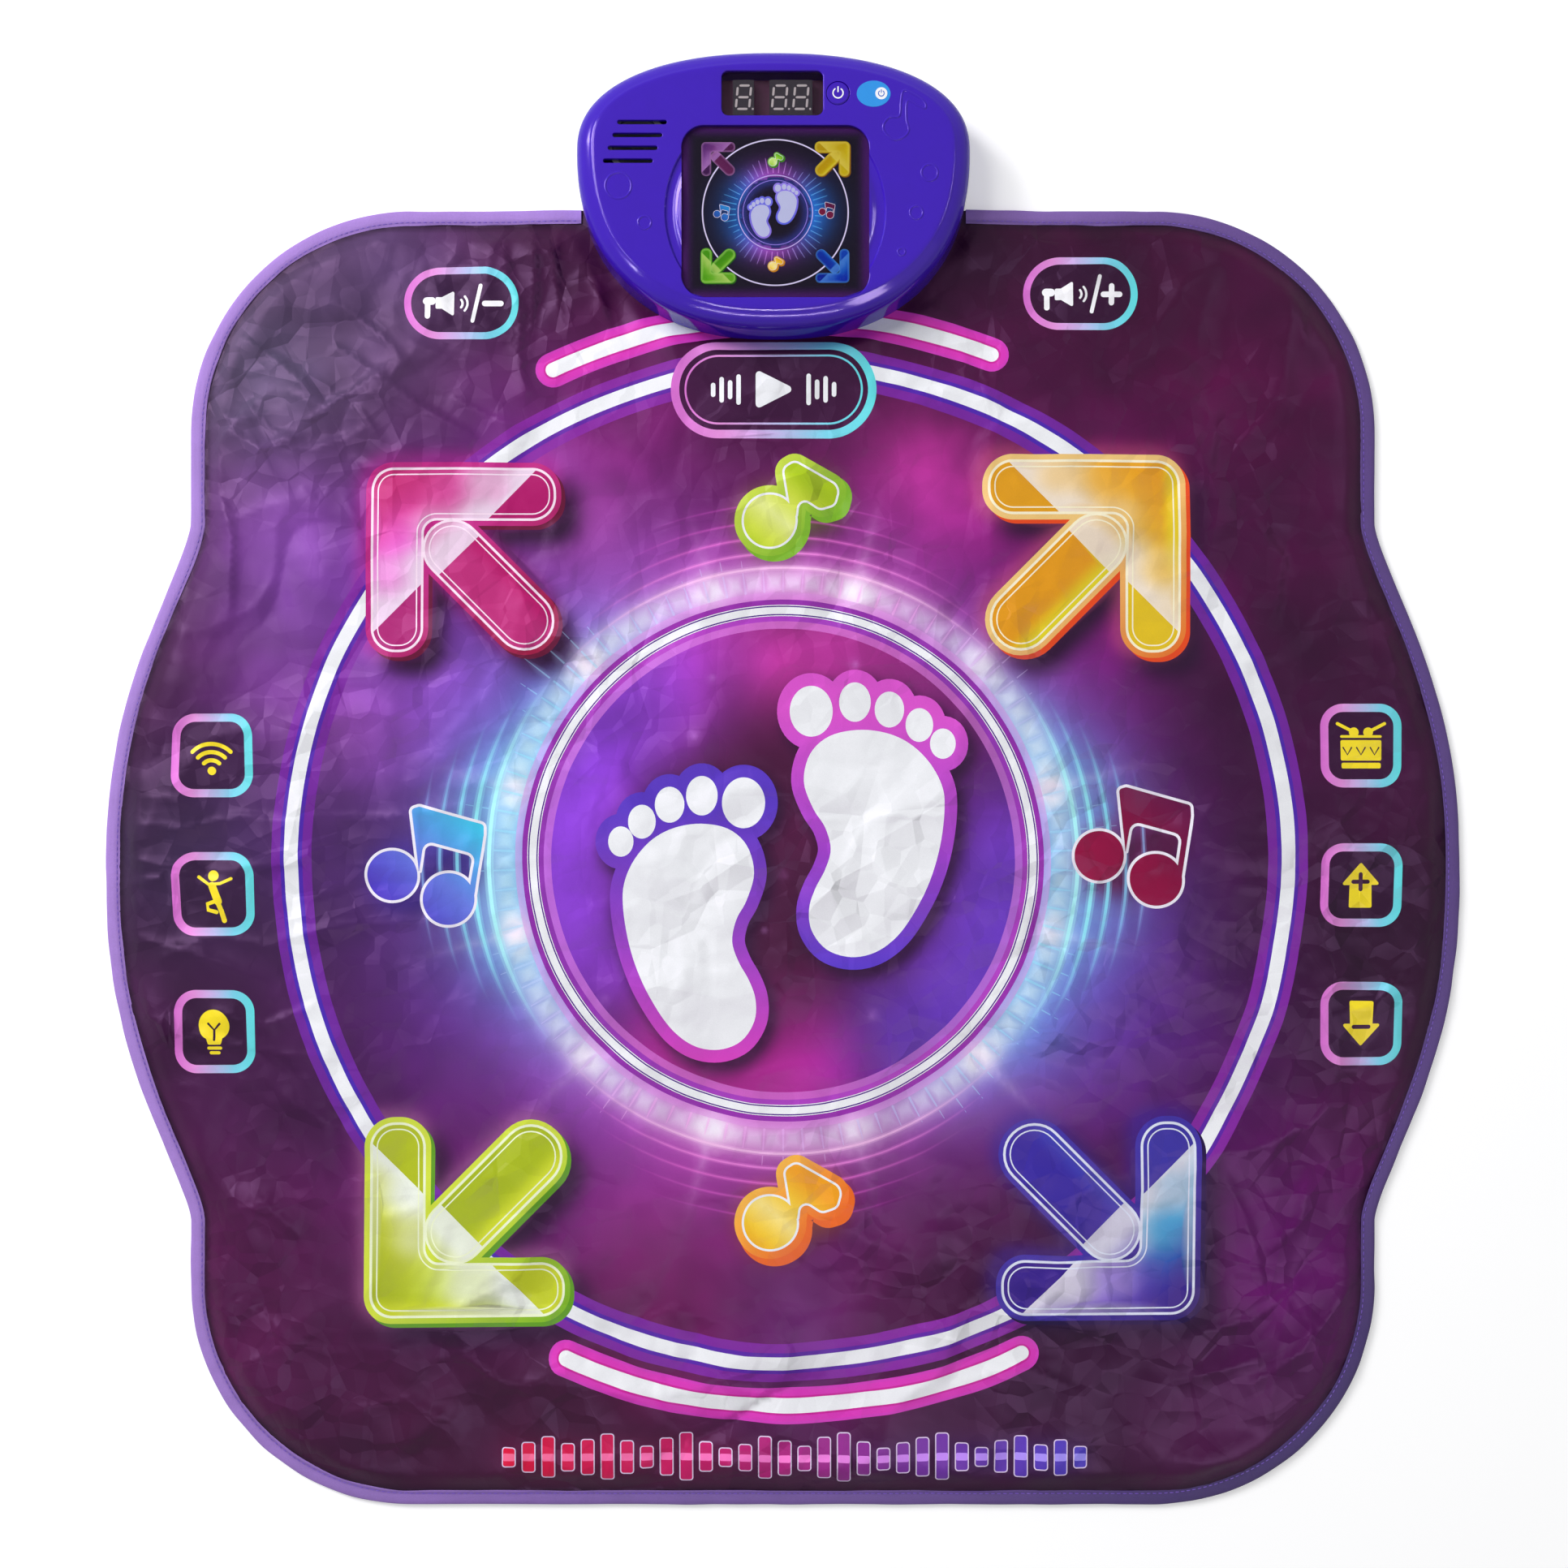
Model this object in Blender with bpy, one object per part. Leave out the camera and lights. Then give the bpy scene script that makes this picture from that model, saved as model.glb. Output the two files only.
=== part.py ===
"""Electronic dance mat: a thin padded play mat with seventeen touch zones, and a glossy control
housing with a light panel, a display, a speaker and a battery bay on its rear edge.

Metres, +Z up. The origin lies on the floor, under the middle of the whole object. +Y points to
the housing at the rear, and +X to the right of someone who stands on the mat and faces it.
"""

import math

import bpy
from mathutils import Matrix, Vector
from mathutils.geometry import delaunay_2d_cdt

# Clearances
GAP = 0.0003
NOTCH_CLEARANCE = 0.001
BOSS_CLEARANCE = 0.0008
SPACER_CLEARANCE = 0.001
CUT_OVERSHOOT = 0.001

# Mat outline. Its long sides swell between straight runs, around a line a little ahead of the
# mat's middle.
MAT_WIDTH = 0.732
MAT_DEPTH = 0.7995
MAT_CORNER_RADIUS = 0.137
BULGE = 0.0525
BULGE_POWERS = (2.4, 1.4)
BULGE_STRAIGHT_RUN = 0.04775
BULGE_AHEAD_OF_MIDDLE = 0.00875

# Mat layers, from the floor up
BASE_THICKNESS = 0.0006
FOAM_THICKNESS = 0.0018
CONTACT_FILM_THICKNESS = 0.00025
SPACER_THICKNESS = 0.0012
UPPER_FILM_THICKNESS = 0.00055
COVER_THICKNESS = 0.0006
PADDING_INSET = 0.023
PADDING_CREASE_MARGIN = 0.001
BINDING_THICKNESS = 0.0006
BINDING_WIDTH = 0.009

# Touch zones. Arrows are placed from the mat's edges to their outer corner. The rear and front
# note are placed by X and from their edge, the side notes and modes from the bulged side and
# from the bulge's middle, and the volume pills from the mat's side and its rear edge.
ARROW_FROM_SIDE = 0.115
ARROW_FROM_FRONT = 0.118
ARROW_FROM_REAR = 0.157
ARROW_REACH = 0.119
ARROW_LEG_WIDTH = 0.037
ARROW_SHAFT_HALF_WIDTH = 0.0195
ARROW_SHAFT_REACH = 0.097
ARROW_OUTER_RADIUS = 0.016
ARROW_TIP_RADIUS = 0.012
ARROW_CREASE_RADIUS = 0.005
NOTE_RADIUS = 0.0385
NOTE_REAR = (0.0055, 0.184)
NOTE_FRONT = (0.0072, 0.1845)
NOTE_LEFT = (0.1992, 0.0046)
NOTE_RIGHT = (0.2033, 0.0166)
START_SIZE = (0.127, 0.060)
START_TO_HOUSING = 0.0013
VOLUME_DOWN = (0.1687, 0.0587)
VOLUME_UP = (0.1827, 0.0525)
VOLUME_SIZE = (0.072, 0.046)
MODE_SIZE = 0.052
MODE_CORNER_RADIUS = 0.014
MODE_FROM_SIDE = 0.0665
MODE_FROM_MIDDLE = (0.075, -0.010, -0.095)

# Housing outline and shells. Places in the housing are measured from its own centre.
HOUSING_X = -0.00565
HOUSING_BEHIND_MAT = 0.0281
HOUSING_HALF_WIDTH = 0.1197
HOUSING_REAR_LENGTH = 0.060
HOUSING_FRONT_LENGTH = 0.1088
HOUSING_SQUARENESS = 2.3
HOUSING_HEIGHT = 0.038
HOUSING_DRAFT = 0.0008
HOUSING_EDGE_RADIUS = 0.011
SHELL_WALL = 0.0024
SHELL_ROOF = 0.0026
FLOOR_LOW = 0.0008
FLOOR_THICKNESS = 0.0019

# Light panel in the roof, between the housing's front and sides and the display window
PANEL_X = 0.0012
PANEL_SIDE_ROOM = 0.0635
PANEL_FRONT_ROOM = 0.01795
PANEL_TO_WINDOW = 0.0059
PANEL_CORNER_RADIUS = 0.0136
PANEL_LENS_THICKNESS = 0.0018
PANEL_FRAME_LIP = 0.002
PANEL_FRAME_WALL = 0.006
PRINT_THICKNESS = 0.0003
SCOOP_MARGIN = 0.0103
SCOOP_DEPTH = 0.0012
BOARD_THICKNESS = 0.0016
LIGHT_BOARD_CLEARANCE = 0.0009
PANEL_LIGHT_INSET = (0.0192, 0.01845)
PANEL_LIGHT_SIZE = 0.005
PANEL_LIGHT_HEIGHT = 0.002

# Display and power button. What lies by the window is placed from the window.
WINDOW_X = -0.0006
WINDOW_FROM_REAR = 0.0287
WINDOW_SIZE = (0.0607, 0.0267)
WINDOW_CORNER_RADIUS = 0.004
WINDOW_THICKNESS = 0.0016
DIGITS_AHEAD = 0.0018
DIGIT_DEPTH = 0.0214
DIGIT_HEIGHT = 0.008
LEVEL_DIGIT_MARGIN = 0.00675
LEVEL_DIGIT_WIDTH = 0.0126
SCORE_DIGIT_MARGIN = 0.0064
SCORE_DIGIT_WIDTH = 0.0257
DISPLAY_BOARD_AHEAD = 0.0013
DISPLAY_BOARD_DEPTH = 0.026
DISPLAY_BOARD_LEFT_END = 0.0118
DISPLAY_BOARD_RIGHT_END = 0.0133
DISPLAY_BOARD_CORNER = 0.002
POWER_TO_WINDOW = 0.00185
POWER_AHEAD = 0.0002
POWER_HOLE_RADIUS = 0.0071
POWER_FLANGE = 0.0016
POWER_FLANGE_THICKNESS = 0.0014
POWER_STANDS_PROUD = 0.0004
POWER_EDGE = 0.0006
POWER_TRAVEL = 0.001
SWITCH_RADIUS = 0.0036
SWITCH_STEM_RADIUS = 0.0017
SWITCH_STEM_LENGTH = 0.0015

# Speaker, and the slots over it, placed from its centre
SPEAKER_FROM_SIDE = 0.0382
SPEAKER_Y = 0.0022
SLOT_LENGTH = 0.0297
SLOT_WIDTH = 0.0026
SLOT_COUNT = 4
SLOT_FIRST = (0.003, 0.0116)
SLOT_STEP = (-0.00283, -0.0077)
SPEAKER_RADIUS = 0.0185
SPEAKER_DEPTH = 0.0082
SPEAKER_FLANGE = 0.0016
SPEAKER_SHEET = 0.0012
SPEAKER_NECK_RADIUS = 0.0100
SPEAKER_BORE_RADIUS = 0.0040
CONE_THICKNESS = 0.0006
CONE_NECK_HEIGHT = 0.00084
CONE_DOME_HEIGHT = 0.0018
CONE_CLEARANCE = 0.0012
MAGNET_RADIUS = 0.009
MAGNET_HEIGHT = 0.006

# Fasteners and feet. A place is measured inwards from the housing's side and its rear or front.
BOSS_RADIUS = 0.004
BOSS_BORE_RADIUS = 0.0018
BOSS_BORE_DEPTH = 0.012
CUP_RADIUS = 0.0052
CUP_TOP_THICKNESS = 0.0018
SCREW_HEAD_RADIUS = 0.003
SCREW_HEAD_HEIGHT = 0.0019
SCREW_SHANK_RADIUS = 0.0014
SCREW_REACH = 0.010
HEAD_CLEARANCE = 0.0004
REAR_SCREW_INSET = (0.0477, 0.022)
FRONT_SCREW_INSET = (0.0537, 0.0468)
FOOT_RADIUS = 0.007
FOOT_HEIGHT = 0.0016
FOOT_EDGE = 0.0004
REAR_FOOT_INSET = (0.0397, 0.040)
FRONT_FOOT_INSET = (0.0677, 0.0308)

# Circuit board and the mat's connector
MAIN_BOARD_DEPTH = 0.044
MAIN_BOARD_END_MARGIN = 0.006
MAIN_BOARD_CORNER = 0.003
CHIP_HEIGHT = 0.002
CHIPS = (
    ((-0.030, 0.004), (0.012, 0.012)),
    ((0.004, -0.006), (0.008, 0.016)),
    ((0.034, 0.005), (0.010, 0.006)),
)
CONNECTOR_SIZE = (0.040, 0.008)
CONNECTOR_BEHIND_BOARD_EDGE = 0.002
CONNECTOR_HEIGHT = 0.0057
TAIL_WINDOW_MARGIN = 0.003
TONGUE_BEYOND_SCREWS = 0.024
NOTCH_POINT_SPACING = 0.002

# Battery bay
BAY_TO_MAT = 0.0016
CELL_RADIUS = 0.0071
CELL_EDGE = 0.0006
CELL_LENGTH = 0.0505
CELL_NUB_RADIUS = 0.0026
CELL_NUB_LENGTH = 0.001
CELL_COUNT = 4
CELL_SPACING = 0.0008
CELL_LIFT = 0.0006
CONTACT_ROOM = 0.0035
CONTACT_THICKNESS = 0.0005
CONTACT_HEIGHT = 0.010
SPRING_BASE_RADIUS = 0.0042
SPRING_TIP_RADIUS = 0.0022
BAY_WALL = 0.0015
BAY_HEADROOM = 0.0006
POST_ROOM = 0.009
POST_RADIUS = 0.0035
DOOR_THICKNESS = 0.0017
DOOR_SCREW_HEAD_RADIUS = 0.0026
DOOR_SCREW_HEAD_HEIGHT = 0.0008
DOOR_SCREW_SHANK_RADIUS = 0.0011
DOOR_SCREW_REACH = 0.0034
DOOR_SCREW_CLEARANCE = 0.0006
POST_BORE_SPARE = 0.004

# Counts of segments
HOUSING_STEPS = 64
HOUSING_EDGE_STEPS = 5
SCOOP_STEPS = 12
CORNER_STEPS = 8
SIDE_STEPS = 22
REAR_EDGE_STEP = 0.0125
ROUND_STEPS = 20
SMALL_STEPS = 12

# Smallest corner radius, distance at which two points are one, and how much of a half width a
# fully rounded end takes
LEAST_RADIUS = 0.0005
MERGE_DISTANCE = 1e-5
NEARLY_ALL = 0.99

# Heights of the layers
BASE_HIGH = BASE_THICKNESS
FOAM_LOW = BASE_HIGH + GAP
FOAM_HIGH = FOAM_LOW + FOAM_THICKNESS
FILM_LOW = FOAM_HIGH + GAP
FILM_HIGH = FILM_LOW + CONTACT_FILM_THICKNESS
SPACER_LOW = FILM_HIGH + GAP
SPACER_HIGH = SPACER_LOW + SPACER_THICKNESS
ZONE_LOW = SPACER_HIGH + GAP
COVER_LOW = ZONE_LOW + UPPER_FILM_THICKNESS
COVER_HIGH = COVER_LOW + COVER_THICKNESS
ZONE_TRAVEL = ZONE_LOW - FILM_HIGH - GAP

# Edge of the mat, where the base rises and the cover comes down into the binding
BASE_EDGE_RISE = BINDING_THICKNESS + GAP
COVER_EDGE_DROP = COVER_LOW - BASE_EDGE_RISE - BASE_THICKNESS - 2 * GAP
CLOTH_INSET = BINDING_THICKNESS + GAP
BINDING_HEIGHT = COVER_HIGH - COVER_EDGE_DROP + GAP + BINDING_THICKNESS
EDGE_FADE_START = 0.008
EDGE_FADE_LENGTH = 0.045

# Places in the shared frame
OVERALL_DEPTH = MAT_DEPTH + HOUSING_BEHIND_MAT + HOUSING_REAR_LENGTH
FRONT_Y = -OVERALL_DEPTH / 2
REAR_Y = FRONT_Y + MAT_DEPTH
HOUSING_Y = REAR_Y + HOUSING_BEHIND_MAT
BULGE_HALF_LENGTH = MAT_DEPTH / 2 - MAT_CORNER_RADIUS - BULGE_STRAIGHT_RUN
BULGE_Y = FRONT_Y + MAT_DEPTH / 2 - BULGE_AHEAD_OF_MIDDLE
BULGE_SIDE = MAT_WIDTH / 2 + BULGE
START_Y = HOUSING_Y - HOUSING_FRONT_LENGTH - START_TO_HOUSING - START_SIZE[1] / 2

# Places in the housing, from its own centre
WINDOW_PLACE = (WINDOW_X, HOUSING_REAR_LENGTH - WINDOW_FROM_REAR)
WINDOW_FRONT = WINDOW_PLACE[1] - WINDOW_SIZE[1] / 2
WINDOW_LEFT = WINDOW_X - WINDOW_SIZE[0] / 2
WINDOW_RIGHT = WINDOW_X + WINDOW_SIZE[0] / 2
PANEL_FRONT = PANEL_FRONT_ROOM - HOUSING_FRONT_LENGTH
PANEL_REAR = WINDOW_FRONT - PANEL_TO_WINDOW
PANEL_SIZE = (2 * (HOUSING_HALF_WIDTH - PANEL_SIDE_ROOM), PANEL_REAR - PANEL_FRONT)
PANEL_PLACE = (PANEL_X, (PANEL_FRONT + PANEL_REAR) / 2)
SCOOP_RADIUS = PANEL_SIZE[0] / 2 + SCOOP_MARGIN
DIGITS_Y = WINDOW_PLACE[1] - DIGITS_AHEAD
LEVEL_DIGIT_LEFT = WINDOW_LEFT + LEVEL_DIGIT_MARGIN
LEVEL_DIGIT_X = LEVEL_DIGIT_LEFT + LEVEL_DIGIT_WIDTH / 2
SCORE_DIGIT_X = WINDOW_RIGHT - SCORE_DIGIT_MARGIN - SCORE_DIGIT_WIDTH / 2
POWER_X = WINDOW_RIGHT + POWER_TO_WINDOW + POWER_HOLE_RADIUS
POWER_PLACE = (POWER_X, WINDOW_PLACE[1] - POWER_AHEAD)
DISPLAY_BOARD_LEFT = LEVEL_DIGIT_LEFT - DISPLAY_BOARD_LEFT_END
DISPLAY_BOARD_RIGHT = POWER_X + DISPLAY_BOARD_RIGHT_END
SPEAKER_PLACE = (SPEAKER_FROM_SIDE - HOUSING_HALF_WIDTH, SPEAKER_Y)
REAR_SCREW = (HOUSING_HALF_WIDTH - REAR_SCREW_INSET[0], HOUSING_REAR_LENGTH - REAR_SCREW_INSET[1])
FRONT_SCREW = (HOUSING_HALF_WIDTH - FRONT_SCREW_INSET[0], FRONT_SCREW_INSET[1] - HOUSING_FRONT_LENGTH)
REAR_FOOT = (HOUSING_HALF_WIDTH - REAR_FOOT_INSET[0], HOUSING_REAR_LENGTH - REAR_FOOT_INSET[1])
FRONT_FOOT = (HOUSING_HALF_WIDTH - FRONT_FOOT_INSET[0], FRONT_FOOT_INSET[1] - HOUSING_FRONT_LENGTH)
MAIN_BOARD_PLACE = (0.0, FRONT_SCREW[1])
MAIN_BOARD_SIZE = (2 * (FRONT_SCREW[0] + MAIN_BOARD_END_MARGIN), MAIN_BOARD_DEPTH)
TONGUE_HALF_WIDTH = FRONT_SCREW[0] + TONGUE_BEYOND_SCREWS

# Battery bay, in the housing's own frame
CELL_PITCH = 2 * CELL_RADIUS + CELL_SPACING
BAY_HALF_WIDTH = (CELL_COUNT * CELL_PITCH + 2 * CELL_SPACING) / 2
BAY_FRONT = BAY_TO_MAT + BAY_WALL - HOUSING_BEHIND_MAT
BAY_REAR = BAY_FRONT + CELL_LENGTH + 2 * CONTACT_ROOM + POST_ROOM
DOOR_HIGH = FLOOR_LOW + DOOR_THICKNESS
CELL_AXIS_Z = DOOR_HIGH + CELL_LIFT + CELL_RADIUS
BAY_CEILING = CELL_AXIS_Z + CELL_RADIUS + BAY_HEADROOM
POST_Y = BAY_REAR - POST_ROOM / 2
POST_LOW = DOOR_HIGH + GAP

# Heights in the housing
RIM = COVER_HIGH + GAP
CEILING = HOUSING_HEIGHT - SHELL_ROOF
FLOOR_HIGH = FLOOR_LOW + FLOOR_THICKNESS
UNDER_ROOF = CEILING - GAP
PRINT_LOW = UNDER_ROOF - PRINT_THICKNESS
FRAME_HIGH = PRINT_LOW - GAP
LIGHT_BOARD_LOW = BAY_CEILING + BAY_WALL + LIGHT_BOARD_CLEARANCE
LIGHT_BOARD_HIGH = LIGHT_BOARD_LOW + BOARD_THICKNESS
FRAME_LOW = LIGHT_BOARD_HIGH + GAP
DIGIT_LOW = UNDER_ROOF - DIGIT_HEIGHT
DISPLAY_BOARD_HIGH = DIGIT_LOW - GAP
CONNECTOR_LOW = FILM_HIGH + GAP
CONNECTOR_HIGH = CONNECTOR_LOW + CONNECTOR_HEIGHT
MAIN_BOARD_LOW = CONNECTOR_HIGH + GAP
CUP_HIGH = RIM - GAP
HEAD_SEAT = CUP_HIGH - CUP_TOP_THICKNESS

# Colours and finishes: name, colour, roughness, metallic, alpha
CLOTH_PURPLE = ("cloth_purple", (0.085, 0.03, 0.10), 0.45, 0.0, 1.0)
CLOTH_BACK = ("cloth_back", (0.05, 0.045, 0.06), 0.7, 0.0, 1.0)
BINDING_CLOTH = ("binding_cloth", (0.25, 0.14, 0.55), 0.7, 0.0, 1.0)
PADDING = ("padding", (0.8, 0.8, 0.78), 0.9, 0.0, 1.0)
FILM = ("film", (0.7, 0.75, 0.8), 0.3, 0.0, 1.0)
HOUSING_PLASTIC = ("housing_plastic", (0.062, 0.027, 0.53), 0.18, 0.0, 1.0)
WINDOW_PLASTIC = ("window_plastic", (0.05, 0.008, 0.05), 0.1, 0.0, 1.0)
DIGIT_PLASTIC = ("digit_plastic", (0.045, 0.035, 0.045), 0.35, 0.0, 1.0)
PANEL_PLASTIC = ("panel_plastic", (0.02, 0.012, 0.03), 0.08, 0.0, 1.0)
BOARD_GREEN = ("board_green", (0.02, 0.12, 0.05), 0.4, 0.0, 1.0)
DARK_PLASTIC = ("dark_plastic", (0.03, 0.03, 0.03), 0.5, 0.0, 1.0)
WHITE_PLASTIC = ("white_plastic", (0.8, 0.8, 0.8), 0.4, 0.0, 1.0)
RUBBER = ("rubber", (0.02, 0.02, 0.02), 0.85, 0.0, 1.0)
STEEL = ("steel", (0.6, 0.6, 0.6), 0.3, 1.0, 1.0)
CONE_PAPER = ("cone_paper", (0.03, 0.03, 0.035), 0.8, 0.0, 1.0)
CELL_WRAP = ("cell_wrap", (0.05, 0.12, 0.1), 0.35, 0.0, 1.0)
ARROW_COLOURS = {
    "rear_left": ("arrow_magenta", (0.58, 0.02, 0.26), 0.4, 0.0, 1.0),
    "rear_right": ("arrow_amber", (0.75, 0.38, 0.01), 0.4, 0.0, 1.0),
    "front_left": ("arrow_lime", (0.46, 0.54, 0.01), 0.4, 0.0, 1.0),
    "front_right": ("arrow_blue", (0.03, 0.06, 0.38), 0.4, 0.0, 1.0),
}


def clear_scene():
    for obj in list(bpy.data.objects):
        bpy.data.objects.remove(obj, do_unlink=True)


def material(recipe):
    """The shared Principled material of one recipe, made on first use."""
    name, colour, roughness, metallic, alpha = recipe
    found = bpy.data.materials.get(name)
    if found:
        return found
    made = bpy.data.materials.new(name)
    made.use_nodes = True
    shader = made.node_tree.nodes["Principled BSDF"]
    shader.inputs["Base Color"].default_value = (*colour, 1.0)
    shader.inputs["Roughness"].default_value = roughness
    shader.inputs["Metallic"].default_value = metallic
    shader.inputs["Alpha"].default_value = alpha
    made.diffuse_color = (*colour, 1.0)
    return made


def group(name, place):
    """An empty that carries the pieces of one group."""
    empty = bpy.data.objects.new(name, None)
    empty.location = place
    bpy.context.scene.collection.objects.link(empty)
    return empty


def solid(name, points, faces, recipe, parent=None, origin=(0.0, 0.0, 0.0)):
    """A closed mesh object. Its points are in its parent's frame, and its origin is where asked."""
    mesh = bpy.data.meshes.new(name)
    mesh.from_pydata([Vector(p) - Vector(origin) for p in points], [], faces)
    mesh.validate()
    mesh.shade_smooth()
    mesh.set_sharp_from_angle(angle=math.radians(35))
    mesh.materials.append(material(recipe))
    obj = bpy.data.objects.new(name, mesh)
    obj.location = origin
    obj.parent = parent
    bpy.context.scene.collection.objects.link(obj)
    return obj


def rise_at(sources, points):
    """The rise of a point of a sheet's plan, which is 0 where two of its lines cross."""
    given = points[sources[0]] if sources else ()
    return given[2] if len(given) > 2 else 0.0


def slab(name, outer, low, high, recipe, holes=(), creases=(), parent=None, origin=(0, 0, 0)):
    """A sheet between two heights, with holes. Loops run anticlockwise. A point is x, y and,
    where the sheet leaves its level, the rise there. Creases are open lines inside the sheet."""
    points = []
    rings = []
    for loop in (outer, *holes):
        rings.append(list(range(len(points), len(points) + len(loop))))
        points.extend(loop)
    edges = []
    for line in creases:
        first = len(points)
        points.extend(line)
        edges.extend((k, k + 1) for k in range(first, len(points) - 1))
    flat = [Vector(p[:2]) for p in points]
    corners, _, triangles, sources, _, inside = delaunay_2d_cdt(flat, edges, rings, 1, 1e-7)
    kept = [tri for tri, owners in zip(triangles, inside) if list(owners) == [0]]
    used = sorted({k for tri in kept for k in tri})
    new = {k: n for n, k in enumerate(used)}
    rises = [rise_at(sources[k], points) for k in used]
    count = len(used)
    below = [(*corners[k], low + rise) for k, rise in zip(used, rises)]
    above = [(*corners[k], high + rise) for k, rise in zip(used, rises)]
    top = [tuple(new[k] + count for k in tri) for tri in kept]
    bottom = [tuple(new[k] for k in reversed(tri)) for tri in kept]
    directed = {(tri[k], tri[(k + 1) % 3]) for tri in kept for k in range(3)}
    rim = [(new[a], new[b]) for a, b in sorted(directed) if (b, a) not in directed]
    sides = [(b + count, a + count, a, b) for a, b in rim]
    return solid(name, below + above, top + bottom + sides, recipe, parent, origin)


def turned(name, profile, place, recipe, steps=ROUND_STEPS, parent=None):
    """A turned solid. Its profile lists radius and height, anticlockwise with the axis on the
    left: from the axis at the bottom to the axis at the top, or round a closed section."""
    points = []
    rows = []
    for radius, height in profile:
        if radius == 0:
            rows.append([len(points)] * steps)
            points.append((0.0, 0.0, height))
            continue
        rows.append(list(range(len(points), len(points) + steps)))
        for k in range(steps):
            turn = 2 * math.pi * k / steps
            points.append((radius * math.cos(turn), radius * math.sin(turn), height))
    pairs = list(zip(rows, rows[1:]))
    if profile[0][0] != 0:
        pairs.append((rows[-1], rows[0]))
    faces = []
    for lower, upper in pairs:
        for k in range(steps):
            n = (k + 1) % steps
            face = (lower[k], lower[n], upper[n], upper[k])
            corners = tuple(dict.fromkeys(face))
            if len(corners) > 2:
                faces.append(corners)
    obj = solid(name, points, faces, recipe, parent)
    obj.location = place
    return obj


def lofted(name, loops, recipe, parent=None):
    """A closed solid through equally long loops, each capped end filled."""
    count = len(loops[0])
    points = [point for loop in loops for point in loop]
    faces = []
    for level in range(len(loops) - 1):
        low = level * count
        high = low + count
        for k in range(count):
            n = (k + 1) % count
            faces.append((low + k, low + n, high + n, high + k))
    last = (len(loops) - 1) * count
    faces.append(tuple(reversed(range(count))))
    faces.append(tuple(range(last, last + count)))
    return solid(name, points, faces, recipe, parent)


def merged(name, pieces, parent):
    """One helper object out of solids that stay clear of each other."""
    points = []
    faces = []
    for piece in pieces:
        first = len(points)
        shift = Matrix.Translation(piece.location)
        points.extend(tuple(shift @ v.co) for v in piece.data.vertices)
        faces.extend(tuple(first + k for k in face.vertices) for face in piece.data.polygons)
        bpy.data.objects.remove(piece, do_unlink=True)
    return solid(name, points, faces, DARK_PLASTIC, parent)


def combine(target, tool, operation):
    """A Boolean on the target, whose tool stays as a hidden wire helper."""
    tool.hide_render = True
    tool.display_type = "WIRE"
    step = target.modifiers.new(f"{operation.lower()}_{tool.name}", "BOOLEAN")
    step.operation = operation
    step.solver = "EXACT"
    step.object = tool


def shifted(loop, place):
    return [(p[0] + place[0], p[1] + place[1]) for p in loop]


def offset_corners(corners, grow):
    """The polygon with each side moved outwards."""
    moved = []
    count = len(corners)
    for k, here in enumerate(corners):
        before = (Vector(here) - Vector(corners[k - 1])).normalized()
        after = (Vector(corners[(k + 1) % count]) - Vector(here)).normalized()
        out_before = Vector((before.y, -before.x))
        out_after = Vector((after.y, -after.x))
        reach = grow / (1 + out_before.dot(out_after))
        moved.append(tuple(Vector(here) + (out_before + out_after) * reach))
    return moved


def rounded(corners, radii, steps, grow=0.0):
    """An anticlockwise polygon with rounded corners, grown by a distance. Each radius keeps its
    centre, so the grown outline runs alongside the first one."""
    count = len(corners)
    grown = offset_corners(corners, grow)
    loop = []
    for k, here in enumerate(grown):
        to_last = Vector(grown[k - 1]) - Vector(here)
        to_next = Vector(grown[(k + 1) % count]) - Vector(here)
        turn = to_last.cross(to_next)
        convex = turn < 0
        radius = max(radii[k] + (grow if convex else -grow), LEAST_RADIUS)
        half = to_last.angle(to_next) / 2
        tangent = radius / math.tan(half)
        limit = min(to_last.length, to_next.length) * 0.5
        tangent = min(tangent, limit)
        radius = tangent * math.tan(half)
        start = Vector(here) + to_last.normalized() * tangent
        end = Vector(here) + to_next.normalized() * tangent
        middle = Vector(here) + (to_last.normalized() + to_next.normalized()).normalized() * (
            radius / math.sin(half)
        )
        first = start - middle
        sweep = first.angle_signed(end - middle)
        for step in range(steps + 1):
            turned_by = -sweep * step / steps
            x = first.x * math.cos(turned_by) - first.y * math.sin(turned_by)
            y = first.x * math.sin(turned_by) + first.y * math.cos(turned_by)
            loop.append((middle.x + x, middle.y + y))
    return without_repeats(loop)


def without_repeats(loop):
    """The loop without points that lie on the one before."""
    kept = []
    for point in loop:
        if not kept or (Vector(point) - Vector(kept[-1])).length > MERGE_DISTANCE:
            kept.append(point)
    if (Vector(kept[0]) - Vector(kept[-1])).length <= MERGE_DISTANCE:
        kept.pop()
    return kept


def box_corners(size, place=(0.0, 0.0)):
    half_x = size[0] / 2
    half_y = size[1] / 2
    square = [(-half_x, -half_y), (half_x, -half_y), (half_x, half_y), (-half_x, half_y)]
    return shifted(square, place)


def rounded_box(size, radius, steps, place=(0.0, 0.0), grow=0.0):
    return rounded(box_corners(size, place), [radius] * 4, steps, grow)


def circle(radius, steps, place=(0.0, 0.0)):
    turns = (2 * math.pi * k / steps for k in range(steps))
    return [(place[0] + radius * math.cos(t), place[1] + radius * math.sin(t)) for t in turns]


def block(name, size, place, low, high, recipe, parent):
    return slab(name, box_corners(size, place), low, high, recipe, parent=parent)


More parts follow.
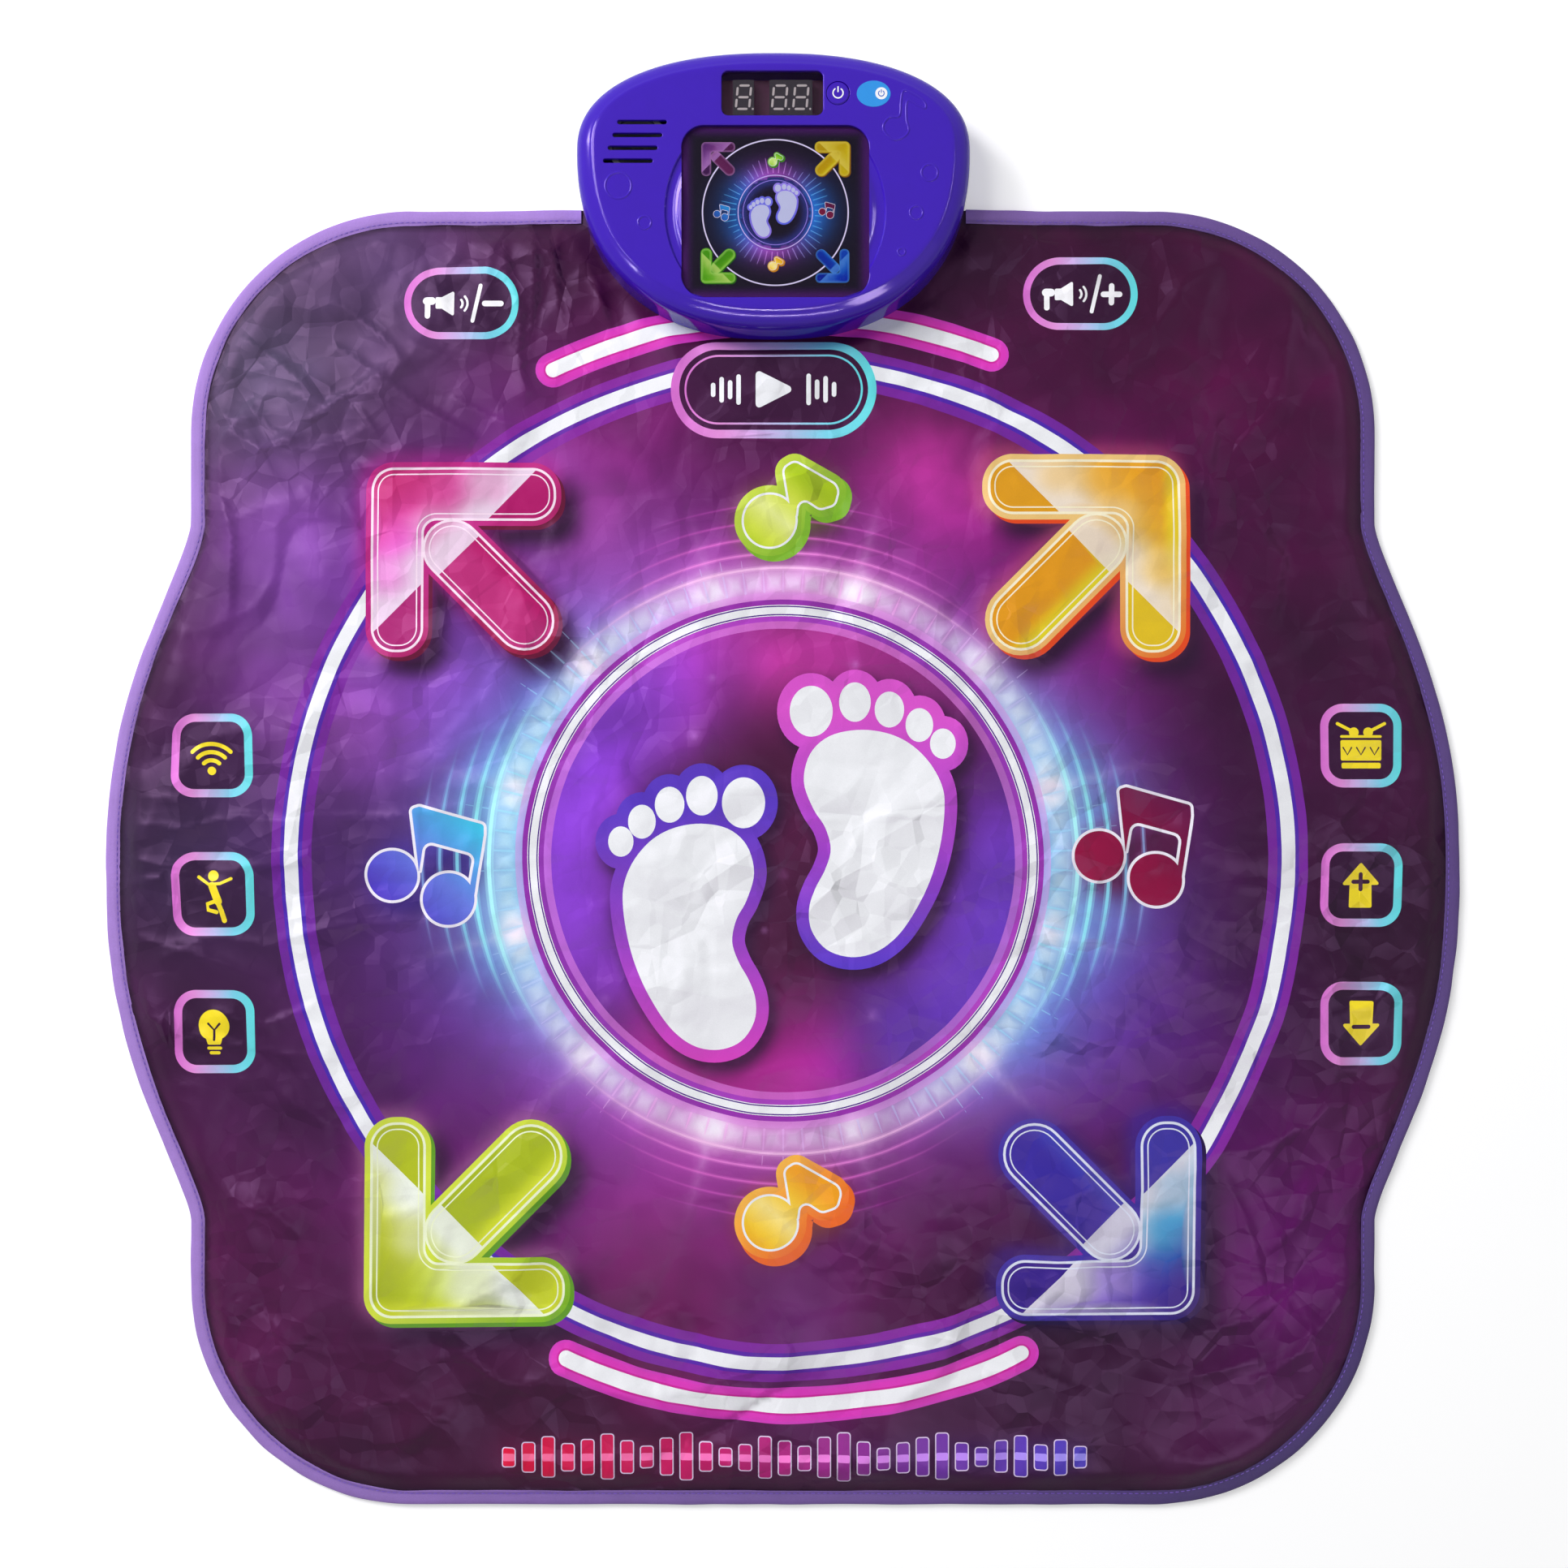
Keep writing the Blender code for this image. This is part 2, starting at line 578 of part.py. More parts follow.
def side_reach(y):
    """Half the mat's width at a height on its straight sides, with the bulge."""
    away = abs(y - BULGE_Y) / BULGE_HALF_LENGTH
    if away >= 1:
        return MAT_WIDTH / 2
    return MAT_WIDTH / 2 + BULGE * (1 - away ** BULGE_POWERS[0]) ** BULGE_POWERS[1]


def arc(centre, start, end, steps):
    """Points of a corner arc of the mat, angles in degrees."""
    found = []
    for k in range(steps + 1):
        turn = math.radians(start + (end - start) * k / steps)
        x = centre[0] + MAT_CORNER_RADIUS * math.cos(turn)
        y = centre[1] + MAT_CORNER_RADIUS * math.sin(turn)
        found.append((x, y))
    return found


def mat_path(left_x, right_x):
    """The mat's edge from a point on its rear edge, round the left side and the front, to
    another point on its rear edge. The mat lies on the left of the path."""
    arc_x = MAT_WIDTH / 2 - MAT_CORNER_RADIUS
    rear_arc_y = REAR_Y - MAT_CORNER_RADIUS
    front_arc_y = FRONT_Y + MAT_CORNER_RADIUS
    side_y = [rear_arc_y + (front_arc_y - rear_arc_y) * k / SIDE_STEPS for k in range(1, SIDE_STEPS)]
    path = [(-x, REAR_Y) for x in rear_edge_steps(-left_x, arc_x)]
    path += arc((-arc_x, rear_arc_y), 90, 180, CORNER_STEPS)
    path += [(-side_reach(y), y) for y in side_y]
    path += arc((-arc_x, front_arc_y), 180, 270, CORNER_STEPS)
    path += arc((arc_x, front_arc_y), 270, 360, CORNER_STEPS)
    path += [(side_reach(y), y) for y in reversed(side_y)]
    path += arc((arc_x, rear_arc_y), 0, 90, CORNER_STEPS)
    path += [(x, REAR_Y) for x in reversed(rear_edge_steps(right_x, arc_x))]
    return path


def rear_edge_steps(near_x, arc_x):
    """Distances from the middle along the straight rear edge, from the housing outwards. Every
    layer uses the same ones, so that sloping layers stay parallel."""
    count = int((arc_x - near_x) / REAR_EDGE_STEP - 0.2)
    return [near_x] + [arc_x - REAR_EDGE_STEP * k for k in range(count, 0, -1)]


def moved_left(path, distance):
    """The open path moved to its left."""
    moved = []
    for k, here in enumerate(path):
        last = Vector(path[max(k - 1, 0)])
        following = Vector(path[min(k + 1, len(path) - 1)])
        along = (following - last).normalized()
        moved.append((here[0] - along.y * distance, here[1] + along.x * distance))
    return moved


def edge_weight(point):
    """1 where the mat's edge is thin, fading to 0 where the mat enters the housing."""
    if point[1] < REAR_Y - MAT_CORNER_RADIUS:
        return 1.0
    beyond = abs(point[0] - HOUSING_X) - HOUSING_HALF_WIDTH - EDGE_FADE_START
    share = min(max(beyond / EDGE_FADE_LENGTH, 0.0), 1.0)
    return share * share * (3 - 2 * share)


def with_rise(path, edge_path, rise):
    """Points of a path near the edge, lifted as far as the edge of the mat is thin there."""
    return [(*p, rise * edge_weight(e)) for p, e in zip(path, edge_path)]


def housing_loop(inset, steps=HOUSING_STEPS):
    """The housing's outline about its own centre, moved inwards."""
    power = 2 / HOUSING_SQUARENESS
    loop = []
    for k in range(steps):
        turn = 2 * math.pi * (k + 0.5) / steps
        c = math.cos(turn)
        s = math.sin(turn)
        length = HOUSING_REAR_LENGTH if s > 0 else HOUSING_FRONT_LENGTH
        x = HOUSING_HALF_WIDTH * math.copysign(abs(c) ** power, c)
        y = length * math.copysign(abs(s) ** power, s)
        slope = HOUSING_SQUARENESS - 1
        out_x = math.copysign(abs(x / HOUSING_HALF_WIDTH) ** slope, x) / HOUSING_HALF_WIDTH
        out_y = math.copysign(abs(y / length) ** slope, y) / length
        size = math.hypot(out_x, out_y)
        loop.append((x - inset * out_x / size, y - inset * out_y / size))
    return loop


def housing_reach(y, grow):
    """Half the housing's width, grown, at a distance behind its centre."""
    length = (HOUSING_REAR_LENGTH if y > 0 else HOUSING_FRONT_LENGTH) + grow
    share = min(abs(y) / length, 1.0) ** HOUSING_SQUARENESS
    return (HOUSING_HALF_WIDTH + grow) * (1 - share) ** (1 / HOUSING_SQUARENESS)


def notch_ends(y):
    """The left and right edge of the notch round the housing, at one height of the plan."""
    reach = housing_reach(y - HOUSING_Y, NOTCH_CLEARANCE)
    return (HOUSING_X - reach, y), (HOUSING_X + reach, y)


def notch_curve(rear_y):
    """The notch's edge in front of a line, from right to left."""
    around = shifted(housing_loop(-NOTCH_CLEARANCE), (HOUSING_X, HOUSING_Y))
    curve = [p for p in around if p[1] < rear_y - NOTCH_POINT_SPACING]
    curve.sort(key=lambda p: math.atan2(p[1] - HOUSING_Y, p[0] - HOUSING_X), reverse=True)
    return curve


def arrow_corners(side_x, side_y):
    """An arrow that points to a corner of the mat, and the radius of each of its corners."""
    corner_y = REAR_Y - ARROW_FROM_REAR if side_y > 0 else FRONT_Y + ARROW_FROM_FRONT
    corner = (side_x * (MAT_WIDTH / 2 - ARROW_FROM_SIDE), corner_y)
    reach = ARROW_REACH
    leg = ARROW_LEG_WIDTH
    spread = ARROW_SHAFT_HALF_WIDTH * math.sqrt(2)
    tail = ARROW_SHAFT_REACH + ARROW_SHAFT_HALF_WIDTH / math.sqrt(2)
    half = spread / 2
    inward = [
        (0, 0),
        (reach, 0),
        (reach, leg),
        (leg + spread, leg),
        (tail + half, tail - half),
        (tail - half, tail + half),
        (leg, leg + spread),
        (leg, reach),
        (0, reach),
    ]
    tip = ARROW_TIP_RADIUS
    crease = ARROW_CREASE_RADIUS
    round_end = ARROW_SHAFT_HALF_WIDTH * NEARLY_ALL
    radii = [ARROW_OUTER_RADIUS, tip, tip, crease, round_end, round_end, crease, tip, tip]
    corners = [(corner[0] - side_x * u, corner[1] - side_y * v) for u, v in inward]
    if side_x * side_y < 0:
        corners.reverse()
        radii.reverse()
    return corners, radii


def zone_outlines():
    """Name, corners, radii, segments and material of every touch zone."""
    zones = []
    for end, side_y in (("rear", 1), ("front", -1)):
        for side, side_x in (("left", -1), ("right", 1)):
            corners, radii = arrow_corners(side_x, side_y)
            recipe = ARROW_COLOURS[f"{end}_{side}"]
            zones.append((f"zone_arrow_{end}_{side}", corners, radii, 3, recipe))
    notes = {
        "rear": (NOTE_REAR[0], REAR_Y - NOTE_REAR[1]),
        "front": (NOTE_FRONT[0], FRONT_Y + NOTE_FRONT[1]),
        "left": (NOTE_LEFT[0] - BULGE_SIDE, BULGE_Y + NOTE_LEFT[1]),
        "right": (BULGE_SIDE - NOTE_RIGHT[0], BULGE_Y + NOTE_RIGHT[1]),
    }
    for side, place in notes.items():
        corners = box_corners((2 * NOTE_RADIUS, 2 * NOTE_RADIUS), place)
        zones.append((f"zone_note_{side}", corners, [NOTE_RADIUS] * 4, 5, CLOTH_PURPLE))
    side = MAT_WIDTH / 2
    pills = {
        "zone_start": ((HOUSING_X, START_Y), START_SIZE),
        "zone_volume_down": ((VOLUME_DOWN[0] - side, REAR_Y - VOLUME_DOWN[1]), VOLUME_SIZE),
        "zone_volume_up": ((side - VOLUME_UP[0], REAR_Y - VOLUME_UP[1]), VOLUME_SIZE),
    }
    for name, (place, size) in pills.items():
        corners = box_corners(size, place)
        zones.append((name, corners, [size[1] / 2] * 4, 4, CLOTH_PURPLE))
    for side, side_x in (("left", -1), ("right", 1)):
        for number, offset in enumerate(MODE_FROM_MIDDLE, start=1):
            place = (side_x * (BULGE_SIDE - MODE_FROM_SIDE), BULGE_Y + offset)
            corners = box_corners((MODE_SIZE, MODE_SIZE), place)
            radii = [MODE_CORNER_RADIUS] * 4
            zones.append((f"zone_mode_{side}_{number}", corners, radii, 3, CLOTH_PURPLE))
    return zones


def tongue_holes():
    """Holes in the mat's tongue round the front screws' cups."""
    places = [(side * FRONT_SCREW[0], FRONT_SCREW[1]) for side in (-1, 1)]
    radius = CUP_RADIUS + BOSS_CLEARANCE
    return [circle(radius, SMALL_STEPS, (HOUSING_X + x, HOUSING_Y + y)) for x, y in places]


def tail_window(rear_y):
    """The cut-out in the rear edge of cover and spacer, over the contact film's tail."""
    board_rear = MAIN_BOARD_PLACE[1] + MAIN_BOARD_SIZE[1] / 2
    connector_front = board_rear - CONNECTOR_BEHIND_BOARD_EDGE - CONNECTOR_SIZE[1]
    deep_y = HOUSING_Y + connector_front - TAIL_WINDOW_MARGIN
    middle = HOUSING_X + MAIN_BOARD_PLACE[0]
    half = CONNECTOR_SIZE[0] / 2 + TAIL_WINDOW_MARGIN
    right = middle + half
    left = middle - half
    return [(right, rear_y), (right, deep_y), (left, deep_y), (left, rear_y)]


def tongue_outline(rear_y, with_window):
    """The padded area with the tongue that runs into the housing."""
    left = -TONGUE_HALF_WIDTH
    right = TONGUE_HALF_WIDTH
    area = moved_left(mat_path(left, right), PADDING_INSET)
    loop = area + [(right, rear_y)]
    if with_window:
        loop += tail_window(rear_y)
    return loop + [(left, rear_y)]


def make_base_fabric(mat):
    """Printed mat's underside: flat on the floor, risen at its edge above the binding."""
    left, right = notch_ends(REAR_Y - CLOTH_INSET)
    path = mat_path(left[0], right[0])
    outer = [(*p, BASE_EDGE_RISE) for p in moved_left(path, CLOTH_INSET)]
    creases = []
    right_side = []
    left_side = []
    flat_from = BINDING_WIDTH + 3 * BASE_EDGE_RISE
    for inset, rise in ((BINDING_WIDTH + GAP, BASE_EDGE_RISE), (flat_from, 0.0)):
        left, right = notch_ends(REAR_Y - inset)
        line = [left] + moved_left(path, inset) + [right]
        creases.append([(*p, rise) for p in line])
        right_side.append((*right, rise))
        left_side.insert(0, (*left, rise))
    notch = notch_curve(REAR_Y - flat_from)
    loop = outer + right_side + notch + left_side
    slab("mat_base_fabric", loop, 0.0, BASE_HIGH, CLOTH_BACK, creases=creases, parent=mat)


def make_padding_foam(mat):
    edge_y = REAR_Y - PADDING_INSET
    left, right = notch_ends(edge_y)
    loop = moved_left(mat_path(left[0], right[0]), PADDING_INSET) + notch_curve(edge_y)
    slab("mat_padding_foam", loop, FOAM_LOW, FOAM_HIGH, PADDING, parent=mat)


def make_inner_films(mat, zones):
    """The contact film and, above it, the spacer foam, open under every touch zone."""
    rear_y = REAR_Y - CLOTH_INSET
    slab(
        "mat_contact_film",
        tongue_outline(rear_y, False),
        FILM_LOW,
        FILM_HIGH,
        FILM,
        holes=tongue_holes(),
        parent=mat,
    )
    openings = [rounded(c, r, s, GAP + SPACER_CLEARANCE) for _, c, r, s, _ in zones]
    slab(
        "mat_spacer_foam",
        tongue_outline(rear_y, True),
        SPACER_LOW,
        SPACER_HIGH,
        PADDING,
        holes=openings + tongue_holes(),
        parent=mat,
    )


def make_cover(mat, zones):
    """The printed top cloth, thin at its edge, with an opening for every touch zone."""
    path = mat_path(-TONGUE_HALF_WIDTH, TONGUE_HALF_WIDTH)
    outer = with_rise(moved_left(path, CLOTH_INSET), path, -COVER_EDGE_DROP)
    outer += tail_window(REAR_Y - CLOTH_INSET)
    crease_path = path[2:-2]
    level_from = PADDING_INSET - PADDING_CREASE_MARGIN
    steps = ((BINDING_WIDTH + GAP, -COVER_EDGE_DROP), (level_from, 0.0))
    creases = [with_rise(moved_left(path, d)[2:-2], crease_path, rise) for d, rise in steps]
    openings = [rounded(c, r, s, GAP) for _, c, r, s, _ in zones]
    slab(
        "mat_cover",
        outer,
        COVER_LOW,
        COVER_HIGH,
        CLOTH_PURPLE,
        holes=openings + tongue_holes(),
        creases=creases,
        parent=mat,
    )


def make_edge_binding(mat):
    """Folded tape sewn round the edge, from one side of the housing to the other."""
    left, right = notch_ends(REAR_Y)
    path = mat_path(left[0], right[0])
    tape = BINDING_THICKNESS
    width = BINDING_WIDTH
    insets = (0, 0, width, width, tape, tape, width, width)
    loops = [moved_left(path, inset) for inset in insets]
    sections = []
    for k, edge in enumerate(path):
        high = BINDING_HEIGHT + COVER_EDGE_DROP * (1 - edge_weight(edge))
        levels = (0, high, high, high - tape, high - tape, tape, tape, 0)
        sections.append([(*loop[k], level) for loop, level in zip(loops, levels)])
    sections.reverse()
    lofted("mat_edge_binding", sections, BINDING_CLOTH, mat)


def make_zones(mat, zones):
    """Each zone is the part of the cover that gives way, with the upper film bonded below."""
    for name, corners, radii, steps, recipe in zones:
        loop = rounded(corners, radii, steps)
        low_corner = [min(p[k] for p in corners) for k in (0, 1)]
        high_corner = [max(p[k] for p in corners) for k in (0, 1)]
        middle = [(a + b) / 2 for a, b in zip(low_corner, high_corner)]
        origin = (*middle, ZONE_LOW)
        slab(name, loop, ZONE_LOW, COVER_HIGH, recipe, parent=mat, origin=origin)


def shell_profile():
    """Inset and height of the upper shell's section: up its outside, then down its inside."""
    edge_low = HOUSING_HEIGHT - HOUSING_EDGE_RADIUS
    inner_radius = HOUSING_EDGE_RADIUS - SHELL_ROOF
    outside = [(0.0, RIM)]
    inside = [(SHELL_WALL, RIM)]
    for k in range(HOUSING_EDGE_STEPS + 1):
        turn = math.pi / 2 * k / HOUSING_EDGE_STEPS
        across = 1 - math.cos(turn)
        up = math.sin(turn)
        inset = HOUSING_DRAFT + HOUSING_EDGE_RADIUS * across
        outside.append((inset, edge_low + HOUSING_EDGE_RADIUS * up))
        inset = HOUSING_DRAFT + SHELL_WALL + inner_radius * across
        inside.append((inset, edge_low + inner_radius * up))
    return outside, inside


def screw_places():
    return [
        (side * place[0], place[1]) for place in (REAR_SCREW, FRONT_SCREW) for side in (-1, 1)
    ]


def speaker_slots(low, high):
    """Cutters for the slots over the speaker."""
    cutters = []
    first = (SPEAKER_PLACE[0] + SLOT_FIRST[0], SPEAKER_PLACE[1] + SLOT_FIRST[1])
    for k in range(SLOT_COUNT):
        place = (first[0] + SLOT_STEP[0] * k, first[1] + SLOT_STEP[1] * k)
        loop = rounded_box((SLOT_LENGTH, SLOT_WIDTH), SLOT_WIDTH / 2 * NEARLY_ALL, 2, place)
        cutters.append(slab(f"slot_{k}", loop, low, high, DARK_PLASTIC))
    return cutters


def scoop_loop():
    """The shallow round scoop that shows on both sides of the light panel."""
    half = PANEL_SIZE[1] / 2 - PANEL_CORNER_RADIUS / 2
    start = math.asin(half / SCOOP_RADIUS)
    turns = [-start + 2 * start * k / SCOOP_STEPS for k in range(SCOOP_STEPS + 1)]
    right = [(SCOOP_RADIUS * math.cos(t), SCOOP_RADIUS * math.sin(t)) for t in turns]
    left = [(-x, -y) for x, y in right]
    return shifted(right + left, PANEL_PLACE)


def make_upper_shell(housing):
    outside, inside = shell_profile()
    sections = [[(*p, height) for p in housing_loop(inset)] for inset, height in outside]
    shell = lofted("housing_upper_shell", sections, HOUSING_PLASTIC, housing)
    inside = [(SHELL_WALL, RIM - CUT_OVERSHOOT)] + inside
    sections = [[(*p, height) for p in housing_loop(inset)] for inset, height in inside]
    combine(shell, lofted("upper_shell_inside", sections, DARK_PLASTIC, housing), "DIFFERENCE")
    into_roof = CEILING + SHELL_ROOF / 2
    bosses = []
    bores = []
    for x, y in screw_places():
        loop = circle(BOSS_RADIUS, ROUND_STEPS, (x, y))
        bosses.append(slab("boss", loop, RIM, into_roof, DARK_PLASTIC))
        loop = circle(BOSS_BORE_RADIUS, SMALL_STEPS, (x, y))
        bores.append(slab("bore", loop, RIM - CUT_OVERSHOOT, RIM + BOSS_BORE_DEPTH, DARK_PLASTIC))
    combine(shell, merged("upper_shell_bosses", bosses, housing), "UNION")
    combine(shell, merged("upper_shell_bores", bores, housing), "DIFFERENCE")
    above = HOUSING_HEIGHT + CUT_OVERSHOOT
    below = CEILING - CUT_OVERSHOOT
    scoop = slab("upper_shell_scoop", scoop_loop(), HOUSING_HEIGHT - SCOOP_DEPTH, above, DARK_PLASTIC,
                 parent=housing)
    combine(shell, scoop, "DIFFERENCE")
    panel = rounded_box(PANEL_SIZE, PANEL_CORNER_RADIUS, 6, PANEL_PLACE)
    window = rounded_box(WINDOW_SIZE, WINDOW_CORNER_RADIUS, 3, WINDOW_PLACE)
    power = circle(POWER_HOLE_RADIUS, 24, POWER_PLACE)
    openings = [slab("opening", loop, below, above, DARK_PLASTIC) for loop in (panel, window, power)]
    openings += speaker_slots(below, above)
    combine(shell, merged("upper_shell_openings", openings, housing), "DIFFERENCE")


def rear_wall_loop():
    """The lower shell's wall behind the mat, as a strip along the outline."""
    start_y = NOTCH_POINT_SPACING - HOUSING_BEHIND_MAT
    outer = [p for p in housing_loop(0.0) if p[1] > start_y]
    inner = [p for p in housing_loop(SHELL_WALL) if p[1] > start_y]
    outer.sort(key=lambda p: math.atan2(p[1] + HOUSING_FRONT_LENGTH, p[0]))
    inner.sort(key=lambda p: math.atan2(p[1] + HOUSING_FRONT_LENGTH, p[0]), reverse=True)
    return outer + inner


def make_lower_shell(housing):
    """The floor under the mat's tongue, with screw cups, a rear wall and the battery bay."""
    shell = slab(
        "housing_lower_shell", housing_loop(0.0), FLOOR_LOW, FLOOR_HIGH, HOUSING_PLASTIC, parent=housing
    )
    root = FLOOR_LOW + FLOOR_THICKNESS / 2
    bay_middle = (0.0, (BAY_FRONT + BAY_REAR) / 2)
    bay_size = (2 * BAY_HALF_WIDTH, BAY_REAR - BAY_FRONT)
    bay_outer = tuple(side + 2 * BAY_WALL for side in bay_size)
    added = [slab("wall", rear_wall_loop(), root, CUP_HIGH, DARK_PLASTIC)]
    added.append(
        block("bay", bay_outer, bay_middle, root, BAY_CEILING + BAY_WALL, DARK_PLASTIC, None)
    )
    below = -CUT_OVERSHOOT
    cut = [block("cavity", bay_size, bay_middle, below, BAY_CEILING, DARK_PLASTIC, None)]
    for x, y in screw_places():
        added.append(slab("cup", circle(CUP_RADIUS, ROUND_STEPS, (x, y)), root, CUP_HIGH, DARK_PLASTIC))
        head = SCREW_HEAD_RADIUS + HEAD_CLEARANCE
        shank = SCREW_SHANK_RADIUS + HEAD_CLEARANCE
        profile = [(0, below), (head, below), (head, HEAD_SEAT), (shank, HEAD_SEAT)]
        profile += [(shank, CUP_HIGH + CUT_OVERSHOOT), (0, CUP_HIGH + CUT_OVERSHOOT)]
        cut.append(turned("screw_way", profile, (x, y, 0), DARK_PLASTIC, SMALL_STEPS))
    for x, y in foot_places():
        pocket = circle(FOOT_RADIUS + GAP, ROUND_STEPS, (x, y))
        cut.append(slab("pocket", pocket, below, FOOT_HEIGHT + GAP, DARK_PLASTIC))
    combine(shell, merged("lower_shell_added", added, housing), "UNION")
    combine(shell, merged("lower_shell_cut", cut, housing), "DIFFERENCE")
    post_loop = circle(POST_RADIUS, ROUND_STEPS, (0.0, POST_Y))
    post = slab("lower_shell_post", post_loop, POST_LOW, BAY_CEILING + BAY_WALL / 2, DARK_PLASTIC,
                parent=housing)
    combine(shell, post, "UNION")
    bore_loop = circle(DOOR_SCREW_SHANK_RADIUS + DOOR_SCREW_CLEARANCE, SMALL_STEPS, (0.0, POST_Y))
    bore_low = POST_LOW - CUT_OVERSHOOT
    bore_high = POST_LOW + DOOR_SCREW_REACH + POST_BORE_SPARE
    bore = slab("lower_shell_post_bore", bore_loop, bore_low, bore_high, DARK_PLASTIC, parent=housing)
    combine(shell, bore, "DIFFERENCE")


def foot_places():
    return [(side * place[0], place[1]) for place in (REAR_FOOT, FRONT_FOOT) for side in (-1, 1)]


def make_feet_and_screws(housing):
    names = ("rear_left", "rear_right", "front_left", "front_right")
    for name, (x, y) in zip(names, foot_places()):
        profile = [(0, 0), (FOOT_RADIUS - FOOT_EDGE, 0), (FOOT_RADIUS, FOOT_EDGE)]
        profile += [(FOOT_RADIUS, FOOT_HEIGHT), (0, FOOT_HEIGHT)]
        turned(f"housing_foot_{name}", profile, (x, y, 0), RUBBER, parent=housing)
    for name, (x, y) in zip(names, screw_places()):
        seat = HEAD_SEAT - GAP
        profile = [(0, seat - SCREW_HEAD_HEIGHT), (SCREW_HEAD_RADIUS, seat - SCREW_HEAD_HEIGHT)]
        profile += [(SCREW_HEAD_RADIUS, seat), (SCREW_SHANK_RADIUS, seat)]
        tip = CUP_HIGH + SCREW_REACH
        profile += [(SCREW_SHANK_RADIUS, tip - SCREW_SHANK_RADIUS), (0, tip)]
        turned(f"housing_screw_{name}", profile, (x, y, 0), STEEL, SMALL_STEPS, housing)


def make_light_panel(housing):
    """Lens, printed sheet, frame, board and lights, from the roof down."""
    lens = rounded_box(PANEL_SIZE, PANEL_CORNER_RADIUS, 6, PANEL_PLACE, -GAP)
    slab("panel_lens", lens, CEILING, CEILING + PANEL_LENS_THICKNESS, PANEL_PLASTIC, parent=housing)
    flange = rounded_box(PANEL_SIZE, PANEL_CORNER_RADIUS, 3, PANEL_PLACE, PANEL_FRAME_LIP)
    slab("panel_print_sheet", flange, PRINT_LOW, UNDER_ROOF, PANEL_PLASTIC, parent=housing)
    inner_grow = PANEL_FRAME_LIP - PANEL_FRAME_WALL
    hole = rounded_box(PANEL_SIZE, PANEL_CORNER_RADIUS, 3, PANEL_PLACE, inner_grow)
    slab("panel_light_frame", flange, FRAME_LOW, FRAME_HIGH, WHITE_PLASTIC, holes=[hole], parent=housing)
    slab("panel_light_board", flange, LIGHT_BOARD_LOW, LIGHT_BOARD_HIGH, BOARD_GREEN, parent=housing)
    aside = PANEL_SIZE[0] / 2 - PANEL_LIGHT_INSET[0]
    along = PANEL_SIZE[1] / 2 - PANEL_LIGHT_INSET[1]
    number = 0
    for side_y in (1, -1):
        for side_x in (-1, 1):
            number += 1
            x = PANEL_PLACE[0] + side_x * aside
            y = PANEL_PLACE[1] + side_y * along
            low = LIGHT_BOARD_HIGH + GAP
            size = (PANEL_LIGHT_SIZE, PANEL_LIGHT_SIZE)
            block(f"panel_light_{number}", size, (x, y), low, low + PANEL_LIGHT_HEIGHT, WHITE_PLASTIC,
                  housing)


def make_display(housing):
    window = rounded_box(WINDOW_SIZE, WINDOW_CORNER_RADIUS, 3, WINDOW_PLACE, -GAP)
    slab("display_window", window, CEILING, CEILING + WINDOW_THICKNESS, WINDOW_PLASTIC, parent=housing)
    modules = {
        "level_digit_module": (LEVEL_DIGIT_X, LEVEL_DIGIT_WIDTH),
        "score_digit_module": (SCORE_DIGIT_X, SCORE_DIGIT_WIDTH),
    }
    for name, (x, width) in modules.items():
        block(name, (width, DIGIT_DEPTH), (x, DIGITS_Y), DIGIT_LOW, UNDER_ROOF, DIGIT_PLASTIC, housing)
    board_size = (DISPLAY_BOARD_RIGHT - DISPLAY_BOARD_LEFT, DISPLAY_BOARD_DEPTH)
    board_x = (DISPLAY_BOARD_LEFT + DISPLAY_BOARD_RIGHT) / 2
    board_place = (board_x, WINDOW_PLACE[1] - DISPLAY_BOARD_AHEAD)
    board = rounded_box(board_size, DISPLAY_BOARD_CORNER, 2, board_place)
    low = DISPLAY_BOARD_HIGH - BOARD_THICKNESS
    slab("display_board", board, low, DISPLAY_BOARD_HIGH, BOARD_GREEN, parent=housing)


def make_power_button(housing):
    radius = POWER_HOLE_RADIUS - GAP
    flange = POWER_HOLE_RADIUS + POWER_FLANGE
    low = UNDER_ROOF - POWER_FLANGE_THICKNESS
    height = HOUSING_HEIGHT + POWER_STANDS_PROUD - low
    profile = [(0, 0), (flange, 0), (flange, UNDER_ROOF - low), (radius, UNDER_ROOF - low)]
    profile += [(radius, height - POWER_EDGE), (radius - POWER_EDGE, height), (0, height)]
    turned("power_button_cap", profile, (*POWER_PLACE, low), HOUSING_PLASTIC, 24, housing)
    stem_top = low - POWER_TRAVEL - GAP
    body_top = stem_top - SWITCH_STEM_LENGTH
    profile = [(0, DISPLAY_BOARD_HIGH + GAP), (SWITCH_RADIUS, DISPLAY_BOARD_HIGH + GAP)]
    profile += [(SWITCH_RADIUS, body_top), (SWITCH_STEM_RADIUS, body_top)]
    profile += [(SWITCH_STEM_RADIUS, stem_top), (0, stem_top)]
    turned("power_switch", profile, (*POWER_PLACE, 0), DARK_PLASTIC, SMALL_STEPS, housing)


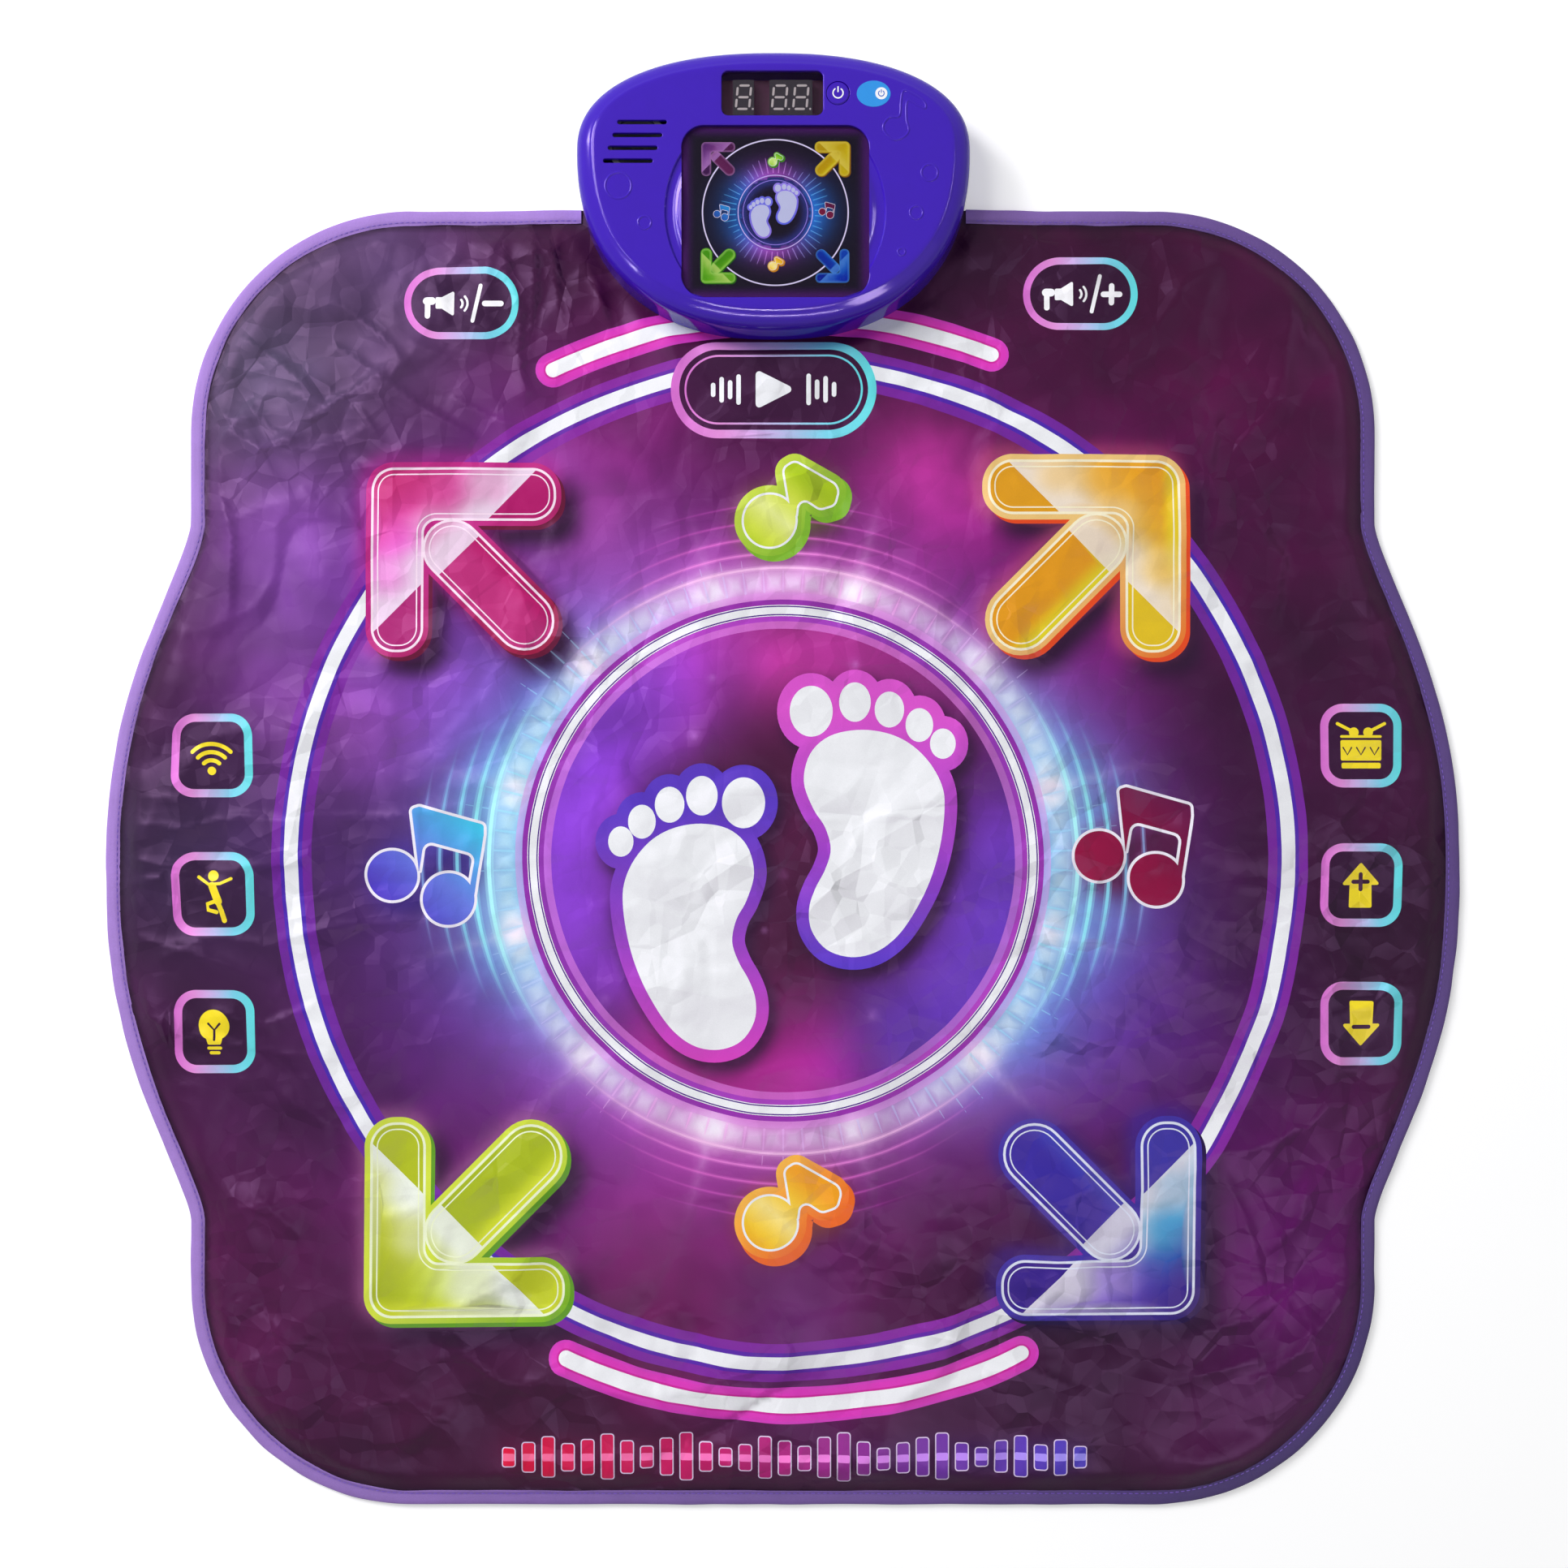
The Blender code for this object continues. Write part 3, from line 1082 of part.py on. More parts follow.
def make_speaker(housing):
    """Pressed frame under the slots, paper cone inside it, magnet below."""
    top = UNDER_ROOF
    flange_low = top - SPEAKER_FLANGE
    bottom = top - SPEAKER_DEPTH
    rim = SPEAKER_RADIUS - SPEAKER_FLANGE
    mouth = rim - SPEAKER_SHEET
    profile = [
        (SPEAKER_BORE_RADIUS, bottom),
        (SPEAKER_NECK_RADIUS, bottom),
        (rim, flange_low),
        (SPEAKER_RADIUS, flange_low),
        (SPEAKER_RADIUS, top),
        (mouth, top),
        (mouth, flange_low),
        (SPEAKER_NECK_RADIUS - SPEAKER_SHEET / 2, bottom + SPEAKER_SHEET),
        (SPEAKER_BORE_RADIUS, bottom + SPEAKER_SHEET),
    ]
    turned("speaker_frame", profile, (*SPEAKER_PLACE, 0), STEEL, ROUND_STEPS, housing)
    neck = SPEAKER_BORE_RADIUS
    cone_low = bottom + SPEAKER_SHEET + CONE_CLEARANCE
    cone_high = top - CONE_CLEARANCE / 2
    cone_rim = mouth - CONE_CLEARANCE / 2
    rise = cone_high - cone_low
    profile = [
        (0, CONE_THICKNESS),
        (neck, 0),
        (cone_rim, rise - CONE_THICKNESS),
        (cone_rim, rise),
        (neck, CONE_NECK_HEIGHT),
        (0, CONE_DOME_HEIGHT),
    ]
    turned("speaker_cone", profile, (*SPEAKER_PLACE, cone_low), CONE_PAPER, ROUND_STEPS, housing)
    high = bottom - GAP
    profile = [(0, high - MAGNET_HEIGHT), (MAGNET_RADIUS, high - MAGNET_HEIGHT), (MAGNET_RADIUS, high)]
    profile += [(0, high)]
    turned("speaker_magnet", profile, (*SPEAKER_PLACE, 0), STEEL, ROUND_STEPS, housing)


def make_main_board(housing):
    """The board between the front bosses, its chips, and the connector on the film's tail."""
    board = rounded_box(MAIN_BOARD_SIZE, MAIN_BOARD_CORNER, 2, MAIN_BOARD_PLACE)
    holes = [
        circle(BOSS_RADIUS + BOSS_CLEARANCE / 2, ROUND_STEPS, (side * FRONT_SCREW[0], FRONT_SCREW[1]))
        for side in (-1, 1)
    ]
    high = MAIN_BOARD_LOW + BOARD_THICKNESS
    main = slab("main_circuit_board", board, MAIN_BOARD_LOW, high, BOARD_GREEN, holes=holes,
                parent=housing)
    x, y = MAIN_BOARD_PLACE
    chips = []
    root = high - BOARD_THICKNESS / 2
    for (right, back), size in CHIPS:
        place = (x + right, y + back)
        chips.append(block("chip", size, place, root, high + CHIP_HEIGHT, DARK_PLASTIC, None))
    combine(main, merged("main_board_chips", chips, housing), "UNION")
    rear = y + MAIN_BOARD_SIZE[1] / 2 - CONNECTOR_BEHIND_BOARD_EDGE
    place = (x, rear - CONNECTOR_SIZE[1] / 2)
    block("film_connector", CONNECTOR_SIZE, place, CONNECTOR_LOW, CONNECTOR_HIGH, WHITE_PLASTIC, housing)


def make_battery_bay(housing):
    """Cells side by side, contact strips at their ends, and the door with its screw."""
    cells_front = BAY_FRONT + CONTACT_ROOM
    profile = [(0, 0), (CELL_RADIUS - CELL_EDGE, 0), (CELL_RADIUS, CELL_EDGE)]
    shoulder = CELL_LENGTH - CELL_NUB_LENGTH
    profile += [(CELL_RADIUS, shoulder - CELL_EDGE), (CELL_RADIUS - CELL_EDGE, shoulder)]
    profile += [(CELL_NUB_RADIUS, shoulder), (CELL_NUB_RADIUS, CELL_LENGTH), (0, CELL_LENGTH)]
    for k in range(CELL_COUNT):
        x = (k - (CELL_COUNT - 1) / 2) * CELL_PITCH
        forward = k % 2 == 0
        y = cells_front if forward else cells_front + CELL_LENGTH
        cell = turned(f"battery_cell_{k + 1}", profile, (x, y, CELL_AXIS_Z), CELL_WRAP, 16, housing)
        cell.rotation_euler = (math.radians(-90 if forward else 90), 0, 0)
    width = 2 * (BAY_HALF_WIDTH - GAP)
    cells_rear = cells_front + CELL_LENGTH
    strips = {
        "battery_contacts_front": BAY_FRONT + GAP + CONTACT_THICKNESS / 2,
        "battery_contacts_rear": cells_rear + CONTACT_ROOM - CONTACT_THICKNESS / 2,
    }
    low = CELL_AXIS_Z - CONTACT_HEIGHT / 2
    for name, y in strips.items():
        strip = block(name, (width, CONTACT_THICKNESS), (0.0, y), low, low + CONTACT_HEIGHT, STEEL,
                      housing)
        inward = 1 if y < cells_front else -1
        length = CONTACT_ROOM - CONTACT_THICKNESS - 2 * GAP
        springs = []
        for k in range(CELL_COUNT):
            x = (k - (CELL_COUNT - 1) / 2) * CELL_PITCH
            springs.append(contact_spring(x, y, inward, length))
        combine(strip, merged(f"{name}_springs", springs, housing), "UNION")
    door_size = (2 * BAY_HALF_WIDTH, BAY_REAR - BAY_FRONT)
    middle = (0.0, (BAY_FRONT + BAY_REAR) / 2)
    door_loop = offset_corners(box_corners(door_size, middle), -GAP)
    door = slab("battery_door", door_loop, FLOOR_LOW, DOOR_HIGH, HOUSING_PLASTIC, parent=housing,
                origin=(0.0, BAY_FRONT + GAP, FLOOR_LOW))
    head = DOOR_SCREW_HEAD_RADIUS + HEAD_CLEARANCE
    shank = DOOR_SCREW_SHANK_RADIUS + HEAD_CLEARANCE
    seat = FLOOR_LOW + DOOR_SCREW_HEAD_HEIGHT + GAP
    above = DOOR_HIGH + CUT_OVERSHOOT
    profile = [(0, -CUT_OVERSHOOT), (head, -CUT_OVERSHOOT), (head, seat), (shank, seat)]
    profile += [(shank, above), (0, above)]
    way = turned("battery_door_screw_way", profile, (0.0, POST_Y, 0), DARK_PLASTIC, SMALL_STEPS, housing)
    combine(door, way, "DIFFERENCE")
    head_high = seat - GAP / 2
    profile = [(0, head_high - DOOR_SCREW_HEAD_HEIGHT)]
    profile += [(DOOR_SCREW_HEAD_RADIUS, head_high - DOOR_SCREW_HEAD_HEIGHT)]
    profile += [(DOOR_SCREW_HEAD_RADIUS, head_high), (DOOR_SCREW_SHANK_RADIUS, head_high)]
    profile += [(DOOR_SCREW_SHANK_RADIUS, POST_LOW + DOOR_SCREW_REACH), (0, POST_LOW + DOOR_SCREW_REACH)]
    turned("battery_door_screw", profile, (0.0, POST_Y, 0), STEEL, SMALL_STEPS, housing)


def contact_spring(x, y, inward, length):
    """A contact's tapered spring, as a cone that points to its cell."""
    rows = []
    for radius, away in ((SPRING_BASE_RADIUS, 0.0), (SPRING_TIP_RADIUS, length)):
        turns = [2 * math.pi * k / SMALL_STEPS for k in range(SMALL_STEPS)]
        if inward > 0:
            turns.reverse()
        rows.append(
            [
                (x + radius * math.cos(t), y + inward * away, CELL_AXIS_Z + radius * math.sin(t))
                for t in turns
            ]
        )
    return lofted("spring", rows, STEEL)


def build():
    clear_scene()
    mat = group("mat", (0.0, 0.0, 0.0))
    housing = group("housing", (HOUSING_X, HOUSING_Y, 0.0))
    zones = zone_outlines()
    make_base_fabric(mat)
    make_padding_foam(mat)
    make_inner_films(mat, zones)
    make_cover(mat, zones)
    make_edge_binding(mat)
    make_zones(mat, zones)
    make_upper_shell(housing)
    make_lower_shell(housing)
    make_feet_and_screws(housing)
    make_light_panel(housing)
    make_display(housing)
    make_power_button(housing)
    make_speaker(housing)
    make_main_board(housing)
    make_battery_bay(housing)


build()
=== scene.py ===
"""Looks of the electronic dance mat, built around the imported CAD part. Lengths are in metres.

New pieces stand for the cover with its touch zones, the edge tape, the housing's upper shell,
the panel's print and the underside cloth. The other CAD nodes are shown as they are.
"""

import math

import bmesh
import bpy
import numpy as np
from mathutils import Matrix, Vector
from mathutils.geometry import delaunay_2d_cdt


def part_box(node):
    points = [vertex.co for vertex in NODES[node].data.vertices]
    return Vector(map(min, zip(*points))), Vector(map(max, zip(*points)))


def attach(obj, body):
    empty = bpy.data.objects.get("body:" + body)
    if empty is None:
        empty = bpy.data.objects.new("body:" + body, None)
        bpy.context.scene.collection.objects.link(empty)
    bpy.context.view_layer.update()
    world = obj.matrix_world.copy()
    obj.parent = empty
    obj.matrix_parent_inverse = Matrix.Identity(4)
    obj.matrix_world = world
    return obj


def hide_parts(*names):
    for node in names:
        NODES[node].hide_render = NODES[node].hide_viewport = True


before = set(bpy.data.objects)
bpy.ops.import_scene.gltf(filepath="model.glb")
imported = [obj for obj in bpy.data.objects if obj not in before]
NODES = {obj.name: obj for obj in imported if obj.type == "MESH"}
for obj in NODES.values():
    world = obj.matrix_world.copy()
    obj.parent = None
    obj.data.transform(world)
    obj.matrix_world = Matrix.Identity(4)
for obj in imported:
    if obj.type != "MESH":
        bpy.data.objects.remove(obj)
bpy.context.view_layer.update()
MM = 0.001

# The outlines of the mat and the housing, as in the CAD part
MAT_WIDTH, MAT_CORNER = 0.732, 0.137
FRONT_Y, REAR_Y = -0.44375, 0.35575
BULGE, BULGE_Y, BULGE_HALF = 0.0525, -0.05275, 0.215
CLOTH_INSET = 0.0009
COVER_TOP, EDGE_DROP, EDGE_FLAT, EDGE_LEVEL = 0.0062, 0.0035, 0.0093, 0.022
HOUSING_X, HOUSING_Y = -0.00565, 0.38385
HOUSING = np.array([HOUSING_X, HOUSING_Y])
HOUSING_HALF, HOUSING_REAR, HOUSING_FRONT, HOUSING_POWER = 0.1197, 0.060, 0.1088, 2.3
HOUSING_MEAN = 0.11
FADE_START, FADE_LENGTH = 0.008, 0.045


# Plan shapes: every loop is an array of points in the plan

def circle(x, y, radius, other=None, step=0.0022):
    other = radius if other is None else other
    count = max(20, int(2 * math.pi * max(radius, other) / step))
    turn = np.arange(count) * 2 * math.pi / count
    return np.stack([x + radius * np.cos(turn), y + other * np.sin(turn)], 1)


def area_of(loop):
    after = np.roll(loop, -1, 0)
    return np.sum(loop[:, 0] * after[:, 1] - loop[:, 1] * after[:, 0]) / 2


def unit(v):
    return v / max(np.hypot(*v), 1e-12)


def rounded(corners, radii, grow=0.0, step=0.0016):
    """A polygon with rounded corners, grown by a distance."""
    corners = np.array(corners, float)
    if area_of(corners) < 0:
        corners = corners[::-1]
        radii = radii[::-1] if hasattr(radii, "__len__") else radii
    radii = radii if hasattr(radii, "__len__") else [radii] * len(corners)
    count = len(corners)
    sides = [unit(corners[(k + 1) % count] - corners[k]) for k in range(count)]
    outward = [np.array([s[1], -s[0]]) for s in sides]
    grown = []
    for k in range(count):
        m = outward[k - 1] + outward[k]
        grown.append(corners[k] + m * grow / (0.5 * m.dot(m)))
    loop = []
    for k, here in enumerate(grown):
        into, out = sides[k - 1], sides[k]
        bend = into[0] * out[1] - into[1] * out[0]
        sweep = math.atan2(bend, into.dot(out))
        radius = max(radii[k] + (grow if bend > 0 else -grow), 2e-4)
        before, after = here - grown[k - 1], grown[(k + 1) % count] - here
        reach = min(np.hypot(*before), np.hypot(*after)) * 0.499
        tangent = min(radius * abs(math.tan(sweep / 2)), reach)
        radius = tangent / abs(math.tan(sweep / 2))
        side = 1 if bend > 0 else -1
        centre = here - into * tangent + side * radius * np.array([-into[1], into[0]])
        first = here - into * tangent - centre
        steps = max(2, int(abs(sweep) * radius / step))
        for j in range(steps + 1):
            c, s = math.cos(sweep * j / steps), math.sin(sweep * j / steps)
            loop.append(centre + (first[0] * c - first[1] * s, first[0] * s + first[1] * c))
    return np.array(loop)


def box(x, y, width, depth):
    w, d = width / 2, depth / 2
    return [(x - w, y - d), (x + w, y - d), (x + w, y + d), (x - w, y + d)]


def smooth(points, per=7):
    """A closed curve through points."""
    b = np.array(points, float)
    a, c, d = np.roll(b, 1, 0), np.roll(b, -1, 0), np.roll(b, -2, 0)
    slope, bow, twist = c - a, 2 * a - 5 * b + 4 * c - d, 3 * b - a - 3 * c + d
    loop = []
    for k in range(len(b)):
        for t in np.arange(per) / per:
            loop.append(0.5 * (2 * b[k] + slope[k] * t + bow[k] * t * t + twist[k] * t ** 3))
    return np.array(loop)


def normals_of(path, closed):
    if closed:
        along = np.roll(path, -1, 0) - np.roll(path, 1, 0)
    else:
        along = np.gradient(path, axis=0)
    along /= np.maximum(np.hypot(along[:, 0], along[:, 1]), 1e-12)[:, None]
    return np.stack([-along[:, 1], along[:, 0]], 1)


def grown(loop, distance):
    """A smooth closed loop moved outwards."""
    n = normals_of(loop, True)
    return loop + n * (-distance if area_of(loop) > 0 else distance)


def stroke(path, width, cap=7):
    """The outline of a line of some width with round ends. width may differ along it."""
    path = np.array(path, float)
    n = normals_of(path, False)
    half = np.broadcast_to(np.asarray(width, float) / 2, len(path))
    right, left = path - n * half[:, None], path + n * half[:, None]
    ends = []
    for end, first, radius in ((-1, -n[-1], half[-1]), (0, n[0], half[0])):
        turn = math.pi * np.arange(1, cap) / cap
        c, s = np.cos(turn), np.sin(turn)
        around = np.stack([first[0] * c - first[1] * s, first[0] * s + first[1] * c], 1)
        ends.append(path[end] + radius * around)
    return np.concatenate([right, ends[0], left[::-1], ends[1]])


def arc(x, y, radius, start, end, step=0.003):
    count = max(8, int(abs(math.radians(end - start)) * radius / step))
    turn = np.radians(np.linspace(start, end, count))
    return np.stack([x + radius * np.cos(turn), y + radius * np.sin(turn)], 1)


def cut(loop, normal, offset):
    """The part of a loop where normal . p is under offset."""
    kept = []
    value = loop @ np.array(normal) - offset
    for k in range(len(loop)):
        a, b, u, v = loop[k - 1], loop[k], value[k - 1], value[k]
        if (u < 0) != (v < 0):
            kept.append(a + (b - a) * u / (u - v))
        if v < 0:
            kept.append(b)
    return np.array(kept)


def inside(loop, x, y):
    """Which of the points lie inside a loop. The points come in rising order of y."""
    found = np.zeros(len(x), bool)
    for (ax, ay), (bx, by) in zip(loop, np.roll(loop, -1, 0)):
        if ay != by:
            i, j = np.searchsorted(y, (min(ay, by), max(ay, by)))
            found[i:j] ^= x[i:j] < (bx - ax) * (y[i:j] - ay) / (by - ay) + ax
    return found


def side_reach(y):
    """Half of the mat's width at a place along it."""
    away = np.clip(np.abs(y - BULGE_Y) / BULGE_HALF, 0, 1)
    return MAT_WIDTH / 2 + BULGE * (1 - away ** 2.4) ** 1.4


def mat_edge(step=0.003):
    """The mat's edge from the middle of its rear, round the left, the front and the right."""
    x, rear, front = MAT_WIDTH / 2 - MAT_CORNER, REAR_Y - MAT_CORNER, FRONT_Y + MAT_CORNER
    half = [np.stack([np.linspace(0, -x, 65), np.full(65, REAR_Y)], 1)]
    half.append(arc(-x, rear, MAT_CORNER, 90, 180, step))
    y = np.linspace(rear, front, int((rear - front) / step))
    half.append(np.stack([-side_reach(y), y], 1))
    half.append(arc(-x, front, MAT_CORNER, 180, 270, step))
    half.append(np.stack([np.linspace(-x, 0, 65), np.full(65, FRONT_Y)], 1))
    left = np.concatenate([half[0]] + [h[1:] for h in half[1:]])
    path = np.concatenate([left, (left * (-1, 1))[::-1][1:]])
    apart = np.hypot(*(np.diff(path, axis=0).T))
    return path[np.concatenate([[True], apart > 1e-6])]


def housing_loop(inset, count=288):
    """The housing's outline about its middle, moved inwards."""
    turn = 2 * math.pi * (np.arange(count) + 0.5) / count
    c, s = np.cos(turn), np.sin(turn)
    length = np.where(s > 0, HOUSING_REAR, HOUSING_FRONT)
    x = HOUSING_HALF * np.sign(c) * np.abs(c) ** (2 / HOUSING_POWER)
    y = length * np.sign(s) * np.abs(s) ** (2 / HOUSING_POWER)
    slope = HOUSING_POWER - 1
    ox = np.sign(x) * np.abs(x / HOUSING_HALF) ** slope / HOUSING_HALF
    oy = np.sign(y) * np.abs(y / length) ** slope / length
    size = np.hypot(ox, oy)
    return np.stack([x - inset * ox / size, y - inset * oy / size], 1)


# The photograph's frame: millimetres per pixel, its middle, and the mat's shift from there in mm
PIXEL, PHOTO_X, PHOTO_Y = 0.5, 966, 965
SHIFT_X, SHIFT_Y = 0.75, 2.2


def at(px, py):
    """Where a mark of the print lies, from its place in the photograph's frame."""
    return np.array([(px - PHOTO_X) * PIXEL + SHIFT_X, (PHOTO_Y - py) * PIXEL + SHIFT_Y]) * MM


# Fields over the plan: relief and soft print, on a grid of one millimetre

GRID = MM
X0, Y0, NX, NY = -0.430, -0.456, 861, 823
gx, gy = np.meshgrid(X0 + GRID * np.arange(NX), Y0 + GRID * np.arange(NY))
fx, fy = np.meshgrid(np.fft.fftfreq(NX), np.fft.fftfreq(NY))


def blurred(field, length):
    """A field blurred over a length."""
    keep = np.exp(-2 * (math.pi * (length / GRID)) ** 2 * (fx ** 2 + fy ** 2))
    return np.real(np.fft.ifft2(np.fft.fft2(field) * keep))


def noise(seed, length):
    """Soft noise of some length whose spread is one."""
    n = blurred(np.random.RandomState(seed).standard_normal((NY, NX)), length)
    return n / n.std()


def between(field, i, j, u, v):
    """A field's value between four neighbouring points."""
    low = field[j, i] * (1 - u) + field[j, i + 1] * u
    high = field[j + 1, i] * (1 - u) + field[j + 1, i + 1] * u
    return low * (1 - v) + high * v


def sample(field, x, y):
    """A field's value at places of the plan."""
    u = np.clip((x - X0) / GRID, 0, NX - 1.001)
    v = np.clip((y - Y0) / GRID, 0, NY - 1.001)
    i, j = u.astype(int), v.astype(int)
    u, v = u - i, v - j
    if field.ndim == 3:
        u, v = u[..., None], v[..., None]
    return between(field, i, j, u, v)


def ease(value, low, high):
    """A smooth step from 0 to 1 between two values."""
    t = np.clip((value - low) / (high - low), 0, 1)
    return t * t * (3 - 2 * t)


def spot(x, y, reach):
    """A soft round spot over the grid."""
    return np.exp(-((gx - x) ** 2 + (gy - y) ** 2) / reach ** 2)


def distance_to(line, coarse=4):
    """Distance of every grid point to a line given by close points."""
    cx, cy = gx[::coarse, ::coarse], gy[::coarse, ::coarse]
    best = np.full(cx.shape, 9.0)
    for part in np.array_split(line, max(1, len(line) // 40)):
        d = np.hypot(cx[..., None] - part[:, 0], cy[..., None] - part[:, 1]).min(-1)
        best = np.minimum(best, d)
    u, v = (gx - X0) / (GRID * coarse), (gy - Y0) / (GRID * coarse)
    i = np.minimum(u.astype(int), best.shape[1] - 2)
    j = np.minimum(v.astype(int), best.shape[0] - 2)
    return between(best, i, j, u - i, v - j)


EDGE = mat_edge()
edge_distance = distance_to(EDGE)
hx, hy = (gx - HOUSING_X) / HOUSING_HALF, gy - HOUSING_Y
hy = hy / np.where(hy > 0, HOUSING_REAR, HOUSING_FRONT)
from_middle = (np.abs(hx) ** HOUSING_POWER + np.abs(hy) ** HOUSING_POWER) ** (1 / HOUSING_POWER)
housing_distance = (from_middle - 1) * HOUSING_MEAN

# Wrinkles: soft waves, creased facets that are stronger at the left, and folds along lines
LEFT = 1 - ease(gx, -0.30, 0.05)
REAR = ease(gy, -0.05, 0.25)
SITES = 160  # the facets repeat after this many cells


def facets(seed, cell, tilt=0.0, stretch=1.0):
    """Flat facets that meet in sharp creases, like a crumpled sheet, with slopes near one."""
    c, s = math.cos(tilt), math.sin(tilt)
    u, v = (gx * c + gy * s) / (cell * stretch) + 40, (gy * c - gx * s) / cell + 80
    u, v = u + 0.25 * noise(seed + 7, 0.02), v + 0.25 * noise(seed + 8, 0.02)
    i, j = np.floor(u).astype(int), np.floor(v).astype(int)
    total = np.zeros_like(u)
    for part, sign in ((0, 1), (1, -1)):
        random = np.random.RandomState(seed + part)
        sites = random.uniform(0, 1, (SITES, SITES, 2))
        lift = random.uniform(-0.3, 0.3, (SITES, SITES))
        best = np.full(u.shape, -9.0)
        for a in (-1, 0, 1):
            for b in (-1, 0, 1):
                m, n = (i + a) % SITES, (j + b) % SITES
                across, along = u - i - a - sites[m, n, 0], v - j - b - sites[m, n, 1]
                best = np.maximum(best, lift[m, n] - across ** 2 - along ** 2)
        total += sign * best
    return total * cell


relief = 0.0006 * (noise(3, 0.040) + 1.2)
crumple_share = 1.05 + 0.30 * LEFT * (0.10 + 0.90 * REAR) + 0.40 * spot(0.29, -0.33, 0.09)
crumple_share += (0.55 * (1 - ease(gy, -0.36, -0.16)) + 0.35 * spot(-0.13, 0.02, 0.07)
                  + 0.3 * ease(np.abs(gx), 0.30, 0.37))
local = 0.25 + 0.95 * ease(noise(19, 0.030), -0.3, 1.4)
large = 0.050 * facets(101, 0.066, 0.5, 1.6)
small = 0.050 * facets(103, 0.028, -0.5, 1.4) + 0.030 * facets(105, 0.013)
relief += crumple_share * (large + local * small + 0.0016)
relief += 0.00035 * np.exp(-edge_distance / 0.022) * (noise(12, 0.007) + 1)
FOLDS = [
    # from, to in the photograph's frame, half-width in mm, height in mm
    (655, 262, 648, 452, 4.0, 3.6), (690, 268, 700, 430, 3.2, 2.6), (724, 330, 752, 420, 3.0, 2.4),
    (618, 270, 600, 400, 7.0, 1.8), (1215, 262, 1228, 330, 4.0, 1.6), (1262, 262, 1290, 320, 4.0, 1.2),
    (286, 408, 420, 520, 3.4, 2.6), (350, 560, 470, 520, 3.0, 2.3), (412, 372, 520, 470, 3.4, 2.2),
    (300, 500, 380, 640, 5.0, 2.0), (262, 560, 350, 470, 4.0, 2.2), (440, 470, 540, 530, 3.0, 1.8),
    (420, 590, 450, 700, 5.0, 1.6), (500, 420, 610, 450, 4.0, 1.7), (250, 660, 400, 610, 5.0, 1.4),
    (141, 1052, 380, 1060, 3.2, 2.2), (150, 1150, 352, 1222, 6.0, 2.8), (150, 1236, 420, 1304, 5.0, 2.4),
    (340, 1156, 560, 1140, 4.0, 1.8), (380, 1004, 610, 982, 3.4, 1.7), (170, 980, 300, 1010, 4.0, 1.5),
    (380, 1056, 720, 1046, 1.8, 0.8), (720, 1046, 1640, 1050, 1.6, 0.6), (330, 1330, 500, 1420, 6.0, 1.6),
    (250, 1420, 330, 1560, 7.0, 1.6), (420, 1660, 560, 1640, 5.0, 1.2), (640, 1700, 720, 1560, 5.0, 1.0),
    (1604, 300, 1590, 560, 8.0, 1.8), (1664, 420, 1652, 700, 6.0, 1.6), (1500, 330, 1470, 480, 7.0, 1.2),
    (1498, 1430, 1566, 1640, 6.0, 2.2), (1430, 1700, 1610, 1636, 5.0, 1.8), (1560, 1760, 1620, 1500, 6.0, 1.8),
    (1600, 1300, 1560, 1480, 6.0, 1.4), (1100, 1240, 1290, 1330, 5.0, 1.3), (1000, 1480, 1160, 1560, 5.0, 1.0),
    (1180, 264, 1200, 900, 1.6, 0.6), (748, 420, 740, 1840, 1.6, 0.5), (560, 1700, 900, 1745, 4.0, 0.8),
    (1290, 700, 1380, 820, 5.0, 1.0), (1640, 980, 1780, 960, 4.0, 1.0), (1650, 1180, 1760, 1215, 4.0, 1.0),
]
for number, (ax, ay, bx, by, half_width, height) in enumerate(FOLDS):
    a, b = at(ax, ay), at(bx, by)
    along = unit(b - a)
    length = np.hypot(*(b - a))
    t = (gx - a[0]) * along[0] + (gy - a[1]) * along[1]
    bend = 0.05 * length * np.sin(math.pi * t / length) * (1 if number % 2 else -1)
    off = (gx - a[0]) * -along[1] + (gy - a[1]) * along[0] + bend
    taper = ease(t, -0.1 * length, 0.35 * length) * (1 - ease(t, 0.55 * length, 1.1 * length))
    wide = half_width * MM * (0.7 + 0.6 * ease(t, 0, length))
    steep = np.where(off > 0, 0.7, 1.9)
    relief += 1.1 * height * MM * taper * np.exp(-np.abs(off / (wide * steep)) ** 1.1)
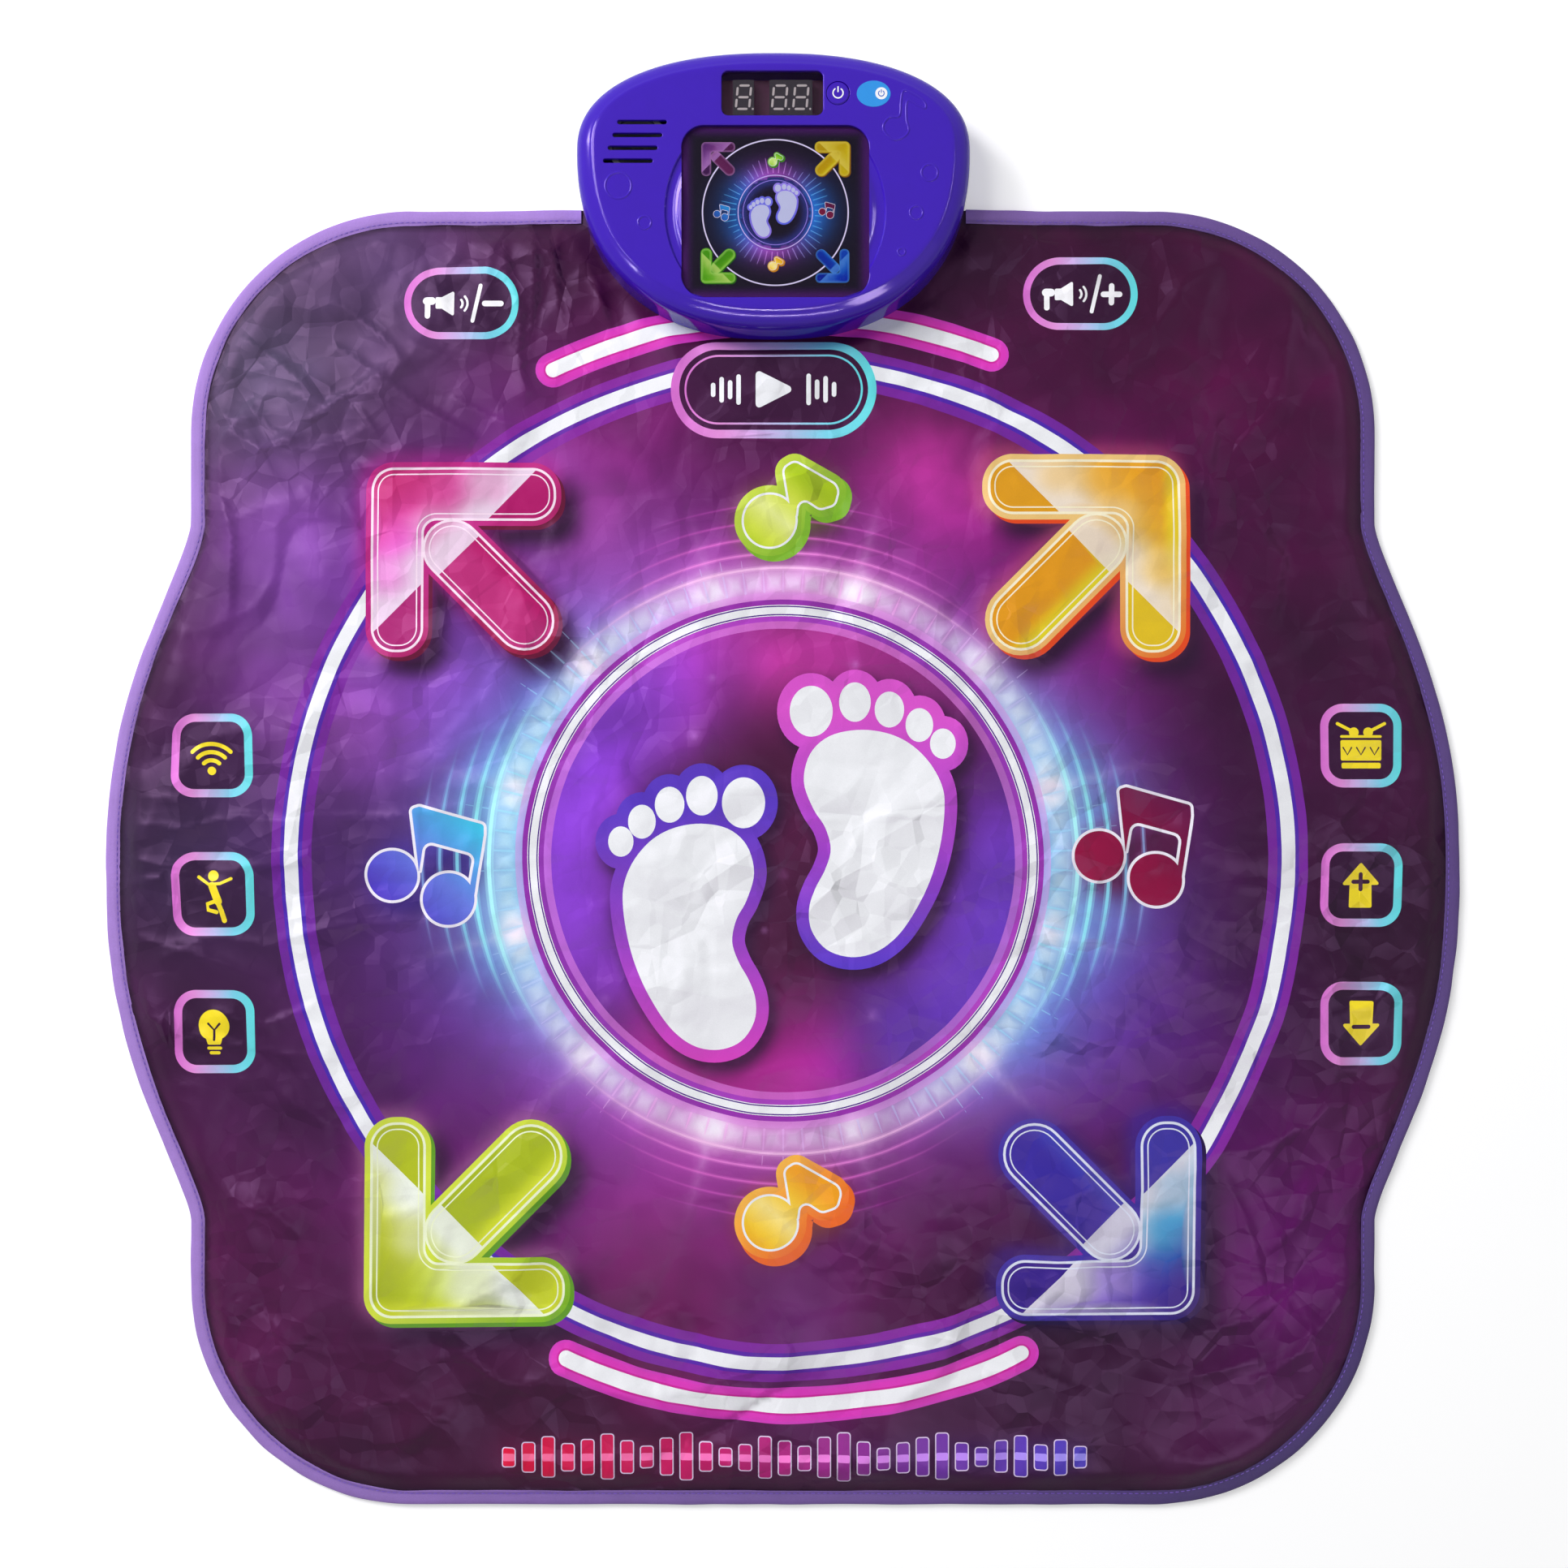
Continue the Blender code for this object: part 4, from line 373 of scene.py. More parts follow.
CREASES = [
    # the height in mm and the path's points in the photograph's frame
    (1.5, 251, 525, 296, 537, 324, 553, 356, 541, 374, 553),
    (1.5, 353, 483, 404, 502, 423, 490, 446, 509, 477, 547), (1.3, 410, 426, 455, 455, 481, 470, 500, 448),
    (1.6, 379, 521, 423, 494, 442, 480, 497, 442), (2.4, 481, 472, 519, 502, 589, 541),
    (1.6, 557, 490, 602, 515, 653, 531), (1.4, 324, 560, 372, 534), (1.0, 478, 292, 462, 300),
    (1.8, 270, 550, 272, 604, 289, 662, 286, 757), (1.2, 430, 562, 470, 585),
    (1.8, 618, 270, 627, 343, 645, 388, 641, 440, 650, 490), (1.0, 375, 600, 395, 625, 410, 600),
    (1.3, 150, 1010, 230, 1020, 300, 1004, 370, 1012), (1.6, 140, 1090, 220, 1078, 330, 1100),
    (1.6, 262, 505, 300, 520, 322, 511, 338, 532, 362, 540), (1.0, 300, 462, 340, 448, 352, 440),
    (1.1, 1180, 420, 1196, 470, 1230, 500, 1226, 560), (0.9, 1290, 300, 1330, 330, 1390, 322),
    (1.1, 1540, 640, 1580, 690, 1570, 760), (1.1, 1660, 820, 1720, 850, 1770, 840),
    (1.2, 1630, 1250, 1690, 1236, 1720, 1200), (0.9, 1380, 1240, 1440, 1290, 1500, 1280),
    (0.9, 1180, 1700, 1260, 1680, 1330, 1712), (0.9, 760, 1640, 830, 1610, 900, 1628),
    (1.0, 540, 1620, 600, 1590, 660, 1610), (1.3, 260, 1500, 330, 1480, 372, 1520),
    (1.2, 230, 1620, 300, 1600, 360, 1640), (1.1, 420, 1740, 500, 1720, 560, 1750),
    (1.3, 1540, 1700, 1600, 1660, 1650, 1590), (0.8, 1000, 1340, 1040, 1380, 1100, 1370),
    (0.7, 820, 1330, 860, 1360, 850, 1400), (1.3, 200, 1180, 260, 1150, 352, 1168),
    (1.4, 262, 1240, 330, 1262, 390, 1236), (0.8, 700, 940, 740, 980, 722, 1024),
    (0.8, 690, 1100, 742, 1120, 770, 1170), (0.7, 640, 800, 700, 822, 760, 806),
    (1.2, 1560, 1540, 1600, 1500, 1612, 1440), (1.4, 1470, 1640, 1540, 1622, 1600, 1580),
    (1.0, 1640, 340, 1600, 380, 1606, 430), (0.8, 1250, 1290, 1300, 1278, 1344, 1300),
    (0.7, 880, 1700, 960, 1720, 1010, 1706), (1.1, 300, 1680, 360, 1650, 430, 1664),
    (0.8, 1450, 470, 1500, 520, 1490, 580),
]
for height, *path in CREASES:
    places = np.array([at(*p) for p in zip(path[::2], path[1::2])])
    total = sum(np.hypot(*(q - p)) for p, q in zip(places, places[1:]))
    done, best = 0.0, np.zeros_like(gx)
    for p, q in zip(places, places[1:]):
        step = q - p
        length = np.hypot(*step)
        t = np.clip(((gx - p[0]) * step[0] + (gy - p[1]) * step[1]) / length ** 2, 0, 1)
        away = np.hypot(gx - p[0] - step[0] * t, gy - p[1] - step[1] * t)
        over = (gx - p[0]) * -step[1] + (gy - p[1]) * step[0] > 0
        share = (done + t * length) / total
        tall = np.sqrt(np.clip(4 * share * (1 - share), 0, 1)) + 0.25
        best = np.maximum(best, tall * np.exp(-away / np.where(over, 0.0022, 0.0075)))
        done += length
    relief += height * 1.3 * MM * best
relief = blurred(relief, 0.0008)
calm = ease(edge_distance, 0.004, 0.030) * ease(housing_distance, -0.001, 0.012)
edge_weight = np.where(gy < REAR_Y - MAT_CORNER, 1.0,
                       ease(np.abs(gx - HOUSING_X) - HOUSING_HALF - FADE_START, 0, FADE_LENGTH))
drop = EDGE_DROP * edge_weight * (1 - ease(edge_distance, EDGE_FLAT - 0.001, EDGE_LEVEL))
top = COVER_TOP - drop + np.maximum(relief, 0) * calm
slope_y, slope_x = np.gradient(top, GRID)


# Soft print: the plum ground, its clouds (some of them painted sheen at the upper left and the left) and the glows
# round the figures

def rgb(r, g, b):
    return np.array([r, g, b], float) / 255


def evenly(colour, like):
    """One colour for every value of a field or list."""
    return np.ones((*np.shape(like), 3)) * rgb(*colour)


def toward(field, colour, share):
    """The field moved towards a colour, by a share from 0 to 1 at each point."""
    colour = rgb(*colour) if isinstance(colour, tuple) else colour
    return field + (colour - field) * np.clip(share, 0, 1)[..., None]


def swing(angle, middle):
    """How far an angle is from a middle, between -pi and pi."""
    return np.angle(np.exp(1j * (angle - middle)))


# Clouds over the printed ground. The grey-violet ones at (330, 450), (470, 330) and (240, 1060) are painted sheen over
# the print; the others are print.
PRINT_CLOUDS_AND_SHEEN = [
    # x, y in the photograph's frame, reach in px, colour, share
    (330, 450, 200, (84, 80, 104), 0.92), (350, 690, 120, (140, 82, 180), 0.6),
    (480, 830, 180, (156, 78, 222), 0.97), (420, 905, 110, (184, 88, 206), 0.75),
    (640, 640, 150, (140, 58, 168), 0.85), (470, 330, 150, (66, 50, 84), 0.8),
    (740, 650, 90, (162, 72, 156), 0.75), (770, 520, 90, (170, 40, 150), 0.6),
    (1150, 600, 100, (214, 60, 170), 0.8), (1560, 480, 240, (72, 1, 52), 0.97),
    (1360, 760, 180, (140, 16, 120), 0.8), (1420, 350, 150, (48, 4, 32), 0.7),
    (1480, 1000, 180, (78, 8, 74), 0.75), (1660, 1160, 200, (22, 0, 16), 0.9),
    (1560, 1560, 190, (92, 6, 96), 0.9), (520, 1300, 170, (96, 36, 142), 0.7),
    (330, 1600, 200, (86, 20, 72), 0.75), (240, 1060, 190, (38, 33, 54), 0.88),
    (700, 1750, 260, (50, 14, 34), 0.75), (790, 1500, 110, (176, 58, 140), 0.5),
    (1200, 1500, 180, (70, 10, 60), 0.6), (560, 1500, 150, (96, 20, 96), 0.6),
    (1380, 1250, 160, (96, 36, 150), 0.8), (960, 640, 110, (66, 10, 46), 0.7),
    (430, 1080, 150, (62, 34, 92), 0.7), (1330, 1700, 200, (34, 2, 28), 0.8),
    (1640, 760, 170, (48, 1, 36), 0.85), (1500, 900, 120, (50, 8, 44), 0.6), (1230, 300, 90, (42, 8, 30), 0.7),
    (960, 1650, 100, (124, 48, 150), 0.7), (840, 1600, 130, (126, 22, 96), 0.6),
    (1130, 1620, 120, (100, 10, 80), 0.5), (640, 1480, 130, (130, 36, 140), 0.5),
    (300, 1330, 140, (58, 20, 62), 0.6), (1260, 1640, 120, (30, 4, 26), 0.6),
]
ground = evenly((54, 10, 44), gx)
for px, py, reach, colour, share in PRINT_CLOUDS_AND_SHEEN:
    ground = toward(ground, colour, share * spot(*at(px, py), reach * PIXEL * MM))
ground *= (1 + 0.08 * noise(21, 0.022) + 0.04 * noise(22, 0.006))[..., None]

# The bright collar round the inner ring
RING, INNER = np.array([0.00425, -0.0478]), np.array([0.00025, -0.0453])
PINK, AZURE, VIOLET = (224, 88, 208), (96, 182, 244), (140, 56, 206)
ring_r = np.hypot(gx - INNER[0], gy - INNER[1])
ring_t = np.arctan2(gy - INNER[1], gx - INNER[0])
sideways = np.abs(np.cos(ring_t + 0.12)) ** 2.0
glow = toward(evenly(PINK, gx), AZURE, 1.25 * sideways)
patchy = 0.88 + 0.10 * np.cos(3 * ring_t + 0.6) + 0.08 * noise(31, 0.020)
out = np.maximum(ring_r - 0.158, 0)
round_it = ring_r > 0.152
ground = toward(ground, toward(evenly(VIOLET, gx), PINK, 0.35 * (1 - sideways)),
                0.66 * round_it * (0.8 + 0.2 * np.cos(3 * ring_t + 0.6)) * np.exp(-(out / 0.070) ** 2))
ground = toward(ground, glow, 0.95 * patchy * round_it * np.exp(-(out / (0.030 + 0.024 * sideways)) ** 1.6))
ground = toward(ground, toward(evenly((238, 210, 240), gx), (190, 234, 246), sideways),
                0.86 * patchy * round_it * np.exp(-((out - 0.013) / 0.0095) ** 2))
for k in range(12):
    # Spots of light at even steps round the ring
    off = swing(ring_t, math.radians(15 + 30 * k)) * ring_r
    share = 1.0 - 0.35 * (k % 2)
    bright = np.exp(-(off / 0.0115) ** 2 - ((out - 0.0125) / 0.0085) ** 2)
    ray = np.exp(-np.abs(off) / (0.0022 + 0.006 * np.exp(-out / 0.014)))
    ground = toward(ground, (255, 248, 255), share * round_it * bright)
    ground = toward(ground, (246, 226, 255), 0.55 * share * round_it * ray * np.exp(-(out / 0.046) ** 1.8))
WAVES = [
    # Sound waves: radius, middles and half angle in degrees, width in mm, colour, share
    (0.1700, (0,), 200, 2.6, (230, 236, 255), 0.7), (0.1800, (90, 270), 56, 1.5, (250, 196, 240), 0.8),
    (0.1810, (180, 0), 42, 2.6, (176, 250, 255), 0.95), (0.1905, (180, 0), 35, 2.4, (150, 244, 252), 0.9),
    (0.2005, (180, 0), 28, 2.1, (140, 232, 250), 0.85), (0.2110, (180, 0), 22, 1.8, (140, 214, 250), 0.75),
    (0.2220, (180, 0), 17, 1.5, (150, 196, 250), 0.65), (0.1890, (90, 270), 47, 1.3, (244, 140, 226), 0.7),
    (0.1985, (90, 270), 39, 1.2, (240, 116, 216), 0.6), (0.2085, (90, 270), 32, 1.0, (230, 100, 210), 0.5),
    (0.2190, (90, 270), 26, 0.9, (220, 90, 204), 0.4),
]
WAVES = [(radius, middle, *rest) for radius, middles, *rest in WAVES for middle in middles]
for radius, middle, half, width, colour, share in WAVES:
    away = np.abs(np.degrees(swing(ring_t, math.radians(middle)))) / half
    soft = np.exp(-((ring_r - radius) / 0.0046) ** 2)
    ground = toward(ground, colour, 0.30 * share * soft * (1 - ease(away, 0.25, 1.0)))

# The inner ring's own ground, with small sparks
core = toward(evenly((84, 26, 88), gx), (176, 50, 146), ease(np.cos(ring_t - 1.75), 0.2, 1.0))
core = toward(core, (140, 66, 216), ease(np.cos(ring_t - 2.9), 0.2, 1.0))
core = toward(core, (104, 58, 190), ease(np.cos(ring_t + 0.55), 0.35, 1.0))
core = toward(core, (176, 36, 140), 0.8 * ease(np.cos(ring_t + 1.75), 0.72, 1.0))
core = toward(core, (62, 16, 46), 1 - ease(ring_r, 0.050, 0.135))
for k in range(14):
    x, y = INNER + 0.001 * np.array([(37 * k % 23 - 11) * 11.0, (53 * k % 29 - 14) * 8.6])
    core = toward(core, (226, 170, 250), 0.55 * np.exp(-np.hypot(gx - x, gy - y) / (0.0012 + 0.0003 * (k % 4))))
within = ring_r < 0.153
ground[within] = (core * (1 + 0.06 * noise(41, 0.012))[..., None])[within]


# Printed figures: a list of loops with their paint, later ones over earlier ones

def blend(stops, t):
    """A colour ramp: stops are (t, colour)."""
    places = [s[0] for s in stops]
    return np.stack([np.interp(t, places, [s[1][k] for s in stops]) for k in range(3)], -1)


def flat(*colour):
    return lambda x, y, base: evenly(colour, x)


def ramp(start, end, *stops):
    """Paint that runs from one place to another."""
    start, end = np.array(start), np.array(end)
    way = (end - start) / ((end - start) @ (end - start))
    stops = [(k / (len(stops) - 1), rgb(*s)) for k, s in enumerate(stops)]
    return lambda x, y, base: blend(stops, (x - start[0]) * way[0] + (y - start[1]) * way[1])


def veil(colour, share):
    colour = rgb(*colour)
    return lambda x, y, base: base + (colour - base) * share


def bare(x, y, base):
    return base


WHITE = flat(238, 240, 244)
YELLOW = flat(250, 226, 34)
INK_DARK = veil((30, 12, 34), 0.55)


def lay(prints, loops, paint):
    """Several loops in one paint."""
    prints += [(loop, paint) for loop in loops]


def ring(prints, centre, bands):
    """Concentric bands, from the outside in: (radius, paint)."""
    for radius, paint in bands:
        lay(prints, [circle(*centre, radius)], paint)


def tone_set(*colours):
    """An arrow's colours. edge is a lighter stripe along one side; the last four, a thick lower
    rim and a glow, may be left out."""
    names = ("tip", "near", "corner", "leg_x", "leg_y", "shaft", "edge", "lines", "block", "rim", "rim2", "glow")
    return dict(zip(names, colours))


ARROWS = {
    # sides of the mat, then tones
    "rear_left": (-1, 1, tone_set(
        (164, 24, 104), (232, 216, 234), (188, 40, 108), (230, 96, 204), (206, 66, 146), (184, 44, 116),
        (176, 16, 96), (246, 222, 240), (96, 16, 44), (190, 40, 130), (150, 26, 62), (186, 36, 150))),
    "rear_right": (1, 1, tone_set(
        (222, 156, 16), (238, 226, 214), (226, 154, 12), (228, 176, 50), (232, 176, 70), (224, 152, 12),
        (224, 212, 30), (246, 238, 206), (226, 74, 18), (236, 196, 120), (226, 120, 40), (196, 90, 120))),
    "front_left": (-1, -1, tone_set(
        (176, 190, 16), (236, 242, 238), (166, 182, 6), (196, 206, 50), (206, 222, 110), (166, 184, 6),
        (212, 222, 46), (236, 244, 206), (90, 152, 14), (206, 222, 60), (120, 176, 20), (170, 110, 150))),
    "front_right": (1, -1, tone_set(
        (48, 30, 132), (224, 222, 232), (38, 24, 128), (24, 150, 205), (126, 96, 206), (50, 40, 154),
        (60, 66, 176), (222, 228, 246), (16, 8, 56), (60, 50, 160), (34, 24, 96), (46, 34, 150))),
}
ARROW_REACH, ARROW_LEG, SHAFT_HALF = 0.119, 0.037, 0.0195


def arrow_places(side_x, side_y):
    """Places from an arrow's corner, along its two legs."""
    corner = np.array([side_x * (MAT_WIDTH / 2 - 0.115), REAR_Y - 0.157 if side_y > 0 else FRONT_Y + 0.118])
    return lambda uv: corner - np.array(uv) * (side_x, side_y)


def arrow_zone(place):
    reach, leg, spread = ARROW_REACH, ARROW_LEG, SHAFT_HALF * math.sqrt(2)
    tail, half = 0.097 + SHAFT_HALF / math.sqrt(2), spread / 2
    corners = [(0, 0), (reach, 0), (reach, leg), (leg + spread, leg), (tail + half, tail - half),
               (tail - half, tail + half), (leg, leg + spread), (leg, reach), (0, reach)]
    radii = [0.016, 0.012, 0.012, 0.005, 0.0195, 0.0195, 0.005, 0.012, 0.012]
    return rounded([place(c) for c in corners], radii)


def paint_arrow(prints, place, tones, k=1.0):
    """An arrow in two parts, both lined, pale on its corner's side of a straight cut."""
    head = [(0, 0), (ARROW_REACH, 0), (ARROW_REACH, ARROW_LEG), (ARROW_LEG, ARROW_LEG),
            (ARROW_LEG, ARROW_REACH), (0, ARROW_REACH)]
    radii = np.array([0.0165, 0.0172, 0.0172, 0.006, 0.0172, 0.0172]) * k
    start = place((0, 0))
    across = unit(place((1, 1)) - start)
    side = unit(place((1, 0)) - place((0, 1)))
    zero = start @ across
    falling = across[0] * across[1] > 0
    low = unit(np.array((1.0, -1.0 if falling else 1.0)))

    def depth(x, y):
        return ((x * across[0] + y * across[1]) - zero) / k * math.sqrt(2)

    def stripe(x, y, reach=1.0):
        """The lighter side of a bar, towards its lower right."""
        middle = place((0.075, 0.075))
        off = ((x - middle[0]) * low[0] + (y - middle[1]) * low[1]) / k
        return ease(off, 0.003 * reach, 0.016 * reach)

    def pale(x, y, base):
        t = depth(x, y)
        lean = ease((x * side[0] + y * side[1] - start @ side) / k, -0.02, 0.02)
        along = x - start[0] if side[0] * side[1] < 0 and across[0] < 0 else y - start[1]
        edge = (1 - ease(np.abs(along) / k, 0.007, 0.015)) * falling
        colour = toward(evenly(tones["corner"], x), tones["leg_x"], 0.92 * (1 - lean) * ease(t, 0.022, 0.075))
        colour = toward(colour, tones["leg_y"], 0.92 * lean * ease(t, 0.022, 0.075))
        colour = toward(colour, tones["edge"], 0.7 * edge * (1 - ease(t, 0.05, 0.09)))
        cloudy = 0.005 * (np.sin(x * 190 / k) + np.sin(y * 230 / k + 1))
        return toward(colour, tones["near"], 0.95 * ease(t + cloudy, 0.048, 0.110))

    def full(x, y, base):
        return toward(evenly(tones["tip"], x), tones["edge"], 0.6 * stripe(x, y, 0.9))

    def shaft_tone(x, y, base):
        return toward(evenly(tones["shaft"], x), tones["edge"], 0.95 * stripe(x, y))

    def shaft_pale(x, y, base):
        return toward(shaft_tone(x, y, base), tones["near"], 0.92 * ease(depth(x, y), 0.060, 0.100))

    def loops(grow):
        return rounded([place(c) for c in head], radii, grow * k, 0.0016 * max(k, 0.3))

    def shaft(grow):
        ends = np.array([place((0.0525, 0.0525)), place((0.0972, 0.0972))])
        return stroke(ends, 2 * (0.0185 + grow) * k, 16)

    if "block" in tones:
        middle, diagonal = place((0.05, 0.05)), np.array((0.055, -0.055)) * k
        rim = ramp(middle - diagonal, middle + diagonal, tones["rim"], tones["rim"], tones["rim2"])
        for shift, paint in ((0.0024, flat(*tones["block"])), (0.0, rim)):
            lay(prints, [part + np.array((shift, -shift)) * k for part in (loops(0.0010), shaft(0.0010 + 0.0018))],
                paint)
    for part, limit, plain, light, more in ((loops, 0.108, full, pale, 0.0),
                                            (shaft, 0.113, shaft_tone, shaft_pale, 0.0022)):
        edge = zero + limit * k / math.sqrt(2)
        for outside, inner in ((-0.0022, -0.0037), (-0.0060, -0.0068)):
            prints.append((part(outside + more), flat(*tones["lines"])))
            prints.append((part(inner + more), plain))
            prints.append((cut(part(inner + more), across, edge), light))


def millimetres(centre, k):
    """Places given in mm about a centre, times k."""
    return lambda points: np.array(points, float) * k * MM + centre


def paint_note(prints, centre, k, rim, rim2, tone, tone2, shift):
    """A quaver with a thick coloured rim, a white line and a shaded face."""
    put = millimetres(centre, k)
    head = circle(*put([(-10.5, -9.5)])[0], 18.0 * k * MM, step=0.0018 * max(k, 0.3))
    arm = rounded(put([(2.5, -9.0), (-3.0, 24.0), (5.5, 29.5), (35.5, 13.0), (32.0, 0.0), (21.5, -3.5),
                       (9.0, 4.5), (7.5, -8.0)]),
                  np.array([2, 6, 6, 8, 6, 6, 7, 2]) * k * MM, step=0.0012 * max(k, 0.3))
    parts = [head, arm]
    low = np.array(shift) * k * MM
    lay(prints, [grown(loop, 0.0052 * k) + low for loop in parts], flat(*rim2))
    lay(prints, [grown(loop, 0.0046 * k) for loop in parts],
        ramp(centre + (-0.02 * k, 0.02 * k), centre + (0.02 * k, -0.02 * k), rim, rim2))
    lay(prints, parts, WHITE)
    bright = tuple(0.5 * np.array(tone2) + 0.5 * np.array((250, 250, 225)))
    face = ramp(centre + (-0.025 * k, -0.028 * k), centre + (0.012 * k, 0.016 * k), tone, tone2, bright, tone2, tone)
    lay(prints, [grown(loop, -0.0014 * k) for loop in parts], face)


def paint_pair(prints, centre, k, *tones):
    """Two quavers with a beam, lined in white."""
    put = millimetres(centre, k)
    parts = [circle(*put([place])[0], radius * k * MM, step=0.0018 * max(k, 0.3))
             for place, radius in (((-23.0, -5.5), 17.6), ((12.5, -20.5), 18.2))]
    parts.append(rounded(put([(-8.0, -4.0), (-12.5, 38.0), (-6.0, 40.0), (36.5, 28.0), (36.5, 20.0), (30.0, -22.0),
                              (22.5, -22.0), (27.5, 6.5), (-1.5, 14.5), (-4.5, -4.0)]),
                         np.array([1, 4, 4, 4, 4, 1, 1, 4, 4, 1]) * k * MM, step=0.0012 * max(k, 0.3)))
    lay(prints, parts, flat(236, 232, 244))
    lay(prints, [grown(loop, -0.0018 * k) for loop in parts],
        ramp(centre + (-0.03 * k, -0.03 * k), centre + (0.03 * k, 0.03 * k), *tones))


# The right foot's sole and its toes (with two radii), in units of SOLE_UNIT mm
RIGHT_SOLE = [
    (808, 560), (826, 482), (880, 432), (960, 414), (1040, 422), (1108, 452), (1164, 506), (1200, 575),
    (1206, 645), (1194, 745), (1166, 840), (1122, 930), (1072, 1000), (1010, 1045), (940, 1058), (872, 1036),
    (830, 982), (823, 920), (840, 864), (868, 810), (884, 752), (868, 690), (834, 636),
]
RIGHT_TOES = [(829, 361, 61, 72), (953, 335, 45, 56), (1051, 356, 42, 51), (1136, 400, 39, 48), (1202, 453, 36, 43)]
SOLE_UNIT, SOLE_X, SOLE_Y, FOOT_RIM = 0.2168, 1005, 735, 0.0078


def foot_loops(place, k, mirror):
    """A footprint's sole and toes, from points about the right foot's middle."""
    def put(x, y):
        u, v = (x - SOLE_X) * SOLE_UNIT, (SOLE_Y - y) * SOLE_UNIT
        if mirror:
            u, c, s = 2.6 - 0.945 * u, math.cos(0.05), math.sin(0.05)
            u, v = c * u - s * v, s * u + c * v
        return np.array([u, v]) * k * MM + place
    loops = [smooth([put(*p) for p in RIGHT_SOLE], 5)]
    for x, y, rx, ry in RIGHT_TOES:
        loops.append(circle(*put(x, y), rx * SOLE_UNIT * k * MM, ry * SOLE_UNIT * k * MM, step=0.002 * max(k, 0.3)))
    return loops


def paint_foot(prints, place, k, mirror, upper, middle, lower, fill=WHITE):
    """A footprint with a coloured rim."""
    loops = foot_loops(place, k, mirror)
    reach = np.array((0, 0.08)) * k
    lay(prints, [grown(loop, FOOT_RIM * k) for loop in loops],
        ramp(place + reach, place - reach, upper, middle, lower))
    lay(prints, loops, fill)


def paint_frame(prints, corners, radius, width, grow=0.0):
    """A frame whose colour runs from pink to cyan."""
    corners = np.array(corners)
    left, right = corners[:, 0].min(), corners[:, 0].max()
    pink_to_cyan = ramp((left, 0), (right, 0), (212, 108, 204), (228, 146, 218), (200, 180, 232),
                        (120, 210, 232), (96, 222, 226))
    prints.append((rounded(corners, radius, grow), pink_to_cyan))
    prints.append((rounded(corners, radius, grow - width), INK_DARK))


def level_line(centre, turn, radius, length, widths, ends, lean, share):
    """A fine line that stands on a ring, in a colour that goes with its place round it."""
    tone = blend([(0, rgb(*ends[0])), (1, rgb(*ends[1]))], abs(math.cos(turn + lean)) ** 1.5)
    way = np.array([math.cos(turn), math.sin(turn)])
    line = np.array([centre + way * radius, centre + way * (radius + length)])
    return stroke(line, np.array(widths), 4), veil(tuple(tone * 255), share)


def light_line(middle, half, colour, share):
    """Paint that fades out along an arc."""
    middle = math.radians(middle)

    def paint(x, y, base):
        turn = swing(np.arctan2(y - INNER[1], x - INNER[0]), middle)
        return toward(base, colour, share * (1 - ease(np.abs(np.degrees(turn)) / half, 0.2, 0.98)))
    return paint


def angle_tone(first, second):
    """Paint that changes round the mat's middle."""
    return lambda x, y, base: toward(evenly(first, x), second, 0.5 + 0.5 * np.sin(2 * np.arctan2(y, x) + 0.5))


# The two rings, with level lines and sound waves round the inner one and an arc beyond each end
PURPLE, INDIGO = angle_tone((132, 40, 156), (104, 36, 150)), angle_tone((92, 36, 158), (66, 38, 170))
mat = []
ring(mat, RING, [(0.3178, PURPLE), (0.3125, INDIGO), (0.3102, WHITE), (0.3018, INDIGO), (0.2992, PURPLE),
                 (0.2935, bare)])
for k in range(90):
    turn = math.radians(4 * k + 2)
    strength = 0.5 + 0.5 * math.sin(3 * turn + 1.1) * math.cos(5 * turn)
    length = 0.010 + 0.034 * strength * (0.6 + 0.4 * math.sin(11 * turn))
    mat.append(level_line(INNER, turn, 0.1655, length, (0.0016, 0.0004),
                          ((255, 176, 244), (150, 236, 255)), 0.35, 0.42))
for radius, middle, half, width, colour, share in WAVES:
    if half < 180:
        path = arc(*INNER, radius, middle - half, middle + half, 0.004)
        taper = np.sin(np.linspace(0, math.pi, len(path))) ** 0.5 + 0.05
        for wide, strong in ((2.4, 0.35), (1.0, 1.0)):
            wave = stroke(path, 0.9 * wide * width * MM * taper, 3)
            mat.append((wave, light_line(middle, half, colour, share * strong)))
BLUE_INK = flat(72, 30, 130)
ring(mat, INNER, [
    (0.1646, veil((222, 150, 228), 0.5)), (0.1603, angle_tone((150, 48, 170), (140, 46, 166))), (0.1571, WHITE),
    (0.1566, BLUE_INK), (0.1558, WHITE), (0.1515, BLUE_INK), (0.1507, WHITE),
    (0.1502, angle_tone((178, 66, 194), (140, 52, 172))), (0.1470, veil((222, 132, 226), 0.62)), (0.1424, bare)])
for radius, start, end in ((0.337, 115.6, 68.4), (0.3325, 245.6, 295.4)):
    line = arc(*RING, radius, start, end)
    for width, paint in ((0.0212, flat(206, 60, 184)), (0.0180, flat(214, 56, 182)), (0.0112, flat(198, 36, 150)),
                         (0.0088, WHITE)):
        mat.append((stroke(line, width, 12), paint))

# Arrows, notes and feet. A printed arrow sits off its zone's middle: x and y in mm, and its scale
ZONES = []
ARROW_PRINTS = dict(rear_left=(-4.6, 0.0, 0.99), rear_right=(-6.3, 2.5, 1.035), front_left=(-2.4, 0.0, 1.045),
                    front_right=(2.2, 1.2, 1.04))


def arrow_print_places(name):
    """The printed arrow's places: the zone's own, scaled about its middle and shifted."""
    dx, dy, scale = ARROW_PRINTS[name]
    place = arrow_places(*ARROWS[name][:2])
    middle = np.array((0.0595, 0.0595))
    return lambda uv: place(middle + (np.array(uv) - middle) * scale) + np.array((dx, dy)) * MM


